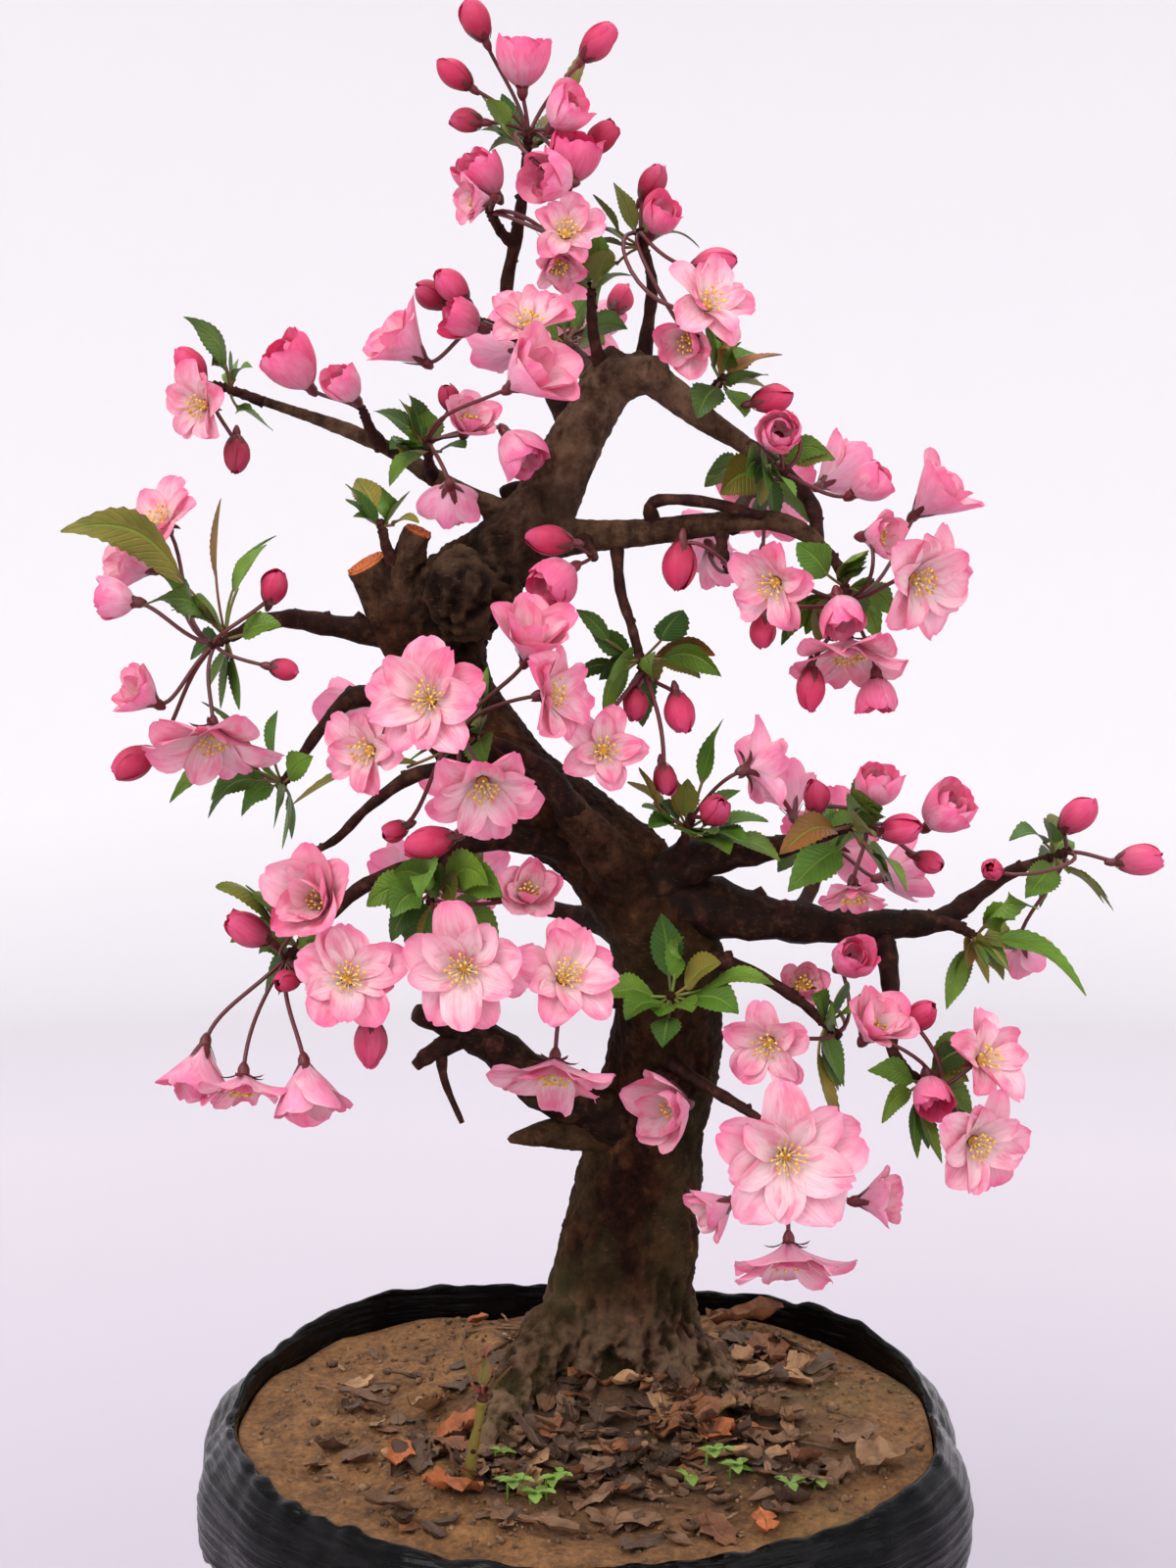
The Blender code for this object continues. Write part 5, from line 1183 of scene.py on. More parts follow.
def add_leaf(skin, leaf, draw):
    """A folded, arched blade with a toothed edge, on a thin stalk."""
    rows, columns = (25, 7) if leaf.blade > 13 else (17, 7)
    route = [(*leaf.spine(s), LEAF_STALK_RADIUS) for s in np.linspace(0, leaf.start + 0.06, 6)]
    tone = np.array(LEAF_TONES[leaf.tone]) * draw.uniform(0.8, 1.25)
    tone[0] *= draw.uniform(0.85, 1.25)
    add_tube(skin, route, 6, tone, LEAF_STALK)
    phase, curl = draw.uniform(0, 6.3), draw.uniform(0.16, 0.34)
    run = (leaf.tip - leaf.root).normalized()
    rise = (UP - run * UP.dot(run)) * LEAF_BOW * leaf.blade
    points = np.zeros((rows, columns, 3))
    for row, along in enumerate(np.linspace(0, 1, rows)):
        s = leaf.start + (1 - leaf.start) * along
        tooth = 1.05 if row % 2 else 0.93
        for column, t in enumerate(np.linspace(-1, 1, columns)):
            edge = tooth if abs(t) == 1 else 1.0
            point = leaf.point(min(s, 0.999), t * edge, curl)
            sway = 0.035 * leaf.width * t * t * math.sin(8 * along + phase + (1.5 if t > 0 else 0))
            points[row, column] = point + UP * sway + rise * math.sin(math.pi * along)
    ring, place = thicken(points, LEAF_THICKNESS)
    skin.grid(ring, place, tone, BLADE)


def add_knob(skin, middle, axis, slot, draw):
    """A spur's end, ringed by old bud scales."""
    route = []
    for step in range(9):
        t = step / 8
        radius = KNOB_GIRTH * (0.86 + 0.14 * math.sin(5 * math.pi * t)) * (1 - 0.25 * t)
        route.append((*(middle + axis * (t - 0.5) * (SPUR_KNOB + 0.8)), radius))
    add_tube(skin, route, 9, (0.35, draw.random(), 0), slot)


# ---------------------------------------------------------------------------------------------
# Wood
# ---------------------------------------------------------------------------------------------

# The wood that is remeshed into one skin of bark. The rest are twigs.
THICK = ("trunk", "root_left", "root_right", "root_back", "stub_left", "stub_mid", "stub_top",
         "root_stub", "fork", "left_high", "right_high", "right_high_inner")
# The stubs, and how far each one's cut end shows fresh wood.
SAWN_WOOD = {"stub_left": 1.0, "stub_mid": 1.0, "stub_top": 0.35}
BARK_VOXEL = 1.05
BARK_SMOOTHING = 2
# How far each noise lifts the bark, in mm: on the limbs, on the roots and on the burr.
BROAD_LIFT, PLATE_LIFT, GRAIN_LIFT, FINE_LIFT = 1.5, 1.1, 0.45, 0.42
ROOT_PLATES, ROOT_FINE, ROOT_GRAIN = 1.3, 1.1, 1.2
BURR_GNARLS = 3.0


def ridges(point):
    """Noise folded into sharp ridges, from 0 to 1."""
    return 1 - abs(noise.noise(point)) * 2


def remeshed(item, voxel, smoothing):
    """item's mesh made into one skin, and eased where limbs fork."""
    remesh = item.modifiers.new("one skin", "REMESH")
    remesh.mode = "VOXEL"
    remesh.voxel_size = voxel * MM
    smooth = item.modifiers.new("eased forks", "SMOOTH")
    smooth.factor = 0.5
    smooth.iterations = smoothing
    graph = bpy.context.evaluated_depsgraph_get()
    mesh = bpy.data.meshes.new_from_object(item.evaluated_get(graph))
    name = item.name
    bpy.data.objects.remove(item)
    made = bpy.data.objects.new(name, mesh)
    bpy.context.scene.collection.objects.link(made)
    return made


def read_rows(mesh, name):
    """The positions or normals of a mesh's points, one row for each."""
    rows = np.empty(len(mesh.vertices) * 3, np.float32)
    mesh.vertices.foreach_get(name, rows)
    return rows.reshape(-1, 3)


def girths(points, batch=4000):
    """The radius of the limb nearest each point."""
    rows = np.concatenate([np.array([tuple(row) for row in wood_route(name, 3)]) for name in THICK])
    girth = np.zeros(len(points), np.float32)
    for low in range(0, len(points), batch):
        part = points[low:low + batch]
        gap = np.linalg.norm(part[:, None] - rows[None, :, :3], axis=2) - rows[None, :, 3]
        girth[low:low + batch] = rows[gap.argmin(axis=1), 3]
    return girth


def sawn_ends(points):
    """How far each point is cut wood, and how far it is from the heart of its cut."""
    sawn = np.zeros(len(points), np.float32)
    rings = np.zeros(len(points), np.float32)
    for name, fresh in SAWN_WOOD.items():
        route = WOOD[name][1]
        end, before = Vector(route[-1][:3]), Vector(route[-2][:3])
        way = (end - before).normalized()
        off = points - np.array(end)
        along = off @ np.array(way)
        out = np.linalg.norm(off - along[:, None] * np.array(way), axis=1)
        face = np.clip((along + 1.3) / 0.9, 0, 1) * (out < route[-1][3] + 1.5)
        sawn = np.maximum(sawn, face * fresh)
        rings = np.where(face > 0, out, rings)
    return sawn, rings


def bark_lift(spot, scale, low_trunk, root, knot):
    """How far the bark stands out at one spot."""
    broad = noise.noise(spot * 0.055)
    plates = ridges(Vector((spot.x * 0.17, spot.y * 0.17, spot.z * 0.08)))
    grain = noise.noise(spot * 0.5)
    fine = ridges(Vector((spot.x * 0.42, spot.y * 0.42, spot.z * 0.3)))
    gnarl = ridges(spot * 0.12 + Vector((3, 1, 7))) + 0.7 * ridges(spot * 0.3)
    limb = (BROAD_LIFT * broad + low_trunk * PLATE_LIFT * (plates - 0.6)
            + GRAIN_LIFT * grain + FINE_LIFT * (fine - 0.6))
    foot = ROOT_PLATES * (plates - 0.5) + ROOT_FINE * (fine - 0.6) + ROOT_GRAIN * grain
    return scale * limb + root * foot + knot * BURR_GNARLS * (gnarl - 1.0)


def thick_wood(material):
    """Trunk, roots and limbs in one skin, with the relief of their bark."""
    skin = Skin()
    for name in THICK:
        add_tube(skin, [tuple(row) for row in wood_route(name, 5)], 22, (0, 0, 0))
    *middle, radius = BURR
    add_ball(skin, Vector(middle), UP, radius * 2.1, radius * 2.1, (0, 0, 0), 0, 20, 14)
    item = remeshed(skin.build("bark_thick", []), BARK_VOXEL, BARK_SMOOTHING)
    mesh = item.data
    points = read_rows(mesh, "co") / MM
    normals = read_rows(mesh, "normal")
    girth = girths(points)
    sawn, rings = sawn_ends(points)
    scale = np.clip(girth / 12, 0.25, 1.2) * (1 - np.minimum(sawn * 2, 1) * 0.85)
    low_trunk = np.clip((300 - points[:, 2]) / 60, 0.25, 1)
    burr_far = np.linalg.norm(points - np.array(middle), axis=1) / (radius * 1.25)
    knot = np.exp(-burr_far ** 4)
    root = np.clip((190 - points[:, 2]) / 30, 0, 1)
    lift = np.array([bark_lift(Vector(point), *amounts)
                     for point, *amounts in zip(points, scale, low_trunk, root, knot)], float)
    moved = (points + normals * lift[:, None]) * MM
    mesh.vertices.foreach_set("co", moved.astype(np.float32).ravel())
    tint = mesh.attributes.new("tint", "FLOAT_COLOR", "POINT")
    colours = np.ones((len(points), 4), np.float32)
    colours[:, 0] = sawn
    colours[:, 1] = rings / 10
    # The tint's third number is the bark's relief; the bark material paints shade from it, darker in the
    # crevices.
    colours[:, 2] = np.clip(0.5 + lift / 4, 0, 1)
    tint.data.foreach_set("color", colours.ravel())
    place = mesh.attributes.new("place", "FLOAT_VECTOR", "POINT")
    marks = np.stack([knot, root, girth / 20], axis=1)
    place.data.foreach_set("vector", marks.astype(np.float32).ravel())
    mesh.materials.append(material)
    mesh.shade_smooth()
    return item


def random_way(draw, low=-1, high=1):
    """Any direction whose rise, before it is made a unit long, lies between low and high."""
    return Vector((draw.uniform(-1, 1), draw.uniform(-1, 1), draw.uniform(low, high))).normalized()


def twigs(material):
    """The thinner wood, with its small lumps."""
    draw = random.Random(11)
    skin = Skin()
    for name in WOOD:
        if name in THICK:
            continue
        fresh = 1.0 if name == "sucker" else 0.0
        route = [tuple(row) for row in wood_route(name, 5)]
        add_tube(skin, route, 10, (fresh, 0, 0.5), lumps=0.13, draw=draw)
        for *spot, radius in route[3:-2:3]:
            way = random_way(draw, -0.4)
            size = radius * draw.uniform(0.9, 1.7)
            add_ball(skin, Vector(spot) + way * radius * 0.75, way, size, size * 0.8, (0, 0, 0.5), 0, 7, 5)
    return skin.build("bark_twigs", [material])


# ---------------------------------------------------------------------------------------------
# Bag and soil
# ---------------------------------------------------------------------------------------------

# Where the collar stands away from the bag: angle, how far and how wide.
FLARES = ((14, 7.5, 13), (-14, 3, 12), (168, 7, 12), (193, 3.5, 10), (58, 2.5, 8), (128, 2.5, 8))
BAG_COLUMNS = 300
# The film's rows: where its inside ends, where its collar ends, and how many there are.
INSIDE_END, COLLAR_END, BAG_ROWS = 34, 95, 173
# Height from one rib of the film to the next, for its close ribs and its wide ones.
RIB_PITCH, WIDE_RIB_PITCH = 3.1, 5.3
SOIL_COLUMNS, SOIL_RINGS = 250, 90
# How far the soil's edge stays inside the mouth, and how low its hidden underside lies.
SOIL_GAP = 3.9
SOIL_UNDERSIDE = 132


def ray(angle):
    """The level direction at an angle in radians."""
    return Vector((math.cos(angle), math.sin(angle), 0))


def film_profile(angle):
    """Radius and height of each row of the film, at one angle round the bag."""
    mouth, rim = mouth_radius(angle), rim_height(angle)
    turn, degrees = ray(angle), math.degrees(angle)
    pleat = 1.2 * math.cos(7 * angle + 2)
    flare = sum(reach * math.exp(-(((degrees - middle + 180) % 360 - 180) / width) ** 2)
                for middle, reach, width in FLARES)
    hem = 35 + 6 * noise.noise(turn * 2.2 + UP * 5) + 3 * noise.noise(turn * 9 + UP * 3)
    rim += 1.8 * noise.noise(turn * 3 + UP) + 1.6 * noise.noise(turn * 13 + UP * 7)
    lip = 0.4 + 1.2 * max(0, noise.noise(turn * 2.5 + UP * 2)) + 0.8 * max(0, -turn.y)
    # Row, radius and height: up the inside, over the rim, down the collar and under the base.
    profile = (
        (0, mouth - 3.6, rim - 38), (16, mouth - 3.5, rim - 17), (26, mouth - 3.4, rim - 4),
        (30, mouth - 3.2, rim - 0.2), (32, mouth - 2.2, rim + 0.5),
        (35, mouth - 1.0 + lip, rim - 0.4), (40, mouth + 0.6 + lip, rim - 3.5),
        (50, mouth + 3.6 + 0.55 * flare, rim - 9), (64, mouth + 4.2 + flare, rim - 18),
        (78, mouth + 3.4 + pleat + 0.9 * flare, rim - 27),
        (92, mouth + 2.8 + pleat + 0.7 * flare, rim - hem),
        (94, mouth + 1.6 + pleat + 0.6 * flare, rim - hem + 0.3), (98, mouth + 0.3, rim - 31),
        (101, mouth - 1.0, rim - 36), (106, mouth - 1.3, rim - 50),
        (124, 0.985 * mouth + pleat, 84), (136, 0.975 * mouth + pleat, 58),
        (150, 0.955 * mouth + 0.6 * pleat, 28), (160, 0.935 * mouth, 8), (164, 0.91 * mouth, 2.0),
        (167, 0.87 * mouth, 0.05), (170, 0.5 * mouth, 0.0), (172, 1.0, 0.0))
    marks, radii, heights = np.array(profile).T
    rows = np.arange(BAG_ROWS)
    return np.interp(rows, marks, radii), np.interp(rows, marks, heights)


def film_push(turn, z, below, inside):
    """How far its ribs, dents and folds push the film out at one spot."""
    drift = 1.3 * noise.noise(turn * 1.6 + UP * (below * 0.02)) + 0.2 * noise.noise(turn * 6)
    depth = 0.25 + 0.75 * max(0.0, 0.5 + noise.noise(turn * 2.7 + UP * (below * 0.06 + 2)))
    close = math.sin(2 * math.pi * (below / RIB_PITCH + drift))
    wide = math.sin(2 * math.pi * (below / WIDE_RIB_PITCH + drift * 1.7))
    fine = ridges(turn * 1.6 + UP * below * 0.9) - 0.55
    dents = noise.noise(turn * 2.0 + UP * (z * 0.025 + 4))
    folds = ridges(turn * 3.4 + UP * (z * 0.02 + 9)) - 0.6
    push = 0.34 * depth * (close + 0.5 * wide) + 0.2 * fine + (0.4 if inside else 1.9) * dents
    push += (0.2 if inside else 0.9) * folds
    return push * min(1.0, max(0.0, z - 1) / 25)


def bag(material):
    """The film, from the soil up the inside, over the rim, down the collar and under the base."""
    angles = np.linspace(0, 2 * math.pi, BAG_COLUMNS, endpoint=False)
    shape = np.array([film_profile(angle) for angle in angles]).transpose(2, 0, 1)
    for _ in range(2):
        shape[1:-1] = shape[1:-1] * 0.5 + (shape[:-2] + shape[2:]) * 0.25
    points = np.zeros((BAG_ROWS, BAG_COLUMNS, 3))
    place = np.zeros((BAG_ROWS, BAG_COLUMNS, 3))
    for column, angle in enumerate(angles):
        turn, rim = ray(angle), rim_height(angle)
        for row in range(BAG_ROWS):
            radius, z = shape[row, column]
            inside, collar = row < INSIDE_END, INSIDE_END <= row < COLLAR_END
            reach = radius + film_push(turn, z, rim - z, inside)
            points[row, column] = (turn.x * reach, turn.y * reach, z)
            place[row, column] = (inside, (rim - z) / 40, collar)
    skin = Skin()
    skin.grid(points, place, (0, 0, 0))
    return skin.build("film_bag", [material])


def soil(material):
    """The mounded surface, closed by a flat underside that the film hides."""
    points = np.zeros((SOIL_RINGS + 3, SOIL_COLUMNS, 3))
    for column, angle in enumerate(np.linspace(0, 2 * math.pi, SOIL_COLUMNS, endpoint=False)):
        outer = mouth_radius(angle) - SOIL_GAP
        for ring in range(SOIL_RINGS):
            share = ((ring + 0.02) / (SOIL_RINGS - 1)) ** 0.75
            x = MOUND_X * (1 - share) + share * outer * math.cos(angle)
            y = MOUND_Y * (1 - share) + share * outer * math.sin(angle)
            spot = Vector((x, y, 0))
            rough = 1.1 * noise.noise(spot * 0.11) + 0.8 * noise.noise(spot * 0.3 + Vector((5, 2, 1)))
            crumbs = 0.55 * ridges(spot * 0.42) * (0.5 + noise.noise(spot * 0.07))
            grit = 0.4 * noise.noise(spot * 0.95)
            fade = min(1.0, (1 - share) * 14 + 0.25)
            lift = (rough + crumbs + grit) * fade - 0.2
            points[ring, column] = (x, y, soil_height(x, y) + lift)
        edge_x, edge_y, _ = points[SOIL_RINGS - 1, column]
        for row, share in enumerate((1, 0.5, 0)):
            points[SOIL_RINGS + row, column] = (edge_x * share, edge_y * share, SOIL_UNDERSIDE)
    points[0] = points[0].mean(axis=0)
    skin = Skin()
    skin.grid(points, np.zeros(3), (0, 0, 0))
    return skin.build("soil_surface", [material])


def ground(x, y):
    return Vector((x, y, soil_height(x, y)))


# Dry leaves on the soil: x, y, turn, length, width, curl and tone.
LITTER = (
    (-35, -59, 20, 16, 13, 0.6, "orange"), (-46, -4, 70, 18, 10, 1.4, "tan"),
    (-51, -38, 95, 14, 8, 1.2, "orange"), (-36, -20, 10, 13, 9, 0.9, "orange"),
    (-37, -33, 130, 12, 8, 1.0, "rust"), (10, -56, 40, 6, 5, 0.4, "orange"),
    (45, -74, 100, 11, 6, 0.8, "orange"), (27, -26, 15, 20, 14, 0.9, "rust"),
    (30, 40, 60, 17, 9, 1.2, "tan"), (24, 12, 160, 16, 9, 1.2, "tan"),
    (50, 60, 20, 26, 12, 1.6, "rust"), (55, 35, 80, 15, 13, 0.9, "rust"),
    (24, -12, 100, 18, 12, 1.1, "brown"), (81, -38, 30, 17, 12, 1.2, "tan"),
    (74, -26, 110, 15, 11, 0.9, "brown"), (-65, 2, 150, 18, 6, 1.0, "brown"),
    (-35, 62, 20, 7, 6, 0.9, "orange"), (59, -40, 60, 15, 10, 1.3, "rust"),
    (-51, -64, 10, 14, 7, 0.9, "brown"), (-10, -78, 170, 16, 7, 0.8, "brown"),
    (36, -30, 45, 13, 9, 0.9, "orange"))
LITTER_RISE = 2.2
LITTER_TONES = {"orange": (0.46, 0.13, 0.035), "tan": (0.4, 0.22, 0.1), "rust": (0.26, 0.095, 0.035),
                "brown": (0.19, 0.1, 0.05), "dark": (0.085, 0.048, 0.028)}
# Heaps of broken leaves: middle, half widths, how many, and how deep they lie.
HEAPS = ((26, -14, 34, 24, 104, 5.0), (46, 26, 24, 26, 50, 4.0), (4, -42, 34, 18, 84, 3.0),
         (-30, -34, 22, 20, 38, 2.5), (52, -52, 26, 18, 42, 2.5), (0, -2, 30, 12, 20, 2.5),
         (-4, -76, 70, 10, 38, 1.5), (-62, -22, 18, 22, 14, 1.0), (-40, 30, 40, 26, 12, 1.0))
HEAP_TONES = ("dark", "brown", "brown", "dark", "dark", "brown", "rust", "tan")
# How near the bag's wall and the trunk the heaps come.
LITTER_EDGE = 88
TRUNK_X, TRUNK_Y, TRUNK_CLEAR = 9, 16, 24
SCRAPS = 90
CRUMBS = 1000
TWIG_BITS = 26
CRUMB_TONE = (0.27, 0.15, 0.072)
SEEDLING_TONE = (0.18, 0.3, 0.045)
DRY_THICKNESS = 0.3
DRY, FRESH, CLOD = range(3)
# Seedlings: x, y, height and number of leaves.
SEEDLINGS = ((-21, -60, 7, 7), (-11, -57, 9, 8), (-15, -62, 5, 6), (32, -43, 7, 6), (38, -49, 5, 5),
             (52, -58, 4, 4), (-25, -38, 5, 3), (60, -54, 3, 3), (26, -49, 3, 3))


def add_dead_leaf(skin, x, y, turn, length, width, curl, tone, rise, lean, draw):
    """A curled, crumpled and torn blade that lies on the soil."""
    rows, columns = (10, 7) if length > 8 else (6, 5)
    way = ray(math.radians(turn))
    side = Vector((-way.y, way.x, 0))
    phase, tip = draw.uniform(0, 40), draw.uniform(0.3, 0.8)
    bend = max(curl, 0.25)
    base = soil_height(x, y) + rise
    points = np.zeros((rows, columns, 3))
    for row, s in enumerate(np.linspace(0, 1, rows)):
        half = width / 2 * (0.1 + math.sin(math.pi * (0.05 + 0.95 * s ** 0.8)) ** tip)
        half *= 1 + 0.6 * noise.noise(Vector((s * 3.5, phase, 0)))
        for column, t in enumerate(np.linspace(-1, 1, columns)):
            torn = 1 + 0.55 * abs(t) * noise.noise(Vector((s * 6, t * 2, phase)))
            across = half * math.sin(bend * t) / bend * torn
            up = half * (1 - math.cos(bend * t)) / bend + 0.28 * length * curl * (s - 0.5) ** 2
            up += lean * length * (s - 0.5) + lean * 0.6 * across
            fold = Vector((s * length * 0.16, t * width * 0.1, phase))
            up += 0.26 * width * noise.noise(fold * 1.4) + 0.09 * width * noise.noise(fold * 4)
            spot = Vector((x, y, 0)) + way * (s - 0.5) * length + side * across
            spot.z = max(base + up, soil_height(spot.x, spot.y) + 0.25)
            points[row, column] = spot
    ring, place = thicken(points, DRY_THICKNESS)
    skin.grid(ring, place, np.array(tone) * draw.uniform(0.7, 1.3), DRY)


def add_crumb(skin, middle, axis, size, tint, draw):
    """A broken clod: a coarse ball with its corners pushed in and out."""
    rows, columns = 5, 5
    first, second = frame_about(axis)
    points = np.zeros((rows, columns, 3))
    for row in range(rows):
        t = math.pi * row / (rows - 1)
        for column in range(columns):
            angle = 2 * math.pi * (column + 0.5 * (row % 2)) / columns
            reach = size / 2 * draw.uniform(0.7, 1.25)
            out = first * math.cos(angle) + second * math.sin(angle)
            points[row, column] = middle + (out * math.sin(t) - axis * math.cos(t)) * reach
    points[0], points[-1] = points[0, 0], points[-1, 0]
    skin.grid(points, np.zeros(3), tint, CLOD)


def oval(angle, share, wide, deep):
    """A spot share of the way out to the edge of an oval, at angle."""
    return share * wide * math.cos(angle), share * deep * math.sin(angle)


def add_heap(skin, heap, draw):
    x, y, wide, deep, count, depth = heap
    for _ in range(count):
        angle, share = draw.uniform(0, 2 * math.pi), draw.random() ** 0.5
        aside, ahead = oval(angle, share, wide, deep)
        spot = (x + aside, y + ahead)
        near_trunk = math.hypot(spot[0] - TRUNK_X, spot[1] - TRUNK_Y) < TRUNK_CLEAR
        if math.hypot(*spot) > LITTER_EDGE or near_trunk:
            continue
        size = draw.uniform(4, 13.5)
        tone = LITTER_TONES[draw.choice(HEAP_TONES)]
        add_dead_leaf(skin, *spot, draw.uniform(0, 360), size, size * draw.uniform(0.35, 0.8),
                      draw.uniform(0.4, 1.7), tone, draw.uniform(0.4, depth) * (1 - share * 0.6),
                      draw.uniform(-0.45, 0.45), draw)


def add_scraps(skin, draw):
    """Small broken bits of leaf all over the soil."""
    for _ in range(SCRAPS):
        angle, share = draw.uniform(0, 2 * math.pi), draw.uniform(0.3, 0.98)
        size = draw.uniform(2, 5)
        tone = LITTER_TONES[draw.choice(("brown", "dark", "rust", "tan"))]
        add_dead_leaf(skin, *oval(angle, share, 90, 80), draw.uniform(0, 360), size, size * 0.5,
                      draw.uniform(0.4, 1.5), tone, 0.5, draw.uniform(-0.3, 0.3), draw)


def add_seedling(skin, x, y, height, count, draw):
    """A thin stem with toothed leaves round its upper half."""
    foot = ground(x, y)
    stem = [foot - UP * 2, foot + UP * height * 0.6, foot + Vector((0.6, -0.4, 1)) * height]
    tone = np.array(SEEDLING_TONE) * draw.uniform(0.8, 1.2)
    add_tube(skin, [(*point, 0.4) for point in stem], 6, tone, FRESH)
    for number in range(count):
        angle = GOLDEN_ANGLE * number
        way = Vector((math.cos(angle), math.sin(angle), draw.uniform(0.1, 0.5))).normalized()
        side = way.cross(UP).normalized()
        size = draw.uniform(4, 7)
        start = stem[1].lerp(stem[2], number / count)
        points = np.zeros((9, 5, 3))
        for row, s in enumerate(np.linspace(0, 1, 9)):
            tooth = 1 if row % 2 else 0.78
            half = size * 0.3 * math.sin(math.pi * (0.04 + 0.96 * s)) ** 0.8 * tooth
            for column, t in enumerate(np.linspace(-1, 1, 5)):
                points[row, column] = (start + way * s * size - UP * 0.3 * size * s * s
                                       + side * half * t + UP * abs(t) * 0.25 * half)
        ring, place = thicken(points, LEAF_THICKNESS)
        skin.grid(ring, place, tone * draw.uniform(0.8, 1.2), FRESH)


def add_crumbs(skin, draw):
    """Clods of soil, most of them small."""
    for _ in range(CRUMBS):
        angle, share = draw.uniform(0, 2 * math.pi), draw.uniform(0.05, 1) ** 0.5
        x, y = oval(angle, share, 96, 88)
        size = draw.uniform(0.7, 1.7) if draw.random() < 0.88 else draw.uniform(1.7, 3.2)
        if math.hypot(x, y) > mouth_radius(math.atan2(y, x)) - 6:
            continue
        tone = np.array(CRUMB_TONE) * draw.uniform(0.45, 1.35)
        add_crumb(skin, ground(x, y) + UP * size * 0.12, random_way(draw), size, tone, draw)


def add_twig_bits(skin, draw):
    """Thin bits of dead twig that lie flat on the soil."""
    for _ in range(TWIG_BITS):
        angle, share = draw.uniform(0, 2 * math.pi), draw.uniform(0.35, 0.9)
        x, y = oval(angle, share, 92, 84)
        way = random_way(draw, -0.05, 0.12)
        length = draw.uniform(6, 20)
        foot = ground(x, y) + UP * 1.0
        ends = [foot, foot + way * length * 0.5 + UP * 0.4, foot + way * length]
        ends = [Vector((p.x, p.y, max(p.z, soil_height(p.x, p.y) + 0.8))) for p in ends]
        if math.hypot(ends[2].x, ends[2].y) < LITTER_EDGE:
            add_tube(skin, [(*point, draw.uniform(0.3, 0.55)) for point in ends], 6,
                     np.array(LITTER_TONES["brown"]) * draw.uniform(0.8, 1.8), CLOD)


def litter(dry, fresh, clod):
    """Everything loose on the soil, and the seedlings that grow from it."""
    draw = random.Random(23)
    skin = Skin()
    for heap in HEAPS:
        add_heap(skin, heap, draw)
    for x, y, turn, length, width, curl, tone in LITTER:
        add_dead_leaf(skin, x, y, turn, length, width, curl, LITTER_TONES[tone], LITTER_RISE,
                      draw.uniform(-0.3, 0.3), draw)
    add_scraps(skin, draw)
    for seedling in SEEDLINGS:
        add_seedling(skin, *seedling, draw)
    add_crumbs(skin, draw)
    add_twig_bits(skin, draw)
    return skin.build("soil_litter", [dry, fresh, clod])


# ---------------------------------------------------------------------------------------------
# Materials
# ---------------------------------------------------------------------------------------------

# Rows of where a colour stands, from 0 to 1, and its red, green and blue as a screen shows them.
PETAL_TONES = ((0.0, 255, 190, 214), (0.2, 253, 160, 198), (0.4, 251, 124, 180),
               (0.58, 243, 78, 142), (0.78, 226, 28, 82), (1.0, 176, 10, 42))
CALYX_TONES = ((0.15, 74, 46, 28), (0.45, 84, 28, 30), (0.85, 112, 18, 40))
STAMEN_TONES = ((0.1, 252, 236, 200), (0.6, 244, 206, 170))
ANTHER_TONES = ((0.2, 250, 214, 96), (0.6, 232, 178, 62), (0.95, 176, 112, 44))
BARK_TONES = ((0.36, 15, 6, 3), (0.52, 38, 19, 11), (0.66, 64, 38, 24), (0.84, 106, 74, 50))
# The upper bark's tones are lighter partly as painted light.
UPPER_LIT_BARK_TONES = ((0.36, 34, 23, 17), (0.5, 84, 63, 49), (0.64, 124, 99, 80), (0.82, 158, 134, 112))
CUT_WOOD_TONES = ((0.0, 126, 52, 28), (0.25, 188, 92, 50), (0.5, 214, 128, 78))
YOUNG_TWIG_TONES = ((0.3, 32, 16, 14), (0.55, 58, 31, 26), (0.75, 90, 58, 46))
OLD_TWIG_TONES = ((0.3, 15, 8, 6), (0.55, 38, 22, 15), (0.78, 78, 54, 39))
SOIL_TONES = ((0.34, 54, 34, 18), (0.47, 118, 80, 44), (0.6, 156, 111, 66), (0.76, 194, 152, 106))
STAGE_TONES = ((0.0, 189, 182, 194), (0.35, 210, 204, 213), (0.6, 215, 211, 218), (0.85, 234, 233, 236))
# Places in metres: the fleck on the collar, and the middle of the painted shade at the trunk's foot.
FLECK_PLACE = (0.1035, 0.012, 0.143)
FOOT_SHADE_PLACE = (0.016, -0.022, 0.152)


def srgb(red, green, blue):
    """A colour as a screen shows it, from 0 to 255, as the renderer's linear colour."""
    shares = [value / 255 for value in (red, green, blue)]
    return [share / 12.92 if share <= 0.04045 else ((share + 0.055) / 1.055) ** 2.4
            for share in shares] + [1.0]


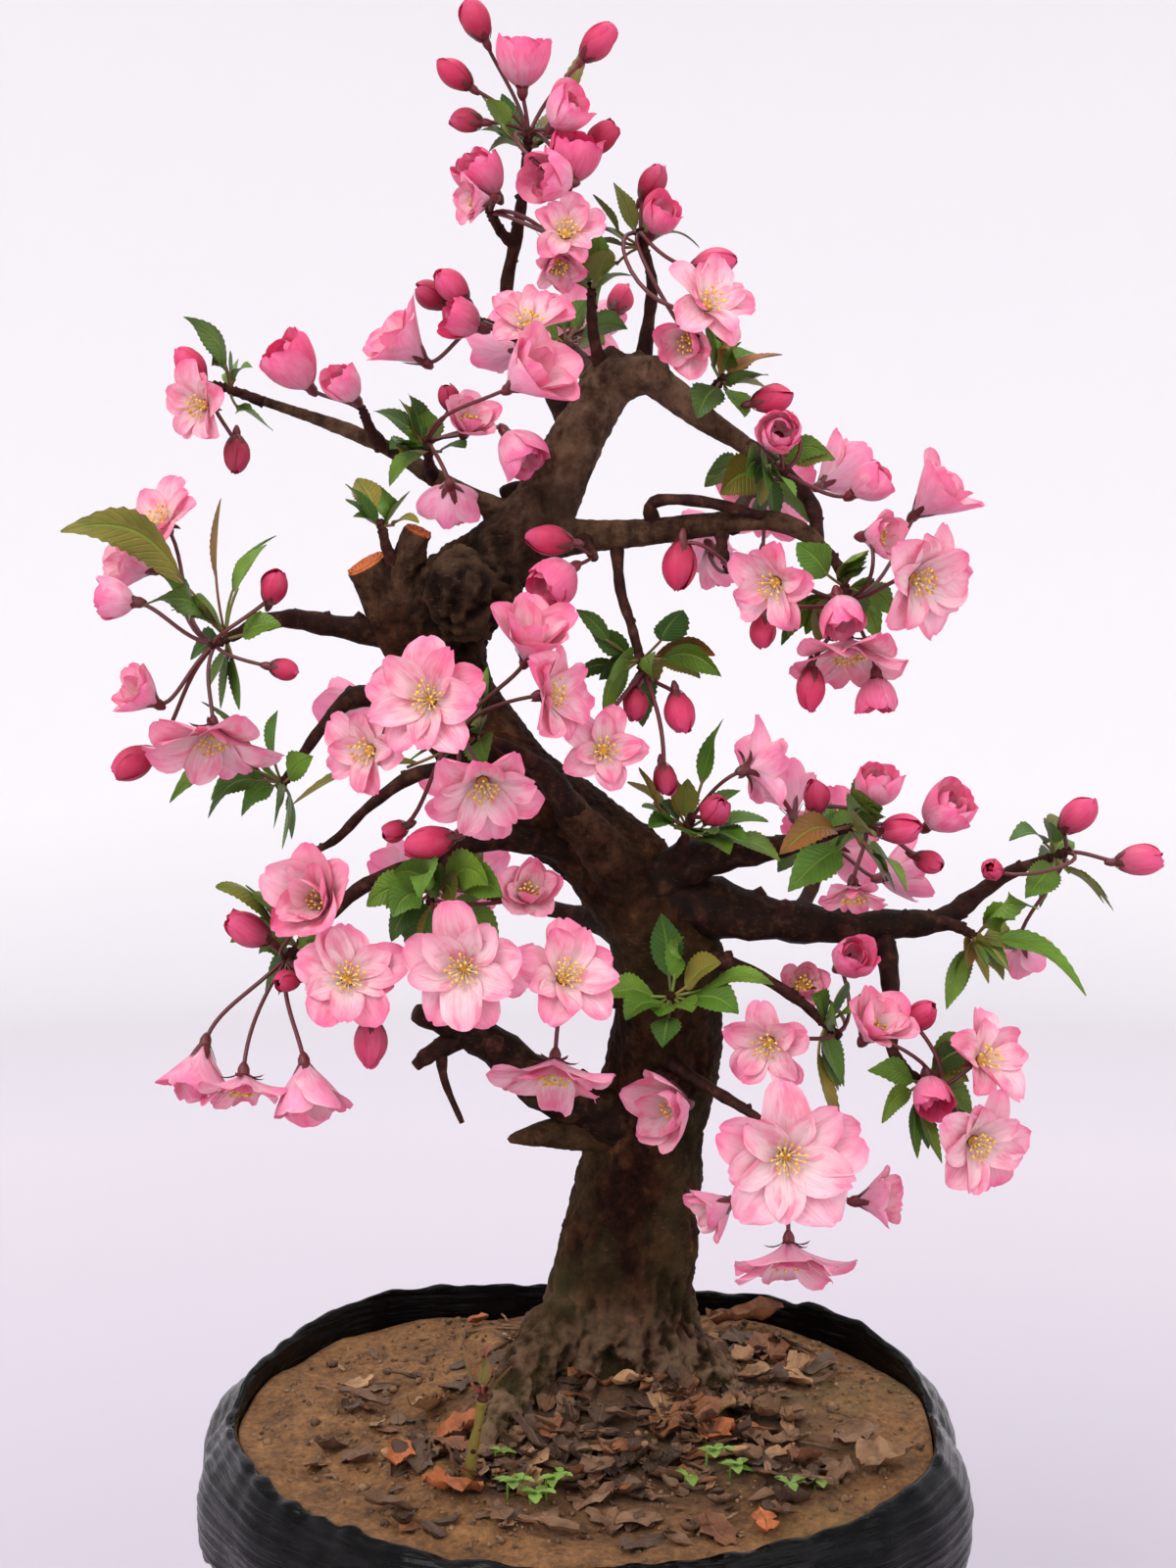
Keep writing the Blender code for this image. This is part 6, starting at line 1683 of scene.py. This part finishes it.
class Look:
    """One material and its nodes. Sockets take a number, a colour or another node's output."""

    def __init__(self, name):
        self.material = bpy.data.materials.new(name)
        self.material.use_nodes = True
        self.tree = self.material.node_tree
        self.tree.nodes.clear()
        self.spot = self.add("TexCoord").outputs["Object"]

    def add(self, kind, sockets=None, **settings):
        made = self.tree.nodes.new("ShaderNode" + kind)
        for key, value in settings.items():
            setattr(made, key, value)
        for socket, value in (sockets or {}).items():
            if isinstance(value, bpy.types.NodeSocket):
                self.tree.links.new(value, made.inputs[socket])
            else:
                made.inputs[socket].default_value = value
        return made

    def math(self, operation, *values, clamp=False):
        made = self.add("Math", dict(enumerate(values)), operation=operation, use_clamp=clamp)
        return made.outputs[0]

    def times(self, *values, **settings):
        return self.math("MULTIPLY", *values, **settings)

    def plus(self, *values):
        return self.math("ADD", *values)

    def less(self, *values, **settings):
        return self.math("SUBTRACT", *values, **settings)

    def size(self, value):
        return self.math("ABSOLUTE", value)

    def saw(self, value):
        """A row of even teeth along value, each from 0.5 down to 0 and up again."""
        return self.size(self.less(self.math("FRACT", value), 0.5))

    def spread(self, value, low, high, start=0.0, end=1.0):
        """value from low to high, as start to end."""
        sockets = {"Value": value, "From Min": low, "From Max": high, "To Min": start, "To Max": end}
        return self.add("MapRange", sockets).outputs[0]

    def stretched(self, vector, scale):
        return self.add("Mapping", {"Vector": vector, "Scale": scale}).outputs[0]

    def noise(self, scale, detail=3.0, vector=None, roughness=0.55):
        sockets = {"Vector": vector or self.spot, "Scale": scale, "Detail": detail, "Roughness": roughness}
        return self.add("TexNoise", sockets).outputs["Fac"]

    def cells(self, scale, vector=None):
        return self.add("TexVoronoi", {"Vector": vector or self.spot, "Scale": scale}).outputs["Distance"]

    def mix(self, share, first, second, blend="MIX"):
        sockets = {0: share, 6: first, 7: second}
        return self.add("Mix", sockets, data_type="RGBA", blend_type=blend).outputs[2]

    def point(self, *values):
        return self.add("CombineXYZ", dict(enumerate(values))).outputs[0]

    def away(self, middle):
        """How far a spot is from middle, in metres."""
        made = self.add("VectorMath", {0: self.spot, 1: middle}, operation="DISTANCE")
        return made.outputs["Value"]

    def ramp(self, value, stops):
        """A colour from rows of where it stands, from 0 to 1, and its red, green and blue."""
        made = self.add("ValToRGB", {"Fac": value})
        ramp = made.color_ramp
        while len(ramp.elements) < len(stops):
            ramp.elements.new(1.0)
        for element, (position, *colour) in zip(ramp.elements, stops):
            element.position = position
            element.color = srgb(*colour)
        return made.outputs[0]

    def tint(self):
        return self.add("Attribute", attribute_name="tint").outputs["Color"]

    def rough(self, grain, low, high):
        """Roughness from low to high, over the span that a noise covers."""
        return self.spread(grain, 0.3, 0.7, low, high)

    def parts(self, name):
        """The three numbers of a point attribute."""
        vector = self.add("Attribute", attribute_name=name).outputs["Vector"]
        return self.add("SeparateXYZ", {0: vector}).outputs

    def finish(self, colour, roughness, height=None, depth=0.0002, clear=0.0, gloss=0.5):
        shader = {"Base Color": colour, "Roughness": roughness, "Specular IOR Level": gloss}
        if height:
            bump = self.add("Bump", {"Height": height, "Distance": depth, "Strength": 1.0})
            shader["Normal"] = bump.outputs[0]
        result = self.add("BsdfPrincipled", shader).outputs[0]
        if clear:
            through = self.add("BsdfTranslucent", {"Color": colour}).outputs[0]
            result = self.add("MixShader", {0: clear, 1: result, 2: through}).outputs[0]
        self.add("OutputMaterial", {"Surface": result})
        return self.material


def petal_look():
    """Pink by the depth of the petal's tint, paler toward its claw, with a deeper rim and veins; on buds and
    the deepest half-open petals, painted shade deepens the red toward the claw and along one overlapped edge.
    """
    look = Look("petal")
    across, along, back = look.parts("place")
    depth, chance, _ = look.parts("tint")
    tone = look.ramp(look.math("DIVIDE", depth, 1.3), PETAL_TONES)
    at = look.point(look.times(across, 7.0), look.times(along, 1.6), look.times(chance, 40.0))
    veins = look.noise(1.6, 3.0, at, 0.6)
    pale = look.math("POWER", look.less(1.15, along, clamp=True), 1.15)
    pale = look.times(pale, look.spread(depth, 0.1, 0.95, 1.35, 0.0))
    pale = look.times(pale, look.spread(veins, 0.3, 0.7, 1.25, 0.65), clamp=True)
    tone = look.mix(pale, tone, srgb(255, 234, 233))
    tone = look.mix(look.spread(depth, 0.12, -0.2, 0.0, 0.65), tone, srgb(255, 236, 238))
    aside = look.times(look.math("POWER", look.size(across), 5.0), along)
    rim = look.math("MAXIMUM", look.math("POWER", along, 3.5), look.times(aside, 0.8))
    rim = look.times(rim, look.spread(chance, 0.0, 1.0, 0.1, 0.8))
    at = look.point(look.times(across, 1.5), look.times(along, 2.0), look.times(chance, 60.0))
    shade, light = look.noise(1.0, 2.0, at), look.spread(depth, 0.5, 0.85, 1.0, 0.0)
    tone = look.mix(look.times(light, look.spread(shade, 0.52, 0.66, 0.0, 0.6)), tone, srgb(255, 240, 242))
    tone = look.mix(look.times(light, look.spread(shade, 0.47, 0.34, 0.0, 0.5)), tone, srgb(248, 96, 156))
    tone = look.mix(rim, tone, srgb(250, 104, 168))
    behind = look.times(back, look.spread(depth, 0.0, 0.9, 0.55, 0.1))
    tone = look.mix(behind, tone, srgb(255, 146, 204))
    tone = look.mix(look.spread(veins, 0.46, 0.72, 0.0, 0.3), tone, srgb(238, 132, 176), "MULTIPLY")
    # Deeper red toward the claw of buds and the deepest half-open petals: partly their own colour, partly
    # painted shade under the top-lit bud.
    low = look.times(look.spread(depth, 0.6, 1.0), look.spread(along, 0.55, 0.0))
    tone = look.mix(look.times(low, 0.6), tone, srgb(140, 10, 40))
    # Painted shade: a dark red line along one edge of a bud's petals, where the next petal overlaps it.
    overlap_shade = look.times(look.spread(across, -0.7, -1.0), look.spread(depth, 0.85, 0.95))
    tone = look.mix(look.times(overlap_shade, 0.75), tone, srgb(120, 8, 34))
    flecks = look.noise(260.0, 2.0)
    dusted = look.times(look.spread(flecks, 0.5, 0.8, 0.0, 0.25), look.spread(depth, 0.4, 1.0, 1.0, 0.2))
    tone = look.mix(dusted, tone, srgb(255, 226, 236))
    height = look.plus(look.times(veins, 0.8), look.times(flecks, 0.25))
    return look.finish(tone, look.rough(flecks, 0.42, 0.62), height, 0.00025, 0.4)


def leaf_look():
    """The leaf's own tint, with a midrib, side veins and a rusty edge."""
    look = Look("leaf")
    across, along, back = look.parts("place")
    base = look.tint()
    aside = look.size(across)
    blotch = look.noise(120.0, 3.0)
    base = look.mix(look.spread(blotch, 0.35, 0.7, 0.0, 0.55), base, srgb(66, 84, 30))
    run = look.less(look.times(along, 11.0), look.times(aside, 2.6))
    saw = look.saw(run)
    lateral = look.spread(saw, 0.0, 0.16, 1.0, 0.0)
    rib = look.spread(aside, 0.03, 0.12, 1.0, 0.0)
    vein = look.math("MAXIMUM", look.times(lateral, 0.45), rib)
    base = look.mix(look.times(vein, 0.5), base, srgb(132, 164, 60))
    base = look.mix(look.times(back, 0.4), base, srgb(112, 140, 66))
    rust = look.times(look.spread(aside, 0.7, 1.0), look.spread(look.noise(60.0), 0.5, 0.7))
    base = look.mix(look.times(rust, 0.6), base, srgb(112, 52, 28))
    puff = look.less(look.times(look.noise(420.0), 0.5), look.times(vein, 0.8))
    return look.finish(base, look.rough(blotch, 0.34, 0.52), puff, 0.0004, 0.16, 0.3)


def stalk_look():
    look = Look("leaf_stalk")
    base = look.tint()
    red = look.spread(look.noise(90.0), 0.35, 0.65, 0.25, 0.85)
    base = look.mix(red, base, srgb(108, 50, 38))
    return look.finish(base, look.rough(look.noise(500.0), 0.4, 0.6), look.noise(900.0), 0.00015)


def calyx_look():
    look = Look("calyx")
    share = look.parts("tint")[0]
    streak = look.noise(150.0, 3.0)
    mixed = look.plus(look.times(share, 0.55), look.times(streak, 0.5))
    base = look.ramp(mixed, CALYX_TONES)
    return look.finish(base, look.rough(streak, 0.36, 0.55), look.noise(800.0), 0.00015)


def stamen_look():
    look = Look("stamen")
    share = look.parts("tint")[0]
    base = look.ramp(look.times(share, look.noise(300.0)), STAMEN_TONES)
    return look.finish(base, look.spread(share, 0.0, 1.0, 0.45, 0.6), None, 0.0, 0.25)


def anther_look():
    look = Look("anther")
    share = look.parts("tint")[0]
    mixed = look.plus(look.times(share, 0.6), look.times(look.noise(900.0), 0.4))
    base = look.ramp(mixed, ANTHER_TONES)
    return look.finish(base, look.spread(share, 0.0, 1.0, 0.6, 0.8), look.noise(1600.0), 0.00012)


def bark_look():
    """Dark crusted bark with painted shade in its crevices, lighter and greyer above partly as painted light,
    with a black burr whose crests carry painted light, cut wood, and roots paler on their crests as painted
    light.
    """
    look = Look("bark")
    sawn, rings, lift = look.parts("tint")
    knot, root, girth = look.parts("place")
    level = look.add("SeparateXYZ", {0: look.spot}).outputs[2]
    broad = look.noise(24.0, 4.0)
    fine = look.noise(170.0, 6.0, None, 0.7)
    crumbly = look.noise(620.0, 4.0, None, 0.7)
    # The bark's grain and its relief together: low relief is painted darker, as painted shade in the
    # crevices.
    crust_and_crevice_shade = look.plus(look.times(fine, 0.75), look.times(lift, 0.38))
    base = look.ramp(crust_and_crevice_shade, BARK_TONES)
    # Above 0.38 m the bark is lighter and greyer: partly its smoother upper bark, partly painted light where
    # light falls on the upper limbs.
    upper_grey_and_lit = look.times(look.spread(level, 0.38, 0.44), look.spread(broad, 0.25, 0.55))
    upper = look.ramp(crust_and_crevice_shade, UPPER_LIT_BARK_TONES)
    base = look.mix(look.times(upper_grey_and_lit, 0.9), base, upper)
    # Dark patches on the upper limbs: partly knots, partly painted shadow.
    knots_and_shade = look.times(look.spread(look.noise(44.0, 4.0), 0.52, 0.64), look.spread(level, 0.36, 0.4))
    base = look.mix(look.times(knots_and_shade, 0.6), base, srgb(26, 18, 14))
    limb = look.times(look.spread(girth, 0.46, 0.26), look.spread(fine, 0.35, 0.65))
    base = look.mix(look.times(limb, 0.5), base, srgb(104, 76, 56))
    fibres = look.noise(210.0, 4.0, look.stretched(look.spot, (1.0, 1.0, 0.2)), 0.65)
    base = look.mix(look.spread(fibres, 0.48, 0.34, 0.0, 0.6), base, srgb(26, 17, 12))
    moss = look.times(look.spread(look.noise(30.0, 5.0), 0.42, 0.62), look.spread(level, 0.33, 0.24))
    base = look.mix(look.times(moss, 0.5), base, srgb(72, 68, 40))
    # Painted light: the roots are paler where their relief stands up.
    pale = look.times(root, look.spread(look.plus(lift, look.times(fine, 0.5)), 0.62, 0.95))
    base = look.mix(look.times(pale, 0.75), base, srgb(128, 104, 84))
    base = look.mix(look.times(knot, 0.72), base, srgb(19, 14, 11))
    # Painted light: the burr's raised crests are lighter than its dark hollows.
    burr_crest_light = look.times(knot, look.spread(look.plus(lift, look.times(fine, 0.6)), 0.7, 1.1))
    base = look.mix(look.times(burr_crest_light, 0.5), base, srgb(88, 68, 50))
    stretched = look.stretched(look.spot, (1.0, 1.0, 4.5))
    pores = look.spread(look.cells(210.0, stretched), 0.0, 0.22, 1.0, 0.0)
    pores = look.times(pores, look.spread(look.noise(60.0), 0.5, 0.62))
    base = look.mix(look.times(pores, 0.28), base, srgb(132, 116, 100))
    turned = look.plus(look.times(rings, 9.0), look.times(fine, 1.2))
    ring = look.saw(turned)
    wood = look.ramp(look.plus(ring, look.times(look.less(fine, 0.5), 0.9)), CUT_WOOD_TONES)
    face = look.plus(sawn, look.times(look.less(fine, 0.5), 0.6))
    base = look.mix(look.spread(face, 0.4, 0.75), base, wood)
    height = look.plus(look.times(fine, 0.8), look.times(crumbly, 0.35))
    height = look.plus(height, look.times(fibres, 0.7))
    return look.finish(base, look.rough(crumbly, 0.55, 0.9), height, 0.0022, gloss=0.05)


def twig_look():
    """Dark twigs, lighter and redder where they are thin."""
    look = Look("twig")
    girth = look.parts("place")[2]
    fresh = look.parts("tint")[0]
    fine = look.noise(260.0, 4.0)
    thick = look.spread(girth, 1.4, 4.0)
    young = look.ramp(fine, YOUNG_TWIG_TONES)
    old = look.ramp(fine, OLD_TWIG_TONES)
    base = look.mix(thick, young, old)
    base = look.mix(look.spread(fresh, 0.5, 1.0, 0.0, 0.85), base, srgb(118, 104, 48))
    pores = look.spread(look.cells(380.0, look.stretched(look.spot, (1.0, 1.0, 2.0))), 0.0, 0.2, 1.0, 0.0)
    base = look.mix(look.times(pores, 0.2), base, srgb(136, 116, 98))
    height = look.plus(look.times(look.noise(700.0, 4.0), 0.6), look.times(pores, 0.5))
    return look.finish(base, look.rough(fine, 0.55, 0.8), height, 0.0006, gloss=0.08)


def film_look():
    """Black film with fine creases, thinly dusted, with a painted grey sheen and a dry fleck on its collar.
    """
    look = Look("black_film")
    collar = look.parts("place")[2]
    dust = look.spread(look.noise(26.0, 5.0, None, 0.65), 0.48, 0.75)
    # These stretched streaks mask both the dust and the painted sheen.
    smear_and_sheen = look.spread(look.noise(60.0, 3.0, look.stretched(look.spot, (1.0, 1.0, 6.0))), 0.45, 0.75)
    grime = look.times(dust, look.plus(0.3, look.times(smear_and_sheen, 0.6)))
    base = look.mix(look.times(grime, 0.2), srgb(5, 5, 6), srgb(70, 66, 62))
    # Painted sheen: the collar is greyed toward a cool grey, as light catching its folds.
    tilt = look.times(collar, look.spread(smear_and_sheen, 0.2, 0.9, 0.0, 0.05))
    base = look.mix(tilt, base, srgb(84, 84, 94))
    spot = look.away(FLECK_PLACE)
    fleck = look.spread(look.plus(spot, look.times(look.noise(420.0), 0.004)), 0.005, 0.0066, 1.0, 0.0)
    base = look.mix(fleck, base, srgb(150, 116, 84))
    ribbed = look.noise(90.0, 3.0, look.stretched(look.spot, (0.35, 0.35, 7.0)))
    height = look.plus(ribbed, look.times(look.noise(300.0, 3.0), 0.12))
    return look.finish(base, look.spread(grime, 0.0, 0.8, 0.12, 0.34), height, 0.0008, gloss=0.09)


def soil_look():
    """Brown crumbs, with painted shade in a patch at the trunk's foot, and greener to the right."""
    look = Look("soil")
    lumps = look.noise(75.0, 5.0, None, 0.65)
    grit = look.noise(420.0, 5.0, None, 0.75)
    base = look.ramp(look.plus(look.times(lumps, 0.4), look.times(grit, 0.6)), SOIL_TONES)
    aside = look.add("SeparateXYZ", {0: look.spot}).outputs[0]
    middle = look.away(FOOT_SHADE_PLACE)
    # Painted shade: a dark pool on the soil round the trunk's foot, under the flowers.
    trunk_foot_shade = look.spread(look.plus(middle, look.times(look.noise(20.0, 4.0), 0.06)), 0.095, 0.06)
    base = look.mix(look.times(trunk_foot_shade, 0.68), base, srgb(36, 24, 18))
    green = look.times(look.spread(look.noise(34.0, 4.0), 0.52, 0.68), look.spread(aside, 0.02, 0.07))
    base = look.mix(look.times(green, 0.4), base, srgb(84, 88, 36))
    height = look.plus(look.times(lumps, 0.5), grit)
    return look.finish(base, look.rough(grit, 0.82, 0.98), height, 0.0018)


def clod_look():
    look = Look("soil_crumb")
    base = look.tint()
    grit = look.noise(700.0, 4.0, None, 0.7)
    base = look.mix(look.spread(grit, 0.35, 0.7, 0.0, 0.6), base, srgb(48, 32, 24))
    return look.finish(base, look.rough(grit, 0.8, 0.98), grit, 0.0008)


def dry_look():
    look = Look("dry_leaf")
    across = look.parts("place")[0]
    base = look.tint()
    blotch = look.noise(160.0, 4.0, None, 0.65)
    base = look.mix(look.spread(blotch, 0.4, 0.72, 0.0, 0.75), base, srgb(66, 36, 22))
    aside = look.size(across)
    rib = look.spread(aside, 0.02, 0.12, 1.0, 0.0)
    base = look.mix(look.times(rib, 0.22), base, srgb(186, 140, 92))
    crinkle = look.noise(340.0, 4.0, None, 0.65)
    height = look.plus(crinkle, look.times(rib, 0.5))
    return look.finish(base, look.rough(blotch, 0.55, 0.8), height, 0.0009)


def seedling_look():
    look = Look("seedling")
    base = look.tint()
    blotch = look.noise(260.0, 3.0)
    base = look.mix(look.spread(blotch, 0.4, 0.7, 0.0, 0.5), base, srgb(150, 190, 92))
    return look.finish(base, look.rough(blotch, 0.4, 0.6), look.noise(900.0), 0.0002, 0.2)


def stage_look():
    """A pale floor, a little brighter far off."""
    look = Look("pale_ground")
    away = look.add("VectorMath", {0: look.spot}, operation="LENGTH").outputs["Value"]
    haze = look.times(look.less(look.noise(1.2, 2.0), 0.5), 0.12)
    base = look.ramp(look.plus(look.spread(away, 0.3, 2.3), haze), STAGE_TONES)
    return look.finish(base, 0.95)


# ---------------------------------------------------------------------------------------------
# The dressed tree
# ---------------------------------------------------------------------------------------------


def dress(item, slot, *nodes):
    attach(item, "root")
    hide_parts(*nodes)


# How many extra leaves a leafy spur tries to grow here; those not named try MORE_ELSEWHERE.
MORE_LEAVES = {"sucker": 0, "pendant": 9, "centre_right": 11, "right_mid": 12, "left_high_mid": 7,
               "crown_side": 8, "right_high_inner": 10, "apex": 8, "crown_mid": 9, "left_low": 9,
               "low_left_front": 9, "centre": 12, "right_hang": 10, "right_tip": 7, "right_high_tip": 9,
               "left_mid": 7, "low_right": 6, "right_outer": 8, "right_inner": 7, "trunk_leaves": 5,
               "left_low_twig": 6}
MORE_ELSEWHERE = 3
# How those leaves grow, as for SMALL_LEAF.
EXTRA_LEAF = ((35, 80), (11, 24), 0.78, (5, 8.5), ("green", "green", "dark", "olive"))
# How much broader a leaf is here than the solid that stands for it.
BROADER = 1.2


def fill_in(sprays):
    """More small leaves round each leafy spur, where nothing stands."""
    space = Space()
    for name in WOOD:
        space.add("wood", wood_balls(name))
    for spray in sprays:
        for flower in spray.flowers:
            space.add(spray.name, flower.spheres() + flower.stalk_balls())
        for leaf in spray.leaves:
            space.add(spray.name + " leaves", leaf.spheres())
    draw = random.Random(41)
    for spray in sprays:
        count = MORE_LEAVES.get(spray.name, MORE_ELSEWHERE) if spray.leaves else 0
        grow_rosette(space, spray, [number + 0.5 for number in range(count)], EXTRA_LEAF, draw)
    return sprays


twig_material = twig_look()
flower_looks = [petal_look(), calyx_look(), stamen_look(), anther_look(), twig_material]
leaf_looks = [leaf_look(), stalk_look(), twig_material]
for number, spray in enumerate(fill_in(arrange())):
    draw = random.Random(100 + number)
    if spray.flowers:
        skin = Skin()
        for flower in spray.flowers:
            add_flower(skin, flower, SPRAY_DEPTH.get(spray.name, 0.0), draw)
        add_knob(skin, spray.flower_knob, spray.axis, TWIG, draw)
        dress(skin.build(f"blossom_{spray.name}", flower_looks), "petal", f"flowers_{spray.name}")
    if spray.leaves:
        skin = Skin()
        for leaf in spray.leaves:
            leaf.tone = "red" if spray.name == "sucker" else leaf.tone
            leaf.width *= BROADER
            add_leaf(skin, leaf, draw)
        add_knob(skin, spray.leaf_knob, spray.axis, LEAF_TWIG, draw)
        dress(skin.build(f"foliage_{spray.name}", leaf_looks), "green", f"leaves_{spray.name}")
dress(thick_wood(bark_look()), "bark", "trunk")
dress(twigs(twig_material), "bark", "trunk")
dress(bag(film_look()), "film", "grow_bag")
dress(soil(soil_look()), "soil", "soil")
dress(litter(dry_look(), seedling_look(), clod_look()), "soil", "soil")

# ---------------------------------------------------------------------------------------------
# Studio and camera
# ---------------------------------------------------------------------------------------------


# The stage, in metres: the floor's radius, that of the curve where it turns up, the wall's top,
# and how far the floor lies below the bag.
FLOOR_RADIUS = 1.5
CURVE_RADIUS = 0.8
WALL_TOP = 2.2
FLOOR_DROP = 0.0006
# Lights that face the tree: name, place, size, power and colour.
LIGHTS = (("key", (-0.9, -1.3, 1.7), 1.3, 27, (1.0, 0.985, 0.965)),
          ("fill", (1.3, -1.0, 1.0), 1.5, 8, (1.0, 0.99, 0.985)),
          ("top", (0.1, 0.5, 2.0), 1.4, 15, (1.0, 0.99, 0.98)))
LIT_PLACE = (0, 0, 0.3)
DAYLIGHT = (1.0, 0.98, 0.98, 1.0)
DAYLIGHT_STRENGTH = 0.78
CAMERA_PLACE = (0.0, -0.611, 0.377)
CAMERA_TILT = 86
FOCAL_LENGTH = 49.6


def studio():
    """A pale floor that turns up into a wall all round, so no view shows a horizon."""
    profile = [(0.0, 0.0), (0.6, 0.0), (FLOOR_RADIUS, 0.0)]
    for turn in np.linspace(0.1, math.pi / 2, 12):
        profile.append((FLOOR_RADIUS + CURVE_RADIUS * math.sin(turn),
                        CURVE_RADIUS - CURVE_RADIUS * math.cos(turn)))
    profile.append((FLOOR_RADIUS + CURVE_RADIUS, WALL_TOP))
    angles = np.linspace(0, 2 * math.pi, 96, endpoint=False)
    points = np.array([[(radius * math.cos(angle), radius * math.sin(angle), height) for angle in angles]
                       for radius, height in profile])
    points[..., 2] -= FLOOR_DROP
    skin = Skin()
    skin.grid(points / MM, np.zeros(3), (1, 1, 1))
    item = skin.build("studio_floor", [stage_look()])


def area_light(name, place, size, power, colour):
    light = bpy.data.lights.new(name, "AREA")
    light.shape = "DISK"
    light.size = size
    light.energy = power
    light.color = colour
    item = bpy.data.objects.new(name, light)
    bpy.context.scene.collection.objects.link(item)
    item.location = place
    item.rotation_euler = (Vector(LIT_PLACE) - Vector(place)).to_track_quat("-Z", "Y").to_euler()


studio()
for row in LIGHTS:
    area_light(*row)
world = bpy.data.worlds.new("soft_daylight")
world.use_nodes = True
world.node_tree.nodes["Background"].inputs["Color"].default_value = DAYLIGHT
world.node_tree.nodes["Background"].inputs["Strength"].default_value = DAYLIGHT_STRENGTH
bpy.context.scene.world = world
bpy.context.scene.view_settings.view_transform = "Standard"

lens = bpy.data.cameras.new("camera")
lens.lens = FOCAL_LENGTH
lens.sensor_width = 36.0
lens.clip_start = 0.01
camera = bpy.data.objects.new("camera", lens)
camera.location = CAMERA_PLACE
camera.rotation_euler = (math.radians(CAMERA_TILT), 0, 0)
bpy.context.scene.collection.objects.link(camera)
bpy.context.scene.camera = camera
